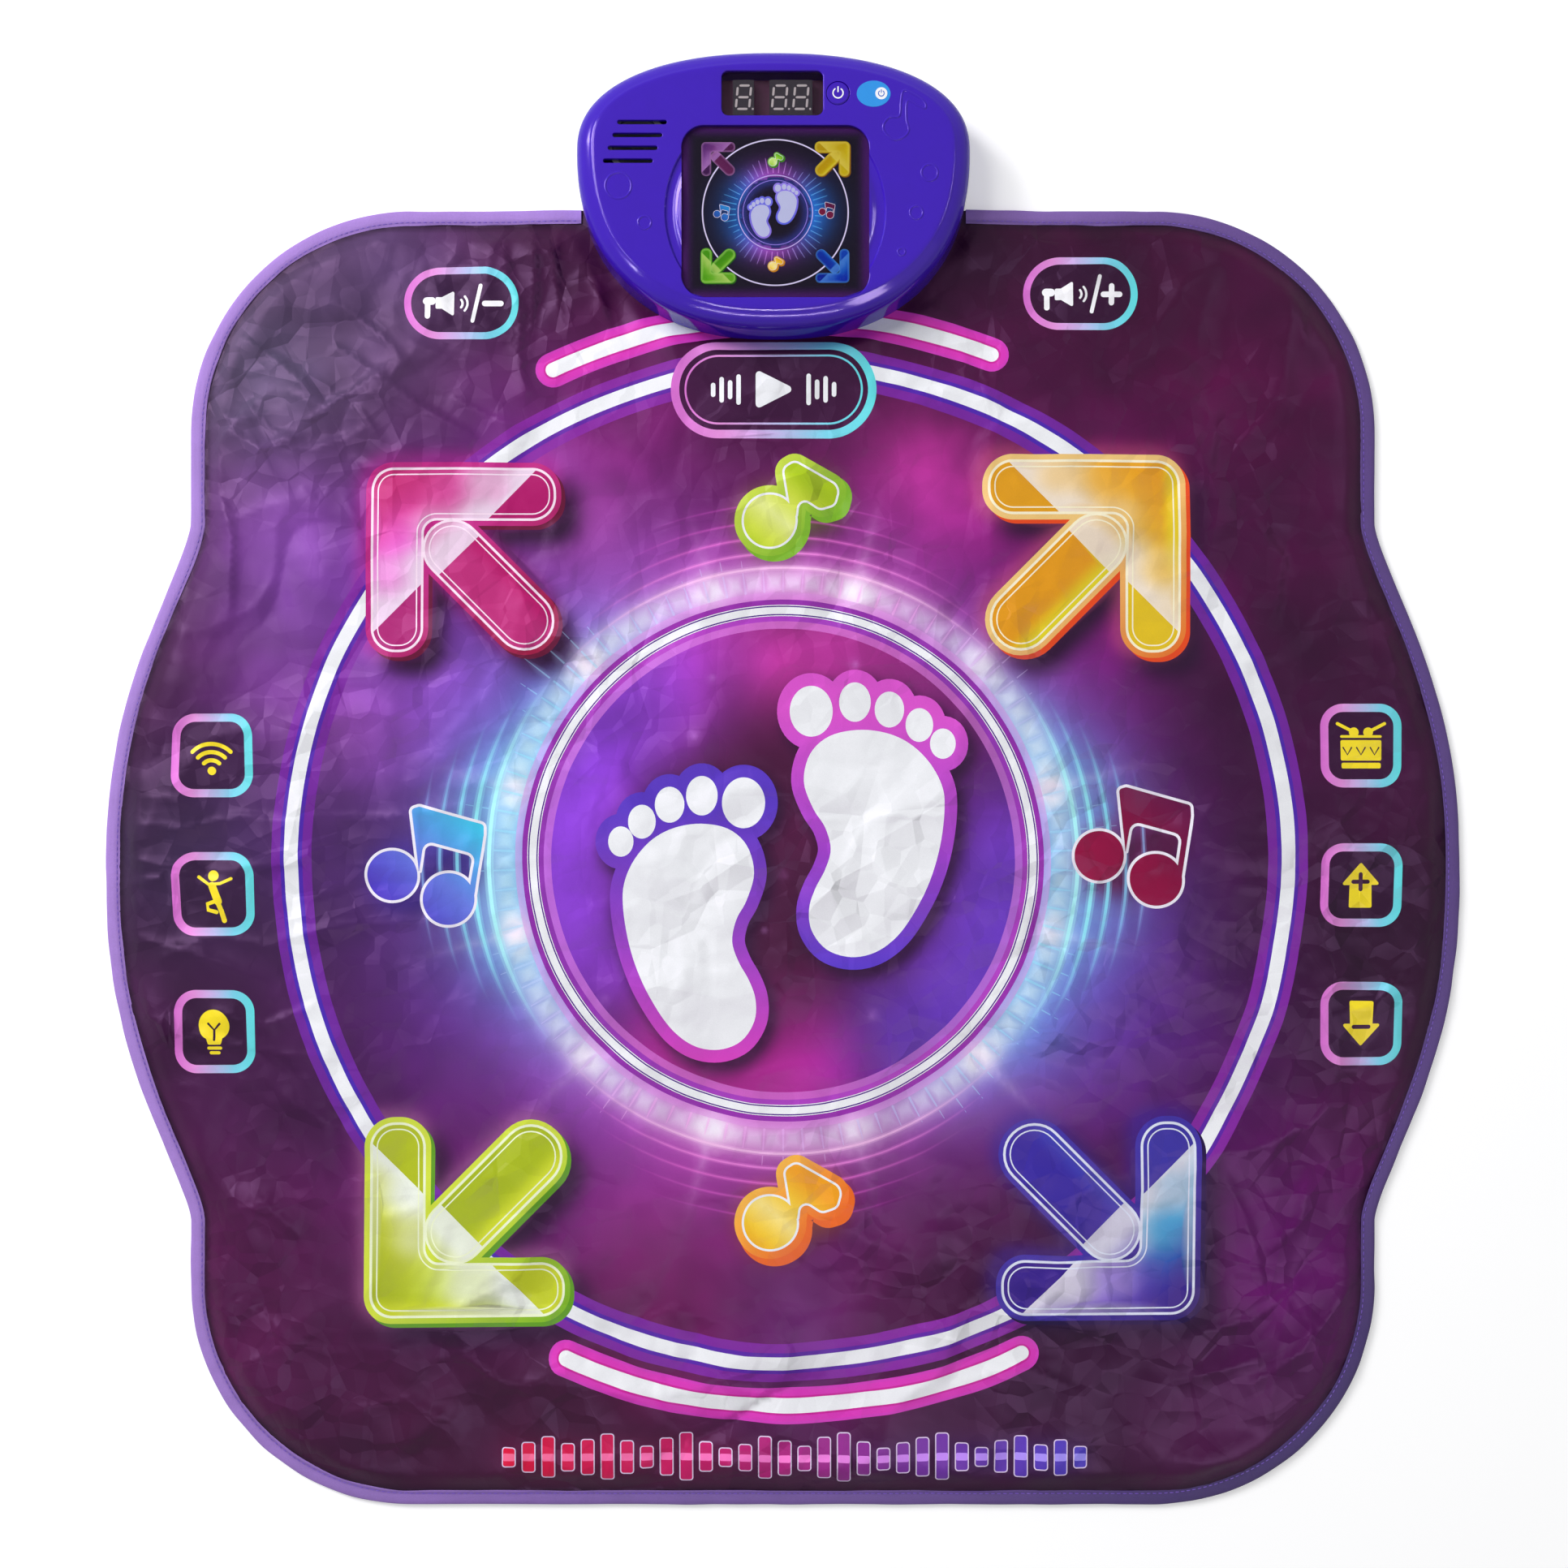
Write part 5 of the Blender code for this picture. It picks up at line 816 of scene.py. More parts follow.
for name, (side_x, side_y, tones) in ARROWS.items():
    ZONES.append((f"zone_arrow_{name}", arrow_zone(arrow_places(side_x, side_y))))
    paint_arrow(mat, arrow_print_places(name), tones, ARROW_PRINTS[name][2])
NOTES = {"rear": (0.0055, 0.17175), "front": (0.0072, -0.25925), "left": (-0.2193, -0.04815),
         "right": (0.2152, -0.03615)}
for side, place in NOTES.items():
    ZONES.append((f"zone_note_{side}", circle(*place, 0.0385, step=0.0018)))
paint_note(mat, np.array(NOTES["rear"]) + (-0.0035, 0.001), 0.96,
           (206, 222, 74), (120, 176, 34), (168, 198, 16), (206, 222, 66), (3, -3))
paint_note(mat, np.array(NOTES["front"]) + (-0.0045, 0.001), 0.98,
           (252, 196, 70), (232, 104, 20), (240, 160, 10), (240, 196, 40), (3, -4))
for side, *tones in (("left", (68, 44, 186), (100, 122, 222), (56, 200, 232)),
                     ("right", (150, 14, 60), (130, 8, 54), (90, 12, 60))):
    paint_pair(mat, np.array(NOTES[side]) + (0.0017, -0.001), 0.97, *tones)
RIGHT_FOOT, LEFT_FOOT = (at(640 + x * 0.4336, 720 + y * 0.4336) for x, y in ((SOLE_X, SOLE_Y), (478, 1003)))
paint_foot(mat, RIGHT_FOOT, 1.0, False, (218, 84, 204), (164, 66, 200), (84, 58, 196))
paint_foot(mat, LEFT_FOOT, 1.0, True, (86, 56, 190), (150, 66, 196), (216, 66, 190))

# Start pill, with a generic play mark, and the volume pills
START = (-0.00565, 0.2437)
ZONES.append(("zone_start", rounded(box(*START, 0.127, 0.060), 0.030)))
paint_frame(mat, box(*START, 0.1262, 0.0592), 0.0296, 0.0052)
paint_frame(mat, box(*START, 0.1262, 0.0592), 0.0296, 0.0012, grow=-0.0084)
x, y = START
mat.append((rounded([(x - 0.011, y - 0.0125), (x + 0.0135, y), (x - 0.011, y + 0.0125)], 0.0022, step=0.0008), WHITE))
for side in (-1, 1):
    for k, tall in enumerate((0.016, 0.009, 0.013, 0.006)):
        place = x + side * (0.0215 + 0.0052 * k)
        mat.append((stroke([(place, y - tall / 2), (place, y + tall / 2)], 0.0028), WHITE))


def paint_horn(prints, place, louder):
    """A loudspeaker with two waves, a slanting line and a plus or minus."""
    x, y = place
    strokes = [
        ([(x - 0.0212, y - 0.0082), (x - 0.0212, y)], 0.0034),
        ([(x - 0.0218, y + 0.0012), (x - 0.0185, y + 0.0012)], 0.0048),
        (arc(x - 0.0036, y, 0.0036, -42, 42, 0.001), 0.0014), (arc(x - 0.0036, y, 0.0066, -42, 42, 0.001), 0.0014),
        ([(x + 0.0062, y - 0.0108), (x + 0.0112, y + 0.0108)], 0.0024),
        ([(x + 0.0136, y), (x + 0.0236, y)], 0.0034),
    ]
    if louder:
        strokes.append(([(x + 0.0186, y - 0.005), (x + 0.0186, y + 0.005)], 0.0034))
    cone = rounded([(x - 0.0163, y - 0.0036), (x - 0.0125, y - 0.0036), (x - 0.0052, y - 0.0082),
                    (x - 0.0052, y + 0.0082), (x - 0.0125, y + 0.0036), (x - 0.0163, y + 0.0036)], 0.0008, step=0.0007)
    lay(prints, [cone, *[stroke(*s) for s in strokes]], flat(244, 244, 248))


for name, place in (("down", (-0.1973, 0.2970)), ("up", (0.1833, 0.3032))):
    ZONES.append((f"zone_volume_{name}", rounded(box(*place, 0.072, 0.046), 0.023)))
    paint_frame(mat, box(*place, 0.0706, 0.0446), 0.0222, 0.0043)
    paint_horn(mat, (place[0] + 0.0005, place[1]), name == "up")

# Mode keys. Their prints sit off the zones' middles, where the photo shows them
MODES = {}
PRINT_SHIFT = dict(left=((0.0018, -0.0030), (0.0025, -0.0030), (0.0030, -0.0026)),
                   right=((0.0028, 0.0030), (0.0030, 0.0024), (0.0030, 0.0024)))
for side, side_x in (("left", -1), ("right", 1)):
    for number, offset in enumerate((0.075, -0.010, -0.095), start=1):
        place = (side_x * 0.352, BULGE_Y + offset)
        ZONES.append((f"zone_mode_{side}_{number}", rounded(box(*place, 0.052, 0.052), 0.014)))
        MODES[side, number] = np.array(place) + PRINT_SHIFT[side][number - 1]
        paint_frame(mat, box(*MODES[side, number], 0.0500, 0.0514), 0.0140, 0.0050)


def figure(place, *parts, paint=YELLOW, cap=5):
    """Marks of a mode key in mm about its middle: lines with a width, and loops, whose width is 0."""
    for points, width in parts:
        points = np.array(points, float) * MM + place
        loop = stroke(points, width * MM, cap) if width else rounded(points, 0.0009, step=0.0007)
        mat.append((loop, paint))


def dot(place, x, y, radius):
    mat.append((circle(place[0] + x * MM, place[1] + y * MM, radius * MM, step=0.0007), YELLOW))


here = MODES["left", 1]  # radio waves
dot(here, 0, -9.5, 2.6)
for radius in (6.5, 11.5, 16.5):
    mat.append((stroke(arc(here[0], here[1] - 0.0095, radius * MM, 45, 135, 0.001), 0.0025), YELLOW))
here = MODES["left", 2]  # a dancer
dot(here, 0.5, 11.2, 3.3)
figure(here, ([(-8.5, 10.5), (-2.0, 6.0), (5.0, 6.5), (11.5, 9.5)], 1.9), ([(0.2, 5.0), (2.2, -1.5), (3.2, -4.5)], 5.0),
       ([(2.8, -4.5), (5.0, -10.5), (6.6, -16.5)], 3.0), ([(2.2, -4.2), (-3.6, -6.2), (-3.2, -9.8), (2.0, -11.2)], 2.5))
here = MODES["left", 3]  # a light bulb
dot(here, 0, 4.2, 9.6)
figure(here, ([(-5.0, -3.0), (5.0, -3.0), (3.9, -8.0), (-3.9, -8.0)], 0), ([(-3.6, -10.2), (3.6, -10.2)], 2.0),
       ([(-2.4, -13.2), (2.4, -13.2)], 2.0))
figure(here, ([(-3.6, 5.0), (0, 1.0), (3.6, 5.0)], 1.4), ([(0, 1.0), (0, -5.0)], 1.4), paint=INK_DARK, cap=7)
here = MODES["right", 1]  # a drum
figure(here, ([(-12.2, -10.5), (12.2, -10.5), (12.2, -14.0), (-12.2, -14.0)], 0),
       ([(-12.6, 3.4), (12.6, 3.4), (12.6, -9.2), (-12.6, -9.2)], 0),
       ([(-14.5, 13.5), (-5.4, 8.8)], 2.0), ([(14.5, 13.5), (5.4, 8.8)], 2.0), ([(-12.0, 5.6), (12.0, 5.6)], 1.6))
dot(here, -4.4, 8.2, 3.0)
dot(here, 4.4, 8.2, 3.0)
for x in (-8.4, 0, 8.4):
    figure(here, ([(x - 2.6, -1.2), (x, -5.6), (x + 2.6, -1.2)], 0.9), paint=INK_DARK, cap=7)
for number, sign in ((2, 1), (3, -1)):  # plus and minus arrows
    here = MODES["right", number]
    figure(here, ([(-7.0, -14.0 * sign), (7.0, -14.0 * sign), (7.0, 0.5 * sign), (-7.0, 0.5 * sign)], 0),
           ([(-12.5, 0.0), (12.5, 0.0), (0.0, 14.0 * sign)], 0))
    lines = [([(-4.6, 2.0 * sign), (4.6, 2.0 * sign)], 2.6), ([(0, -2.6), (0, 6.6)], 2.6)]
    figure(here, *lines[:2 if sign > 0 else 1], paint=flat(44, 14, 36), cap=7)

# A strip of level bars along the front
LEVELS = (5, 9, 13, 8, 11, 15, 10, 6, 12, 16, 9, 5, 8, 14, 11, 7, 13, 16, 10, 6, 9, 12, 15, 8, 5, 10, 13, 7, 11, 6)
for k, tall in enumerate(LEVELS):
    x, y = at(628 + 24.2 * k, 1793)
    tone = 255 * blend([(0, rgb(226, 20, 60)), (0.4, rgb(190, 30, 110)),
                        (0.7, rgb(120, 50, 160)), (1, rgb(70, 60, 190))], k / (len(LEVELS) - 1))
    for inset, paint in ((0, flat(226, 206, 240)), (0.0007, flat(*tone))):
        bar = box(x, y, 0.0086 - 2 * inset, (tall * 1.7 + 4) * MM - 2 * inset)
        mat.append((rounded(bar, 0.002 - inset, step=0.0009), paint))
    mat.append((rounded(box(x, y, 0.0072, 0.0046), 0.0008, step=0.0009), flat(*np.minimum(tone + 90, 255))))


# Shadows and glows round the figures, in the soft print

def mask(loops):
    """1 inside the loops and 0 outside, on the grid."""
    found = np.zeros((NY, NX), bool)
    for loop in loops:
        (ax, ay), (bx, by) = loop.min(0), loop.max(0)
        i, j = int((ax - X0) / GRID), int((ay - Y0) / GRID)
        m, n = int((bx - X0) / GRID) + 2, int((by - Y0) / GRID) + 2
        window = gx[j:n, i:m]
        found[j:n, i:m] |= inside(loop, window.ravel(), gy[j:n, i:m].ravel()).reshape(window.shape)
    return found.astype(float)


def shade(loops, shift, reach, share):
    soft = blurred(mask([loop + shift for loop in loops]), reach)
    return toward(ground, (26, 8, 30), share * np.clip(soft * 1.3, 0, 1))


def halo(loops, reach, colour, share):
    soft = blurred(mask([grown(loop, reach * 0.8) for loop in loops]), reach)
    return toward(ground, colour, share * np.clip(soft * 1.25, 0, 1))


for name, (_, _, tones) in ARROWS.items():
    loop = arrow_zone(arrow_print_places(name))
    ground = shade([loop], (0.010, -0.011), 0.0065, 0.95)
    ground = halo([loop - (0.0025, -0.0025)], 0.0042, tones["glow"], 0.5)
soles = foot_loops(RIGHT_FOOT, 1.0, False) + foot_loops(LEFT_FOOT, 1.0, True)
ground = shade([grown(loop, FOOT_RIM) for loop in soles], (0.004, -0.005), 0.004, 0.75)
for side, tone in (("rear", (150, 190, 40)), ("front", (236, 130, 30)),
                   ("left", (70, 60, 220)), ("right", (130, 16, 60))):
    place = np.array(NOTES[side])
    loops = [circle(*(place + p), r) for p, r in (((-0.013, -0.008), 0.017), ((0.012, 0.004), 0.015))]
    ground = shade(loops, (0.005, -0.005), 0.007, 0.7)
    ground = halo(loops, 0.006, tone, 0.35)
strip = 0.5 * blurred(mask([np.array(box(*at(980, 1793), 0.358, 0.018))]), 0.006)
ground = toward(ground, (120, 16, 60), strip * (1 - ease(gx, -0.15, 0.1)))
ground = toward(ground, (44, 30, 120), strip * ease(gx, -0.05, 0.17))
# Painted shade: the ground darkens just inside the edge tape, where the tape's edge shades the cover.
ground = toward(ground, ground * 0.45, 1 - ease(edge_distance, 0.009, 0.0135))
ground = np.clip(ground, 0.02, 1)


# Meshes

# Painted shade: the walls in the gaps between cloth pieces, and at the panel print's edge, take the colour of the face
# above times this.
WALL_SHADE = 0.6


def linear(colour):
    c = np.clip(colour, 0, 1)
    return np.where(c <= 0.04045, c / 12.92, ((c + 0.055) / 1.055) ** 2.4)


def new_mesh(name, points, faces, colours=None, smooth_angle=40, normals=None):
    """An object from points and faces; colours are linear, one for each face corner."""
    mesh = bpy.data.meshes.new(name)
    mesh.from_pydata([tuple(map(float, p)) for p in points], [], [tuple(map(int, f)) for f in faces])
    mesh.polygons.foreach_set("use_smooth", np.ones(len(mesh.polygons), bool))
    if smooth_angle is not None:
        mesh.set_sharp_from_angle(angle=math.radians(smooth_angle))
    if colours is not None:
        ink = mesh.color_attributes.new("ink", "FLOAT_COLOR", "CORNER")
        data = np.ones((len(mesh.loops), 4))
        data[:, :3] = colours
        ink.data.foreach_set("color", data.ravel())
    if normals is not None:
        mesh.normals_split_custom_set(normals)
    piece = bpy.data.objects.new(name, mesh)
    bpy.context.scene.collection.objects.link(piece)
    return piece


def triangulated(outline, holes, zones, prints, spacing, keep_off):
    """Triangles over an outline. Returns points, triangles, the zone of each (or -1) and its
    topmost print (or -1)."""
    loops = [outline, *holes, *[z[1] for z in zones], *[p[0] for p in prints]]
    low, high = outline.min(0), outline.max(0)
    rows = np.arange(low[1], high[1], spacing * 0.866)
    grid = []
    for j, y in enumerate(rows):
        x = np.arange(low[0] + spacing * 0.5 * (j % 2), high[0], spacing)
        grid.append(np.stack([x, np.full(len(x), y)], 1))
    grid = np.concatenate(grid)
    grid = grid[inside(outline, grid[:, 0], grid[:, 1])]
    for hole in holes:
        grid = grid[~inside(hole, grid[:, 0], grid[:, 1])]
    edge_points = []
    for loop in loops:
        for a, b in zip(loop, np.roll(loop, -1, 0)):
            steps = max(1, int(np.hypot(*(b - a)) / keep_off))
            edge_points += [a + (b - a) * t / steps for t in range(steps)]
    keys = np.floor(np.array(edge_points) / keep_off).astype(int)
    near = {(i + a, j + b) for i, j in map(tuple, keys) for a in (-1, 0, 1) for b in (-1, 0, 1)}
    own = np.floor(grid / keep_off).astype(int)
    grid = grid[[tuple(k) not in near for k in own]]
    points = list(map(Vector, np.concatenate([*loops, grid])))
    edges, start = [], 0
    for loop in loops:
        count = len(loop)
        edges += [(start + k, start + (k + 1) % count) for k in range(count)]
        start += count
    found, _, triangles, _, _, _ = delaunay_2d_cdt(points, edges, [], 0, 1e-7)
    found = np.array([tuple(p) for p in found])
    triangles = np.array(triangles)
    a, b, c = (found[triangles[:, k]] for k in range(3))
    over = (b[:, 0] - a[:, 0]) * (c[:, 1] - a[:, 1]) - (b[:, 1] - a[:, 1]) * (c[:, 0] - a[:, 0]) < 0
    triangles[over] = triangles[over][:, ::-1]
    middle = (a + b + c) / 3
    order = np.argsort(middle[:, 1], kind="stable")
    triangles, x, y = triangles[order], middle[order, 0], middle[order, 1]
    shown = inside(loops[0], x, y)
    zone, top_print = np.full(len(x), -1), np.full(len(x), -1)
    for number, loop in enumerate(loops[1:]):
        low, high = np.searchsorted(y, (loop[:, 1].min(), loop[:, 1].max()))
        part = slice(low, high)
        here = inside(loop, x[part], y[part])
        if number < len(holes):
            shown[part] &= ~here
        elif number < len(holes) + len(zones):
            zone[part][here] = number - len(holes)
        else:
            top_print[part][here] = number - len(holes) - len(zones)
    return found, triangles[shown], zone[shown], top_print[shown]


def lifted(plan, z):
    """Points of the plan at one height, or at a height each."""
    return np.column_stack([plan, np.broadcast_to(z, len(plan))])


def inked(points, triangles, top_print, prints, ground_at):
    """Linear colours of every corner of the triangles."""
    x, y = points[triangles][..., 0].ravel(), points[triangles][..., 1].ravel()
    colours = ground_at(x, y)
    kind = np.repeat(top_print, 3)
    for number, (_, paint) in enumerate(prints):
        here = kind == number
        if here.any():
            colours[here] = paint(x[here], y[here], colours[here])
    return linear(colours)


def with_skirt(points, triangles, colours, bottom, taper, only=None, lowest=-1.0):
    """The open edges of a surface turned down into a short wall, darkened by WALL_SHADE as painted shade."""
    edges = {}
    for f, (a, b, c) in enumerate(triangles):
        for u, v, corner in ((a, b, 0), (b, c, 1), (c, a, 2)):
            edges[(u, v)] = 3 * f + corner
    rim = [(u, v, corner) for (u, v), corner in edges.items() if (v, u) not in edges]
    if only is not None:
        rim = [r for r in rim if only(points[r[0]]) and only(points[r[1]])]
    faces = [list(map(int, t)) for t in triangles]
    if not rim:
        return points, faces, colours
    push = {}
    for u, v, _ in rim:
        side = points[v][:2] - points[u][:2]
        n = unit(np.array([side[1], -side[0]]))
        for k in (u, v):
            push[k] = push.get(k, 0) + n
    order = {k: len(points) + i for i, k in enumerate(push)}
    extra = []
    for k, n in push.items():
        p = points[k]
        away = unit(n) * taper
        extra.append((p[0] - away[0], p[1] - away[1], max(p[2] - bottom, lowest)))
    more = []
    for u, v, corner in rim:
        faces.append([u, order[u], order[v], v])
        more.append(np.repeat(colours[corner][None] * WALL_SHADE, 4, 0))
    return np.concatenate([points, extra]), faces, np.concatenate([colours, *more])


def far_from(line):
    """Whether a point lies off a line's own points."""
    return lambda p: np.min(np.hypot(line[:, 0] - p[0], line[:, 1] - p[1])) > 1e-5


def lofted_faces(rows, count, start=0, flip=False):
    """Quads between closed rows of points that follow each other."""
    faces = []
    for i in range(rows - 1):
        for j in range(count):
            a, b = start + i * count + j, start + i * count + (j + 1) % count
            quad = (a, b, b + count, a + count)
            faces.append(quad[::-1] if flip else quad)
    return faces


COVER_SPACING, COVER_KEEP_OFF = 0.0032, 0.0011
SKIRT_DEPTH, SKIRT_TAPER = 0.0022, 0.0001

# The cover and its touch zones
inward = normals_of(EDGE[:-1], True)
if (inward[0] @ np.array([0, -1.0])) < 0:
    inward = -inward
outline = EDGE[:-1] + inward * CLOTH_INSET
(left, front, _), (right, _, _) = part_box("film_connector")
window = rounded([(left - 0.003, REAR_Y), (right + 0.003, REAR_Y), (right + 0.003, front - 0.003),
                  (left - 0.003, front - 0.003)], 0.0006)
window = window[window[:, 1] < REAR_Y - CLOTH_INSET - 1e-4]
holes = [circle(HOUSING_X + s * 0.066, HOUSING_Y - 0.062, 0.006, step=0.002) for s in (-1, 1)] + [window]
found, triangles, zone, top_print = triangulated(outline, holes, ZONES, mat, COVER_SPACING, COVER_KEEP_OFF)
plan = found[:, 0], found[:, 1]
points = lifted(found, sample(top, *plan))
colours = inked(points, triangles, top_print, mat, lambda x, y: sample(ground, x, y))
tilt = np.column_stack([-sample(slope_x, *plan), -sample(slope_y, *plan), np.ones(len(found))])
tilt /= np.linalg.norm(tilt, axis=1)[:, None]


def cloth_piece(name, chosen):
    """Some of the cover's triangles as a piece. The cover's own outer edge stays without a wall,
    and a zone's wall ends at the underside of its CAD zone. Returns the piece and its flat area."""
    used, index = np.unique(triangles[chosen], return_inverse=True)
    index = index.reshape(-1, 3)
    corner = np.repeat(chosen, 3)
    only, lowest = far_from(outline), -1.0
    if name != "printed_cover":
        only, lowest = None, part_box(name.replace("printed", "zone"))[0][2]
    own_points, faces, own_colours = with_skirt(points[used], index, colours[corner], SKIRT_DEPTH, SKIRT_TAPER,
                                                only, lowest)
    normals = np.zeros((sum(len(f) for f in faces), 3))
    count = len(index) * 3
    normals[:count] = tilt[used][index.ravel()]
    walls = np.array(faces[len(index):])
    if len(walls):
        a, b, c = own_points[walls[:, 0]], own_points[walls[:, 1]], own_points[walls[:, 3]]
        n = np.cross(b - a, c - a)
        n /= np.maximum(np.linalg.norm(n, axis=1), 1e-12)[:, None]
        normals[count:] = np.repeat(n, 4, 0)
    a, b, c = (own_points[index[:, k]] for k in range(3))
    area = float(np.sum(np.abs(np.cross(b - a, c - a)[:, 2])) / 2)
    return new_mesh(name, own_points, faces, own_colours, None, normals), area


cover, cover_area = cloth_piece("printed_cover", zone < 0)
patches = []
for number, (node, _) in enumerate(ZONES):
    patches.append((cloth_piece(node.replace("zone", "printed"), zone == number)[0], node))


# Materials

def tools(tree):
    """Functions that add nodes to a tree. Inputs go by name or number, and are values or the
    outputs of other nodes."""
    def fill(node, inputs):
        for key, value in inputs.items():
            if isinstance(value, bpy.types.NodeSocket):
                tree.links.new(value, node.inputs[key])
            else:
                node.inputs[key].default_value = value

    def add(kind, inputs=None, output=0, **settings):
        node = tree.nodes.new("ShaderNode" + kind)
        for key, value in settings.items():
            setattr(node, key, value)
        fill(node, inputs or {})
        return node.outputs[output]

    def calc(operation, *values, **settings):
        return add("Math", dict(enumerate(values)), operation=operation, **settings)

    def span(value, low, high, start=0.0, end=1.0):
        """A value that runs from start to end, brought into the range from low to high."""
        ends = {"From Min": start, "From Max": end, "To Min": low, "To Max": high}
        return add("MapRange", {"Value": value, **ends}, "Result")

    return fill, add, calc, span


def new_material(name):
    """A material, its shader, its output node and its tree's tools."""
    material = bpy.data.materials.new(name)
    material.use_nodes = True
    nodes = material.node_tree.nodes
    output = next(n for n in nodes if n.type == "OUTPUT_MATERIAL")
    return material, nodes["Principled BSDF"], output, *tools(material.node_tree)


def crease_height(where, add, calc, span):
    """Fine creases between two sets of cells, stronger in some patches than in others."""
    heights = []
    for scale, weight in ((24.0, 1.0), (62.0, 0.32)):
        squares = []
        for shift in (0.0, 3.3):
            moved = add("VectorMath", {0: where, 1: (shift, 2 * shift, 0)}, operation="ADD")
            cells = add("TexVoronoi", {"Vector": moved, "Scale": scale}, "Distance", voronoi_dimensions="2D")
            squares.append(calc("POWER", cells, 2.0))
        heights.append(calc("MULTIPLY", calc("SUBTRACT", *squares), weight))
    across = span(add("SeparateXYZ", {0: where}, "X"), 1.0, 1.05, -0.35, 0.1)
    patch = span(add("TexNoise", {"Vector": where, "Scale": 8.0, "Detail": 2.0}, "Fac"), 0.35, 1.9, 0.40, 0.64)
    return calc("MULTIPLY", calc("MULTIPLY", calc("ADD", *heights), across), patch)


def finish_of(name, colour=(128, 128, 128), vary=0.12, scale=60.0, rough=0.5, rough_vary=0.08, grain=900.0,
              bump=0.15, depth=0.00005, metallic=0.0, coat=0.0, sheen=0.0, specular=0.5, ink=False, weave=0.0,
              tint=(1, 1, 1), creases=0.0):
    """A material whose colour, roughness and surface all vary, from nodes."""
    material, shader, _, fill, add, calc, span = new_material(name)
    where = add("TexCoord", output="Object")
    large = add("TexNoise", {"Vector": where, "Scale": scale, "Detail": 4.0, "Roughness": 0.6}, "Fac")
    fine = add("TexNoise", {"Vector": where, "Scale": grain, "Detail": 2.0, "Roughness": 0.5}, "Fac")
    if ink:
        source = add("VertexColor", output="Color", layer_name="ink")
    else:
        source = add("RGB")
        source.default_value = (*linear(rgb(*colour)), 1)
    tone = calc("MULTIPLY", span(large, 1 - vary, 1 + vary), span(fine, 1 - vary * 0.6, 1 + vary * 0.6))
    height = fine
    if weave:
        threads = {"Vector": where, "Scale": weave, "Distortion": 0.6, "Detail Scale": 1.0}
        waves = [add("TexWave", threads, "Fac", bands_direction=axis) for axis in "XY"]
        height = calc("ADD", calc("MULTIPLY", *waves), height)
    normal = add("Bump", {"Height": height, "Strength": bump, "Distance": depth}, "Normal")
    if creases:
        folds = crease_height(where, add, calc, span)
        normal = add("Bump", {"Height": folds, "Strength": 1.0, "Distance": creases, "Normal": normal}, "Normal")
    fill(shader, {
        "Base Color": add("VectorMath", {0: source, "Scale": tone}, operation="SCALE"), "Normal": normal,
        "Roughness": span(large, rough - rough_vary, rough + rough_vary), "Metallic": metallic, "Coat Weight": coat,
        "Coat Roughness": 0.06, "Sheen Weight": sheen, "Specular IOR Level": specular, "Specular Tint": (*tint, 1)})
    return material


def wear(piece, material):
    piece.data.materials.clear()
    piece.data.materials.append(material)


print_cloth = finish_of("printed_cloth", ink=True, vary=0.10, scale=26.0, rough=0.385, rough_vary=0.07, grain=1500.0,
                        bump=0.35, depth=0.00006, weave=900.0, specular=0.23, tint=(0.82, 0.44, 0.95),
                        creases=0.0026)
for piece in [cover, *[p for p, _ in patches]]:
    wear(piece, print_cloth)
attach(cover, "root")
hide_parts("mat_cover")
for piece, node in patches:
    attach(piece, "touch_" + node[5:])
    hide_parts(node)

# Folded tape round the mat's edge, open at the housing
reach = HOUSING_HALF * (1 - ((HOUSING_Y - REAR_Y) / HOUSING_FRONT) ** HOUSING_POWER) ** (1 / HOUSING_POWER) + 0.001
clear = [p for p in EDGE if not (p[1] > REAR_Y - 1e-6 and abs(p[0] - HOUSING_X) < reach)]
route = np.array([(HOUSING_X - reach, REAR_Y), *clear, (HOUSING_X + reach, REAR_Y)])
route = route[np.concatenate([[True], np.hypot(*np.diff(route, axis=0).T) > 4e-4])]
inner_way = normals_of(route, False)
if inner_way[0] @ np.array([0, -1.0]) < 0:
    inner_way = -inner_way
run = np.concatenate([[0], np.cumsum(np.hypot(*np.diff(route, axis=0).T))])
lift = EDGE_DROP * (1 - sample(edge_weight, route[:, 0], route[:, 1] - 0.004))


def ripple(seed, length):
    """Uneven waves along the tape, from -1 to 1."""
    random = np.random.RandomState(seed)
    places = np.arange(0, run[-1] + length, length)
    values = random.uniform(-1, 1, len(places))
    t = run / length
    k = np.minimum(t.astype(int), len(places) - 2)
    return values[k] + (values[k + 1] - values[k]) * ease(t - k, 0, 1)


crown = 0.00022 * ripple(51, 0.011) + 0.00016 * ripple(52, 0.004)
edge_wave = 0.00030 * ripple(53, 0.016)
width_wave = 0.00035 * ripple(54, 0.021)
PROFILE = [
    # inset, height and how far each follows the tape's upper layer, round the section
    (0.0090, 0.0000, 0), (0.0050, 0.0000, 0), (0.0012, 0.0000, 0), (0.0004, 0.0004, 0), (0.0001, 0.0012, 0.2),
    (0.0001, 0.0022, 0.6), (0.0005, 0.0031, 0.9), (0.0014, 0.0036, 1), (0.0032, 0.00382, 1), (0.0052, 0.00380, 1),
    (0.0066, 0.00372, 1), (0.0074, 0.00350, 1), (0.0082, 0.00360, 1), (0.0089, 0.00352, 1), (0.0092, 0.00330, 1),
    (0.0091, 0.00300, 1), (0.0070, 0.00298, 1), (0.0012, 0.00285, 1), (0.0008, 0.0020, 0.6), (0.0009, 0.0010, 0.2),
    (0.0016, 0.0006, 0), (0.0090, 0.0006, 0),
]
tape_points = []
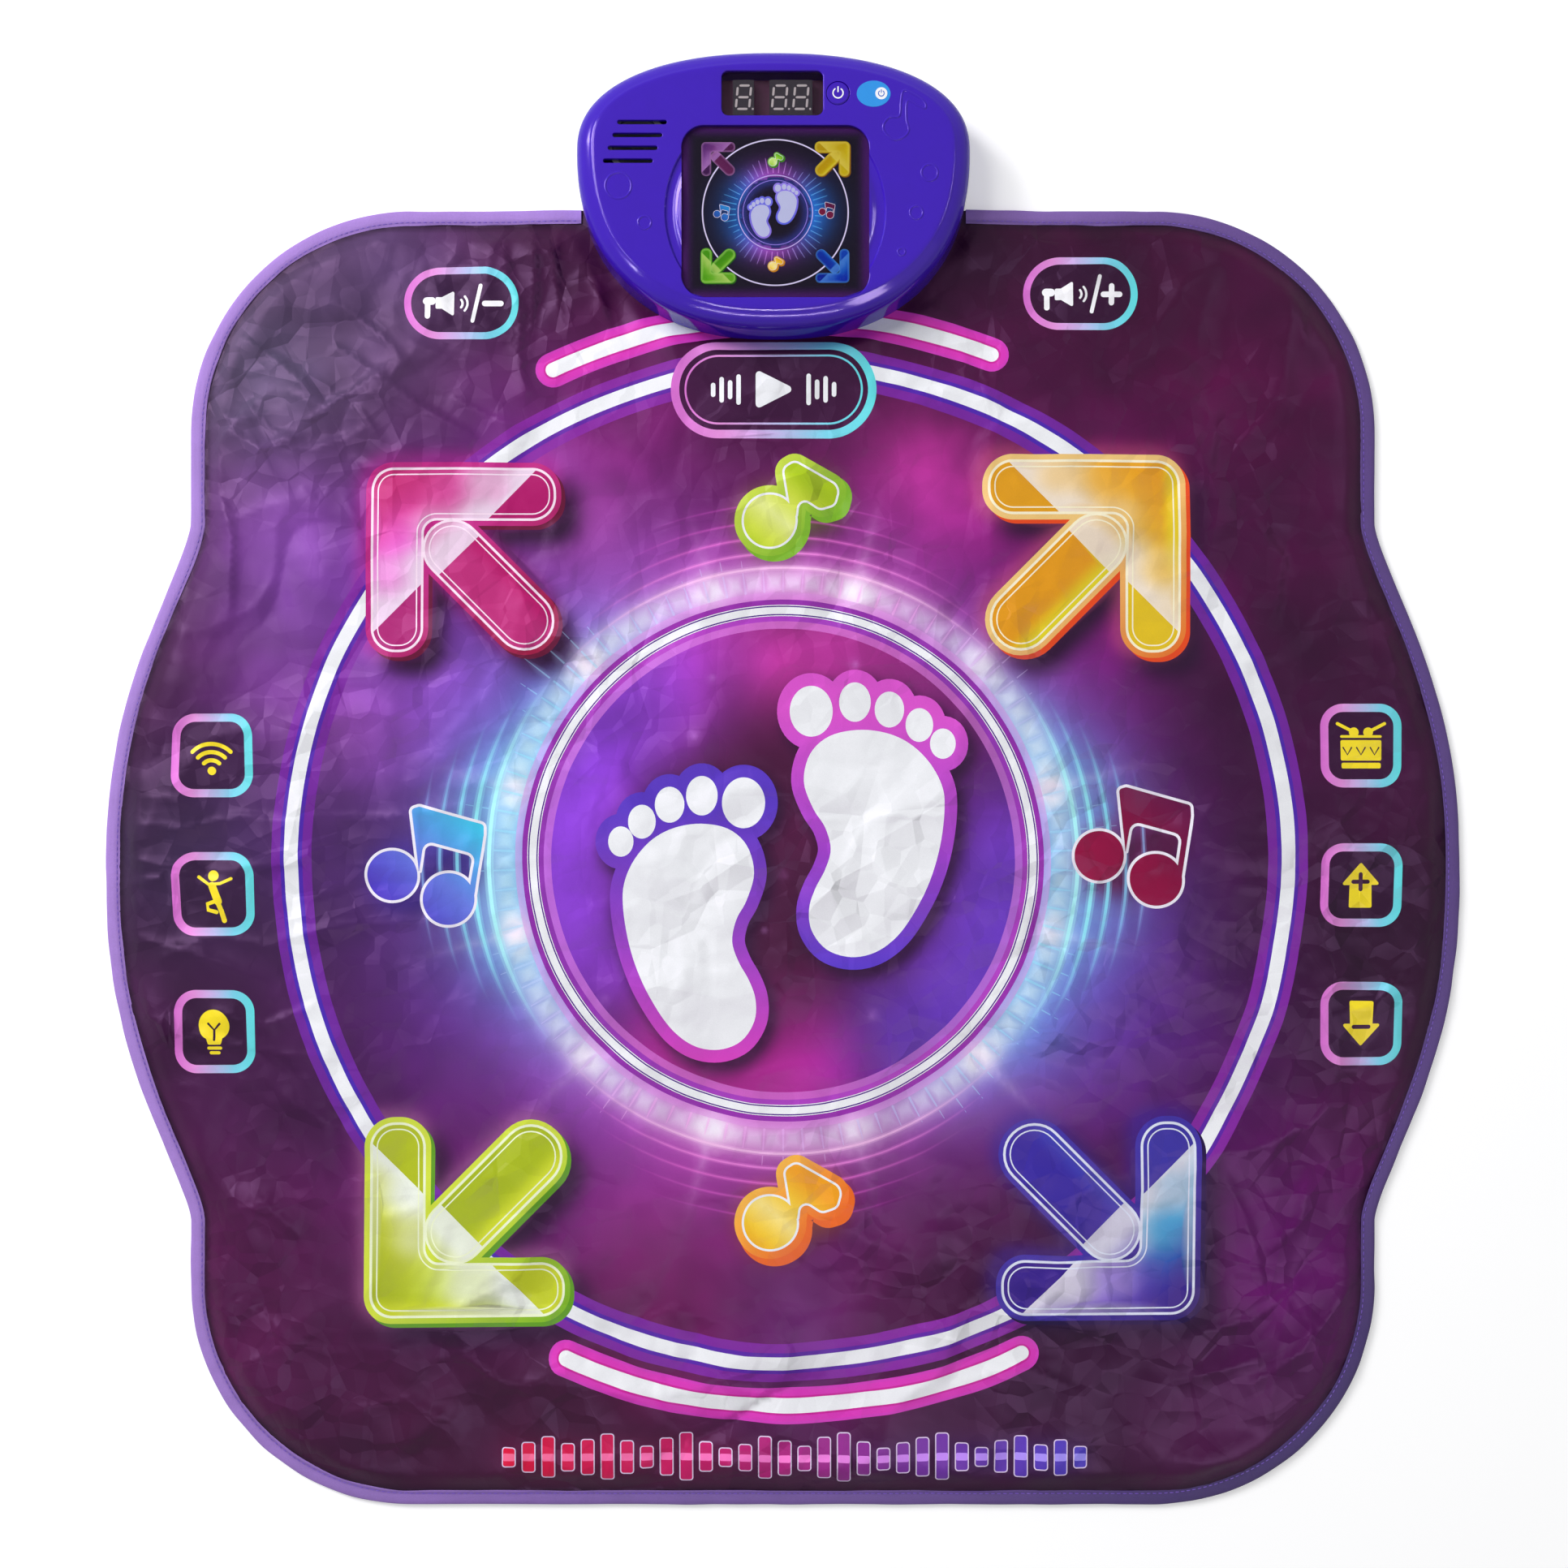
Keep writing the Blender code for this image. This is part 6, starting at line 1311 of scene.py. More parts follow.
for inset, height, follow in PROFILE:
    wave = edge_wave * (inset < 0.002) + width_wave * (inset > 0.007) * (follow > 0)
    place = route + inner_way * (inset + np.maximum(wave, -inset))[:, None]
    tape_points.append(lifted(place, height + follow * (lift + crown * (height > 0.0034))))
tape_points = np.stack(tape_points, 1)
rows, columns = tape_points.shape[:2]
tape_points = tape_points.reshape(-1, 3)
faces = lofted_faces(rows, columns)
faces.append(tuple(range(columns))[::-1])
faces.append(tuple((rows - 1) * columns + j for j in range(columns)))
corners = tape_points[np.concatenate([np.array(f) for f in faces])]
x, y = corners[:, 0], corners[:, 1]
# Painted shade: the tape is darker towards the right and at the front left, away from the lamps; in_seam makes it
# darker along the stitch line.
painted_tape_shade = ease(x, -0.05, 0.40) * 0.75 + 0.45 * ease(-y, 0.2, 0.44) * ease(x, -0.45, 0.0)
in_seam = 0.30 * np.exp(-((sample(edge_distance, x, y) - 0.0078) / 0.0009) ** 2)
tape_ink = toward(toward(evenly((164, 126, 208), x), (60, 38, 102), painted_tape_shade), (46, 22, 92), in_seam)
tape = new_mesh("edge_tape", tape_points, faces, linear(tape_ink), 60)

# Its stitches: short threads of five sides, thinner and lower at their ends
PITCH, LONG, THICK, SIDES = 0.0037, 0.0026, 0.00026, 5
UP = np.array([0, 0, 1])
stitch_points, stitch_faces = [], []
for k in range(int((run[-1] - 0.006) / PITCH)):
    ends = []
    for s in (0.003 + k * PITCH, 0.003 + k * PITCH + LONG):
        x, y, nx, ny = (np.interp(s, run, line) for line in (*route.T, *inner_way.T))
        ends.append(np.array([x + nx * 0.0074, y + ny * 0.0074, 0.00352 + np.interp(s, run, lift + crown)]))
    along = ends[1] - ends[0]
    axis = along / np.linalg.norm(along)
    side = np.array([-axis[1], axis[0], 0])
    start = len(stitch_points)
    for t, scale, rise in ((0.0, 0.35, -0.00012), (0.18, 1.0, 0.00006), (0.82, 1.0, 0.00006), (1.0, 0.35, -0.00012)):
        middle = ends[0] + along * t + (0, 0, rise)
        for turn in range(SIDES):
            angle = 2 * math.pi * turn / SIDES
            stitch_points.append(middle + THICK * scale * (side * math.cos(angle) + UP * math.sin(angle)))
    stitch_faces += lofted_faces(4, SIDES, start)
    stitch_faces.append(tuple(start + t for t in range(SIDES))[::-1])
    stitch_faces.append(tuple(start + 3 * SIDES + t for t in range(SIDES)))
stitches = new_mesh("edge_stitches", stitch_points, stitch_faces, None, 60)
for piece in (tape, stitches):
    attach(piece, "root")
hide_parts("mat_edge_binding")
wear(tape, finish_of("edge_tape_cloth", ink=True, vary=0.16, scale=34.0, rough=0.55, rough_vary=0.1, grain=1500.0,
                     bump=0.9, depth=0.00012, weave=520.0, sheen=0.1, specular=0.25))
wear(stitches, finish_of("stitch_thread", (112, 76, 186), vary=0.15, scale=300.0, rough=0.5, grain=4000.0, bump=0.6))

# The housing's upper shell: a fine closed skin over the CAD shell's shape
SHELL_SECTION = [
    # inset and height, up the outside to the roof
    (0.0, 0.0065), (0.0001, 0.0080), (0.0005, 0.0180), (0.0008, 0.0262), (0.0011, 0.0285), (0.0018, 0.0306),
    (0.0030, 0.0325), (0.0046, 0.0341), (0.0064, 0.0353), (0.0082, 0.0363), (0.0095, 0.0369), (0.0103, 0.03735),
    (0.0109, 0.0377), (0.0116, 0.0379), (0.0124, 0.0380),
]
ROOF, CEILING, WALL, CEILING_INSET = 0.0380, 0.0354, 0.0024, 0.0139
INNER_SECTION = [
    # inset and height, up the inside to the ceiling
    (WALL, 0.0065), (WALL + 0.0005, 0.0180), (WALL + 0.0008, 0.0250), (WALL + 0.0015, 0.0280),
    (WALL + 0.0030, 0.0305), (WALL + 0.0055, 0.0328), (WALL + 0.0085, 0.0345), (CEILING_INSET, CEILING),
]
STEPS = 288
ROOF_SPACING, ROOF_KEEP_OFF = 0.0030, 0.0007
PANEL = HOUSING + (0.0012, -0.0394)
PANEL_HALF = np.array([0.0562, 0.05145])
SCOOP_R = 0.0665
SLOT_FIRST, SLOT_STEP, SLOTS = HOUSING + (-0.0785, 0.0138), (-0.00283, -0.0077), 4


def box_over(node, spare=0.0):
    """The corners of a CAD node's box in the plan, with some room round it."""
    low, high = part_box(node)
    return box((low[0] + high[0]) / 2, (low[1] + high[1]) / 2, high[0] - low[0] + 2 * spare,
               high[1] - low[1] + 2 * spare)


panel_hole = rounded(box(*PANEL, *(2 * PANEL_HALF)), 0.0136, step=0.0008)
window_hole = rounded(box_over("display_window", 0.0003), 0.004, step=0.0007)
power_hole = circle(HOUSING_X + 0.0387, HOUSING_Y + 0.0311, 0.0071, step=0.0006)
slot_places = [SLOT_FIRST + (SLOT_STEP[0] * k, SLOT_STEP[1] * k) for k in range(SLOTS)]
slot_holes = [rounded(box(*place, 0.0297, 0.0026), 0.00128, step=0.0004) for place in slot_places]
roof_holes = [panel_hole, window_hole, power_hole, *slot_holes]
lips = [(loop, 0.0007 if k < 2 else 0.0004) for k, loop in enumerate(roof_holes)]


def roof_height(x, y):
    """The roof with its scoops beside the panel and round lips at its openings."""
    away = np.hypot(x - PANEL[0], y - PANEL[1])
    beside = (np.abs(x - PANEL[0]) > PANEL_HALF[0] - 0.004) & (np.abs(y - PANEL[1]) < PANEL_HALF[1])
    into = np.where(beside, np.clip(SCOOP_R - away, 0, 0.02), 0)
    z = ROOF - 0.0017 * ease(into, 0, 0.0014) + 0.0015 * ease(into, 0.0048, 0.0096)
    for loop, lip in lips:
        low, high = loop.min(0) - lip, loop.max(0) + lip
        near = (x > low[0]) & (x < high[0]) & (y > low[1]) & (y < high[1])
        if near.any():
            d = np.hypot(x[near][:, None] - loop[:, 0], y[near][:, None] - loop[:, 1]).min(1)
            t = np.clip(1 - d / lip, 0, 1)
            z[near] -= lip * 0.6 * (1 - np.sqrt(np.maximum(1 - t * t, 0)))
    return z


def stacked(section):
    """Rows of points round the housing, from insets and heights."""
    return np.concatenate([lifted(housing_loop(inset, STEPS) + HOUSING, z) for inset, z in section])


def gathered(*parts):
    """Points and faces of several parts in one list."""
    points, faces, start = [], [], 0
    for part_points, part_faces in parts:
        points.append(np.asarray(part_points))
        faces += [tuple(int(v) + start for v in f) for f in part_faces]
        start += len(part_points)
    return np.concatenate(points), faces


# Loops that only guide the roof's triangles, along the scoops and the lips
guides = []
for side in (-1, 1):
    for inset in (0.0, 0.0004, 0.0008, 0.0012, 0.0030, 0.0048, 0.0060, 0.0072, 0.0084, 0.0095):
        guides.append((arc(0, 0, SCOOP_R - inset, -36, 36, 0.0013) * (side, 1) + PANEL, bare))
for loop, lip in lips:
    lay(guides, [grown(loop, lip * share) for share in (0.3, 0.65, 1.0)], bare)

section = np.array(SHELL_SECTION)
finer = np.linspace(0, len(section) - 1, 44)
section = np.stack([np.interp(finer, np.arange(len(section)), section[:, k]) for k in (0, 1)], 1)
for _ in range(2):
    section[1:-1] = 0.25 * section[:-2] + 0.5 * section[1:-1] + 0.25 * section[2:]
skin, inner = stacked(section), stacked(INNER_SECTION)
roof_outline = housing_loop(section[-1, 0], STEPS) + HOUSING
found, triangles, _, _ = triangulated(roof_outline, roof_holes, [], guides, ROOF_SPACING, ROOF_KEEP_OFF)
roof, roof_faces, _ = with_skirt(lifted(found, roof_height(found[:, 0], found[:, 1])), triangles,
                                 np.zeros((3 * len(triangles), 3)), 0, 0, far_from(roof_outline))
roof[len(found):, 2] = CEILING
found, triangles, _, _ = triangulated(housing_loop(CEILING_INSET, STEPS) + HOUSING, roof_holes, [], [], 0.006, 0.002)
rim_faces = [(j, STEPS + j, STEPS + (j + 1) % STEPS, (j + 1) % STEPS) for j in range(STEPS)]
shell_points, shell_faces = gathered(
    (skin, lofted_faces(len(section), STEPS)), (roof, roof_faces),
    (inner, lofted_faces(len(INNER_SECTION), STEPS, flip=True)),
    (lifted(found, CEILING), [t[::-1] for t in triangles.tolist()]),
    (np.concatenate([skin[:STEPS], inner[:STEPS]]), rim_faces))
shell = new_mesh("upper_shell_skin", shell_points, shell_faces, None, None)
bm = bmesh.new()
bm.from_mesh(shell.data)
bmesh.ops.remove_doubles(bm, verts=bm.verts, dist=2e-6)
bm.to_mesh(shell.data)
bm.free()
shell.data.polygons.foreach_set("use_smooth", np.ones(len(shell.data.polygons), bool))
shell.data.set_sharp_from_angle(angle=math.radians(28))
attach(shell, "root")
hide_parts("housing_upper_shell")
purple = finish_of("purple_gloss_plastic", (54, 18, 176), vary=0.05, scale=90.0, rough=0.13, rough_vary=0.03,
                   grain=2600.0, bump=0.10, depth=0.00002, coat=0.1, specular=0.34, tint=(0.75, 0.5, 1.0))
wear(shell, purple)


def ridge(loop, width=0.0015, height=0.0004, base=ROOF - 0.00005):
    """A low rounded line that stands on the roof along a closed loop."""
    n = normals_of(loop, True)
    turns = np.linspace(0, math.pi, 6)
    rows = [lifted(loop + n * (math.cos(t) * width / 2), base + math.sin(t) * height) for t in turns]
    along = [(6 * i, 6 * ((i + 1) % len(loop))) for i in range(len(loop))]
    faces = [(i + j, i + (j + 1) % 6, k + (j + 1) % 6, k + j) for i, k in along for j in range(6)]
    return np.stack(rows, 1).reshape(-1, 3), faces


marks = []
for x, y, radius in ((-92.8, -24.2, 7.8), (-77.1, -46.3, 3.9), (93.5, -16.4, 4.9), (85.5, -40.2, 3.9),
                     (76.6, -63.7, 2.2)):
    marks.append(ridge(circle(HOUSING_X + x * MM, HOUSING_Y + y * MM, radius * MM, step=0.0006)))
note = np.array([(66.5, 8.0), (71.5, 3.4), (77.6, 4.6), (81.0, 9.0), (79.6, 15.8), (80.2, 26.5), (86.0, 24.0),
                 (90.8, 22.0), (90.2, 26.0), (83.0, 31.0), (77.8, 32.6), (76.4, 27.0), (75.4, 17.6), (69.5, 16.6),
                 (66.0, 12.6)])
marks.append(ridge(smooth(note * MM, 6) + HOUSING))
marks_piece = new_mesh("shell_marks", *gathered(*marks), None, 60)
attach(marks_piece, "root")
wear(marks_piece, purple)


# Panel print: the mat's figures again, small, on near black

def panel_ground(x, y, base=None):
    u, v = x - PANEL[0], y - PANEL[1]
    r, t = np.hypot(u, v), np.arctan2(v, u)
    border = np.maximum(np.abs(u) / PANEL_HALF[0], np.abs(v) / PANEL_HALF[1])
    colour = toward(evenly((17, 11, 26), x), (84, 24, 112), 0.8 * ease(border, 0.84, 1.0))
    side = np.abs(np.cos(t)) ** 2
    tone = toward(evenly((196, 92, 220), x), (44, 132, 236), 1.2 * side)
    beyond = np.exp(-(np.maximum(r - 0.0225, 0) / (0.0085 + 0.004 * side)) ** 1.6) * (r > 0.0215)
    colour = toward(colour, tone, 0.85 * (0.85 + 0.15 * np.cos(3 * t)) * beyond)
    return toward(colour, (60, 74, 176), 0.6 * np.exp(-((r - 0.0195) / 0.004) ** 2) * (r < 0.0215))


PALE_BLUE = flat(192, 198, 226)
panel_prints = []
ring(panel_prints, PANEL, [(0.0441, flat(222, 214, 240)), (0.0433, panel_ground)])
for k in range(48):
    turn = math.radians(7.5 * k + 3)
    length = 0.0035 + 0.0055 * abs(math.sin(2.5 * turn + 0.4))
    panel_prints.append(level_line(PANEL, turn, 0.0240, length, (0.0007, 0.0003), ((230, 150, 240), (90, 200, 250)),
                                   0.0, 0.6))
ring(panel_prints, PANEL, [(0.0226, flat(206, 188, 240)), (0.0221, panel_ground), (0.0196, flat(150, 130, 226)),
                           (0.0192, panel_ground)])
SMALL_ARROW = 0.176
DULL = {
    "rear_left": tone_set((60, 20, 70), (160, 108, 172), (84, 36, 102), (120, 66, 136), (112, 50, 118), (92, 28, 76),
                          (80, 20, 66), (166, 116, 166)),
    "rear_right": tone_set((180, 148, 2), (214, 196, 70), (192, 164, 4), (200, 176, 20), (196, 170, 20), (184, 150, 0),
                           (210, 192, 16), (214, 196, 70), (130, 84, 2), (190, 164, 20), (150, 112, 4)),
    "front_left": tone_set((68, 150, 10), (172, 208, 96), (78, 160, 12), (102, 176, 34), (112, 184, 44), (64, 144, 6),
                           (112, 184, 36), (160, 210, 96), (26, 84, 6), (84, 164, 26), (54, 134, 10)),
    "front_right": tone_set((1, 30, 140), (70, 126, 200), (1, 36, 156), (6, 84, 180), (4, 56, 170), (4, 42, 150),
                            (10, 80, 180), (70, 140, 206)),
}
for name, (side_x, side_y, _) in ARROWS.items():
    corner = PANEL + np.array((side_x * 0.0447, side_y * 0.0425))
    sides = np.array((side_x, side_y))
    paint_arrow(panel_prints, lambda uv, corner=corner, sides=sides: corner - np.array(uv) * sides * SMALL_ARROW,
                DULL[name], SMALL_ARROW)
paint_note(panel_prints, PANEL + (0.0, 0.0316), 0.14,
           (140, 210, 60), (60, 130, 20), (110, 190, 30), (190, 236, 90), (3, -3))
paint_note(panel_prints, PANEL + (0.0, -0.0308), 0.14,
           (246, 206, 80), (200, 130, 20), (236, 176, 20), (255, 226, 90), (3, -3))
paint_pair(panel_prints, PANEL + (-0.0320, -0.0002), 0.13, (30, 70, 150), (40, 110, 190), (40, 150, 210))
paint_pair(panel_prints, PANEL + (0.0312, 0.0012), 0.13, (120, 20, 50), (110, 20, 60), (80, 16, 60))
paint_foot(panel_prints, PANEL + (0.0068, 0.0034), 0.138, False,
           (150, 130, 230), (120, 110, 226), (90, 100, 220), PALE_BLUE)
paint_foot(panel_prints, PANEL + (-0.0092, -0.0050), 0.138, True,
           (110, 110, 226), (120, 110, 220), (150, 120, 220), PALE_BLUE)
low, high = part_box("panel_print_sheet")
found, triangles, _, top_print = triangulated(rounded(box_over("panel_print_sheet"), 0.0155, step=0.001), [], [],
                                              panel_prints, 0.0022, 0.0003)
points = lifted(found, high[2])
colours = inked(points, triangles, top_print, panel_prints, panel_ground)
panel_print = new_mesh("panel_print", *with_skirt(points, triangles, colours, high[2] - low[2], 0), 40)
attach(panel_print, "root")
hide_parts("panel_print_sheet")
wear(panel_print, finish_of("panel_print_film", ink=True, vary=0.05, scale=200.0, rough=0.6, grain=3000.0, bump=0.02,
                            specular=0.08))

# Marks on the digit modules, the power button and the oval label
DIGITS_X, DIGITS_Y = (-0.0179, 0.0038, 0.0165), 0.0297
DIGIT_HALF, SEGMENT, SLANT = np.array((0.0040, 0.0070)), 0.0013, 0.09
digit_loops = []
for digit_x in DIGITS_X:
    middle = HOUSING + (digit_x, DIGITS_Y)
    for ax, ay, bx, by in ((-1, 1, 1, 1), (-1, 0, 1, 0), (-1, -1, 1, -1), (-1, 0, -1, 1), (1, 0, 1, 1),
                           (-1, -1, -1, 0), (1, -1, 1, 0)):
        a, b = DIGIT_HALF * (ax, ay), DIGIT_HALF * (bx, by)
        way = unit(b - a)
        a, b = a + way * 0.0008, b - way * 0.0008
        side, end = np.array([-way[1], way[0]]) * SEGMENT / 2, way * SEGMENT / 2
        loop = np.array([a, a + end - side, b - end - side, b, b - end + side, a + end + side])
        loop[:, 0] += SLANT * loop[:, 1]
        digit_loops.append(loop + middle)
    digit_loops.append(circle(*(middle + (0.0056, -0.0070)), 0.0006, step=0.0004))


def raised(loops, low, high):
    """Thin flat bodies with the given outlines."""
    parts = []
    for loop in loops:
        loop = loop if area_of(loop) > 0 else loop[::-1]
        n = len(loop)
        caps = [tuple(range(n))[::-1], tuple(range(n, 2 * n))]
        parts.append((np.concatenate([lifted(loop, low), lifted(loop, high)]), lofted_faces(2, n) + caps))
    return gathered(*parts)


def flat_piece(name, loops, low, high, body, material):
    piece = new_mesh(name, *raised(loops, low, high), None, 40)
    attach(piece, body)
    wear(piece, material)


def power_mark(middle, radius, low, high, width, step):
    """A ring open at the top, with a short line in the gap."""
    line = np.array([middle + (0, low), middle + (0, high)])
    return [stroke(arc(*middle, radius, 128, 412, step), width), stroke(line, width)]


module_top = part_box("level_digit_module")[1][2]
flat_piece("digit_segments", digit_loops, module_top - 0.00002, module_top + 0.00012, "root",
           finish_of("segment_grey", (190, 194, 190), vary=0.1, scale=400.0, rough=0.4, grain=3000.0))
low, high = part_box("power_button_cap")
cap_middle = np.array([(low[0] + high[0]) / 2, (low[1] + high[1]) / 2])
bright = finish_of("white_mark_ink", (240, 240, 244), vary=0.05, scale=500.0, rough=0.4, grain=3000.0, bump=0.1)
flat_piece("power_symbol", power_mark(cap_middle, 0.0030, 0.0008, 0.0036, 0.0008, 0.0004), high[2] - 0.00002,
           high[2] + 0.00006, "power_button", bright)
label = HOUSING + (0.0600, 0.0307)
disc = label + (0.0046, 0.0002)
flat_piece("oval_label", [circle(*label, 0.0101, 0.0078, step=0.0008)], ROOF - 0.00002, ROOF + 0.00012, "root",
           finish_of("label_blue", (22, 140, 222), vary=0.05, scale=300.0, rough=0.35, grain=2500.0,
                                      bump=0.1))
flat_piece("oval_label_disc", [circle(*disc, 0.0036, step=0.0005)], ROOF + 0.0001, ROOF + 0.00018, "root",
           bright)
flat_piece("oval_label_mark", power_mark(disc, 0.0017, 0.0005, 0.0021, 0.00055, 0.0003), ROOF + 0.00017,
           ROOF + 0.00024, "root", finish_of("label_mark_blue", (30, 90, 190), vary=0.05,
                                                             scale=300.0, rough=0.4, grain=2500.0, bump=0.1))

# The underside cloth, raised along its edge, with the notch round the housing's lower shell
notch = housing_loop(-0.001) + HOUSING
steps = [(EDGE[:-1] + inward * inset, bare) for inset in (0.0100, 0.0140)]
found, triangles, _, _ = triangulated(EDGE[:-1] + inward * 0.0012, [notch], [], steps, 0.0085, 0.003)
plan = found[:, 0], found[:, 1]
away = sample(edge_distance, *plan)
wave = 0.00012 * np.clip(sample(noise(61, 0.012), *plan) + 0.8, 0, 2) * ease(away, 0.012, 0.03)
low = 0.00012 + 0.00090 * (1 - ease(away, 0.0095, 0.0140)) + wave
count, triangles = len(found), triangles.tolist()
sides = {(a, b) for t in triangles for a, b in zip(t, t[1:] + t[:1])}
faces = [tuple(t[::-1]) for t in triangles] + [tuple(v + count for v in t) for t in triangles]
faces += [(a, b, b + count, a + count) for t in triangles for a, b in zip(t, t[1:] + t[:1]) if (b, a) not in sides]
points = np.concatenate([lifted(found, low), lifted(found, low + 0.0003)])
underside = new_mesh("underside_cloth", points, faces, None, 50)
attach(underside, "root")
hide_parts("mat_base_fabric")
base_area = float(sum(abs(area_of(found[t])) for t in triangles))
wear(underside, finish_of("underside_weave", (62, 60, 66), vary=0.14, scale=50.0, rough=0.8, grain=1500.0, bump=0.5,
                          depth=0.0001, weave=600.0))

# Surfaces of the CAD nodes that stay
FOAM = finish_of("soft_white_foam", (226, 226, 230), scale=120.0, rough=0.9, grain=700.0, bump=0.4, depth=0.0002)
DARK = finish_of("dark_plastic_grain", (38, 36, 44), vary=0.15, scale=150.0, rough=0.5, grain=2000.0, bump=0.3)
BOARD = finish_of("green_board_lacquer", (22, 96, 54), vary=0.15, scale=220.0, rough=0.35, grain=1200.0,
                  bump=0.2, coat=0.3)
STEEL = finish_of("turned_steel", (178, 180, 186), vary=0.08, scale=300.0, rough=0.32, grain=3000.0,
                  bump=0.15, metallic=1.0)
RUBBER = finish_of("soft_rubber", (52, 50, 60), vary=0.12, scale=200.0, rough=0.85, grain=1500.0, bump=0.4)
PALE = finish_of("white_diode_plastic", (232, 232, 226), vary=0.06, scale=300.0, rough=0.4, grain=2000.0, bump=0.1)
LOWER = finish_of("purple_matt_plastic", (58, 32, 168), vary=0.06, scale=80.0, rough=0.34, grain=2200.0, bump=0.2)
MODULE = finish_of("module_grey", (48, 51, 56), vary=0.08, scale=260.0, rough=0.55, grain=2400.0,
                   bump=0.1, specular=0.15)
MAROON = finish_of("maroon_board_lacquer", (74, 12, 62), vary=0.1, scale=200.0, rough=0.5, grain=1600.0, bump=0.1)
FILM = finish_of("clear_contact_film", (196, 202, 208), vary=0.1, scale=90.0, rough=0.25, grain=900.0, bump=0.1)
CELL = finish_of("cell_wrap_foil", (38, 62, 140), vary=0.12, scale=160.0, rough=0.3, grain=1800.0, bump=0.1)
CONE = finish_of("cone_paper_fibre", (44, 42, 46), vary=0.2, scale=260.0, rough=0.85, grain=1700.0, bump=0.6)
WEARS = {
    "mat_padding_foam": FOAM, "mat_spacer_foam": FOAM, "mat_contact_film": FILM, "housing_lower_shell": LOWER,
    "battery_door": LOWER, "power_button_cap": purple, "power_switch": DARK, "level_digit_module": MODULE,
    "score_digit_module": MODULE, "display_board": MAROON, "panel_light_board": BOARD, "main_circuit_board": BOARD,
    "panel_light_frame": DARK, "film_connector": PALE, "speaker_frame": DARK, "speaker_cone": CONE,
    "speaker_magnet": STEEL, "battery_contacts_front": STEEL, "battery_contacts_rear": STEEL,
    "battery_door_screw": STEEL,
}
for name in NODES:
    for start, material in (("housing_foot", RUBBER), ("housing_screw", STEEL), ("panel_light_", PALE),
                            ("battery_cell", CELL)):
        if name.startswith(start) and name not in WEARS:
            WEARS[name] = material
for name, material in WEARS.items():
    wear(NODES[name], material)


def pane(name, tint, share, face_colour):
    """Glossy clear plastic: it lets the light through, tinted, under a mirror-like face."""
    material, shader, output, fill, add, calc, span = new_material(name)
    where = add("TexCoord", output="Object")
    cloud = add("TexNoise", {"Vector": where, "Scale": 180.0, "Detail": 3.0}, "Fac")
    fill(shader, {"Base Color": (*linear(rgb(*face_colour)), 1), "Roughness": span(cloud, 0.09, 0.15),
                  "Specular IOR Level": 1.0})
    steep = calc("POWER", add("LayerWeight", {"Blend": 0.5}, "Facing"), 4.5)
    amount = calc("MULTIPLY_ADD", steep, 0.85, share, use_clamp=True)
    clear = add("BsdfTransparent", {"Color": (*tint, 1)})
    fill(output, {"Surface": add("MixShader", {0: amount, 1: clear, 2: shader.outputs[0]})})
    return material


wear(NODES["panel_lens"], pane("panel_lens_gloss", (0.97, 0.96, 0.99), 0.006, (12, 8, 20)))
wear(NODES["display_window"], pane("display_window_tint", (0.96, 0.92, 0.94), 0.03, (60, 8, 60)))

# Camera: straight above the mat's middle; the frame holds 0.966 m at the cover's height
DISTANCE, SEEN, SENSOR = 1.096, 0.966, 36
camera_data = bpy.data.cameras.new("camera")
camera = bpy.data.objects.new("camera", camera_data)
bpy.context.scene.collection.objects.link(camera)
camera.location = (0.00075, 0.0017, 0.006 + DISTANCE)
camera_data.sensor_width = SENSOR
camera_data.lens = SENSOR * DISTANCE / SEEN
camera_data.clip_start = 0.01
bpy.context.scene.camera = camera

# A white studio round it, brighter where it is seen or mirrored than in the light it gives
world = bpy.data.worlds.new("studio")
bpy.context.scene.world = world
world.use_nodes = True
fill, add, calc, span = tools(world.node_tree)
rays = add("LightPath").node.outputs
mirrored = calc("MAXIMUM", rays["Is Glossy Ray"], rays["Is Transmission Ray"])
fill(world.node_tree.nodes["Background"], {
    "Color": (1, 1, 1, 1), "Strength": span(calc("MAXIMUM", rays["Is Camera Ray"], mirrored), 0.40, 1.0)})

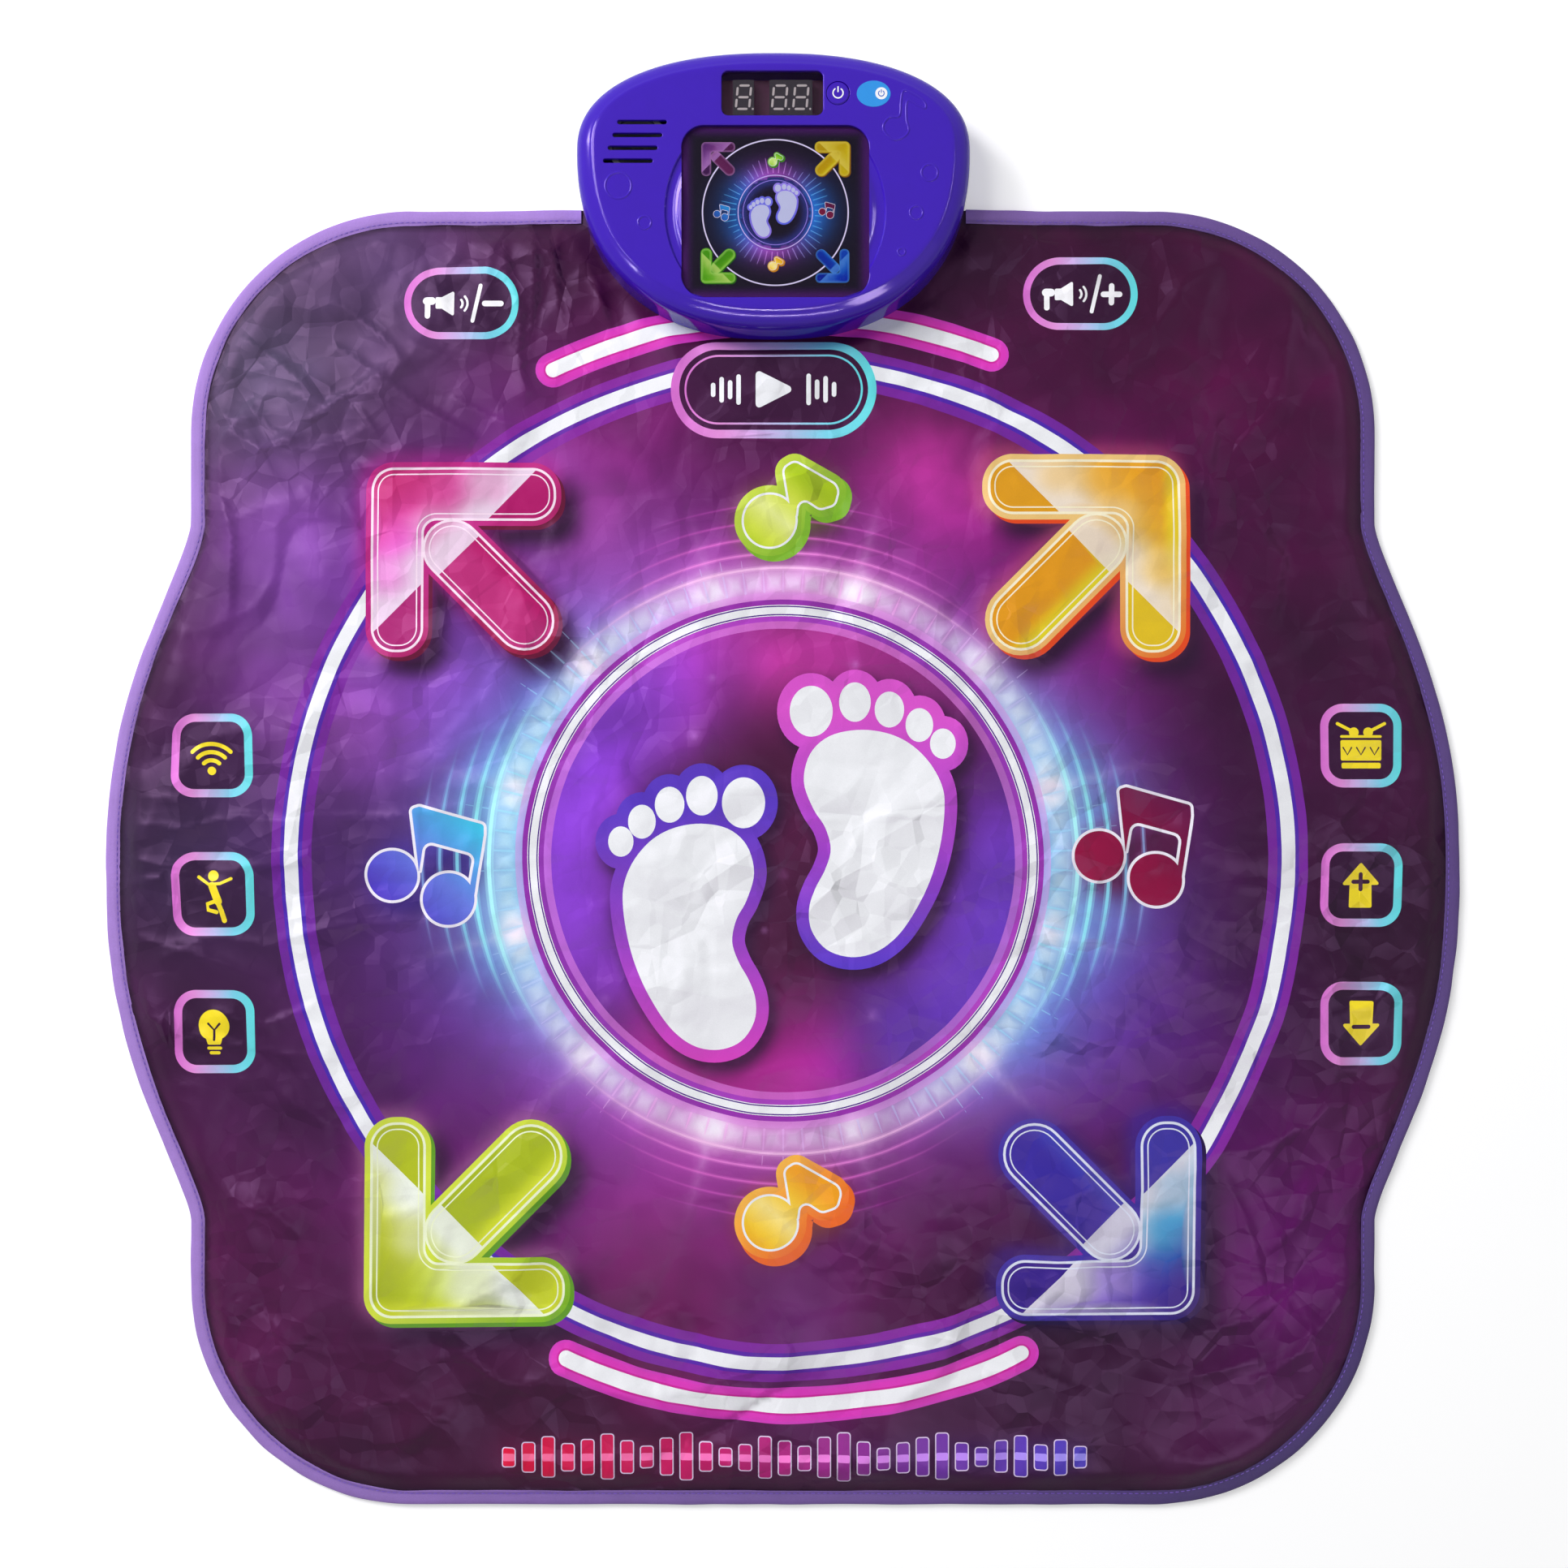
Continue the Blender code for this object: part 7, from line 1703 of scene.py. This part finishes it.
LAMPS = [
    # name, place, size, power, what it points at, whether it shows beside gloss also in matt light
    ("key", (-2.3, 1.8, 1.9), (1.0, 1.0), 76.0, (0, 0, 0), True),
    ("sheen_left", (-0.95, 1.0, 1.7), (0.6, 0.6), 12.0, (-0.2, 0.2, 0), True),
    ("sheen_right", (0.95, -0.95, 1.7), (0.5, 0.5), 13.0, (0.2, -0.2, 0), False),
    ("fill", (1.6, -0.7, 1.9), (1.6, 1.6), 2.5, (0, 0, 0), True),
    ("strip_left", (-0.95, 0.30, 0.95), (0.9, 0.02), 5.0, (0, 0.38, 0), False),
    ("strip_front", (-0.05, -0.65, 1.0), (0.9, 0.02), 4.0, (0, 0.38, 0), False),
    ("strip_right", (0.90, 0.55, 0.9), (0.4, 0.02), 2.2, (0, 0.38, 0), False),
]
for name, place, size, power, target, matt in LAMPS:
    light = bpy.data.lights.new(name, "AREA")
    light.shape = "RECTANGLE"
    light.size, light.size_y = size
    light.energy = power
    lamp = bpy.data.objects.new(name, light)
    lamp.location = place
    lamp.visible_diffuse = matt
    lamp.rotation_euler = (Vector(target) - Vector(place)).to_track_quat("-Z", "Y").to_euler()
    bpy.context.scene.collection.objects.link(lamp)

# The floor, which the camera sees a little brighter further out
FLOOR_HALF, FLOOR_Z = 20, -0.0004
floor = new_mesh("floor", [(*p, FLOOR_Z) for p in box(0, 0, 2 * FLOOR_HALF, 2 * FLOOR_HALF)], [(0, 1, 2, 3)],
                 None, None)
material, shader, output, fill, add, calc, span = new_material("floor_white")
fill(shader, {"Base Color": (0.84, 0.84, 0.85, 1), "Roughness": 0.9, "Specular IOR Level": 0.1})
far = add("VectorMath", {0: add("TexCoord", output="Object")}, "Value", operation="LENGTH")
lift = calc("MULTIPLY", add("LightPath", output="Is Camera Ray"), span(far, 0.32, 0.72, 0.8, 3.0))
emission = add("Emission", {"Color": (1, 1, 1, 1), "Strength": lift})
fill(output, {"Surface": add("AddShader", {0: shader.outputs[0], 1: emission})})
wear(floor, material)

scene = bpy.context.scene
scene.view_settings.view_transform = "Standard"
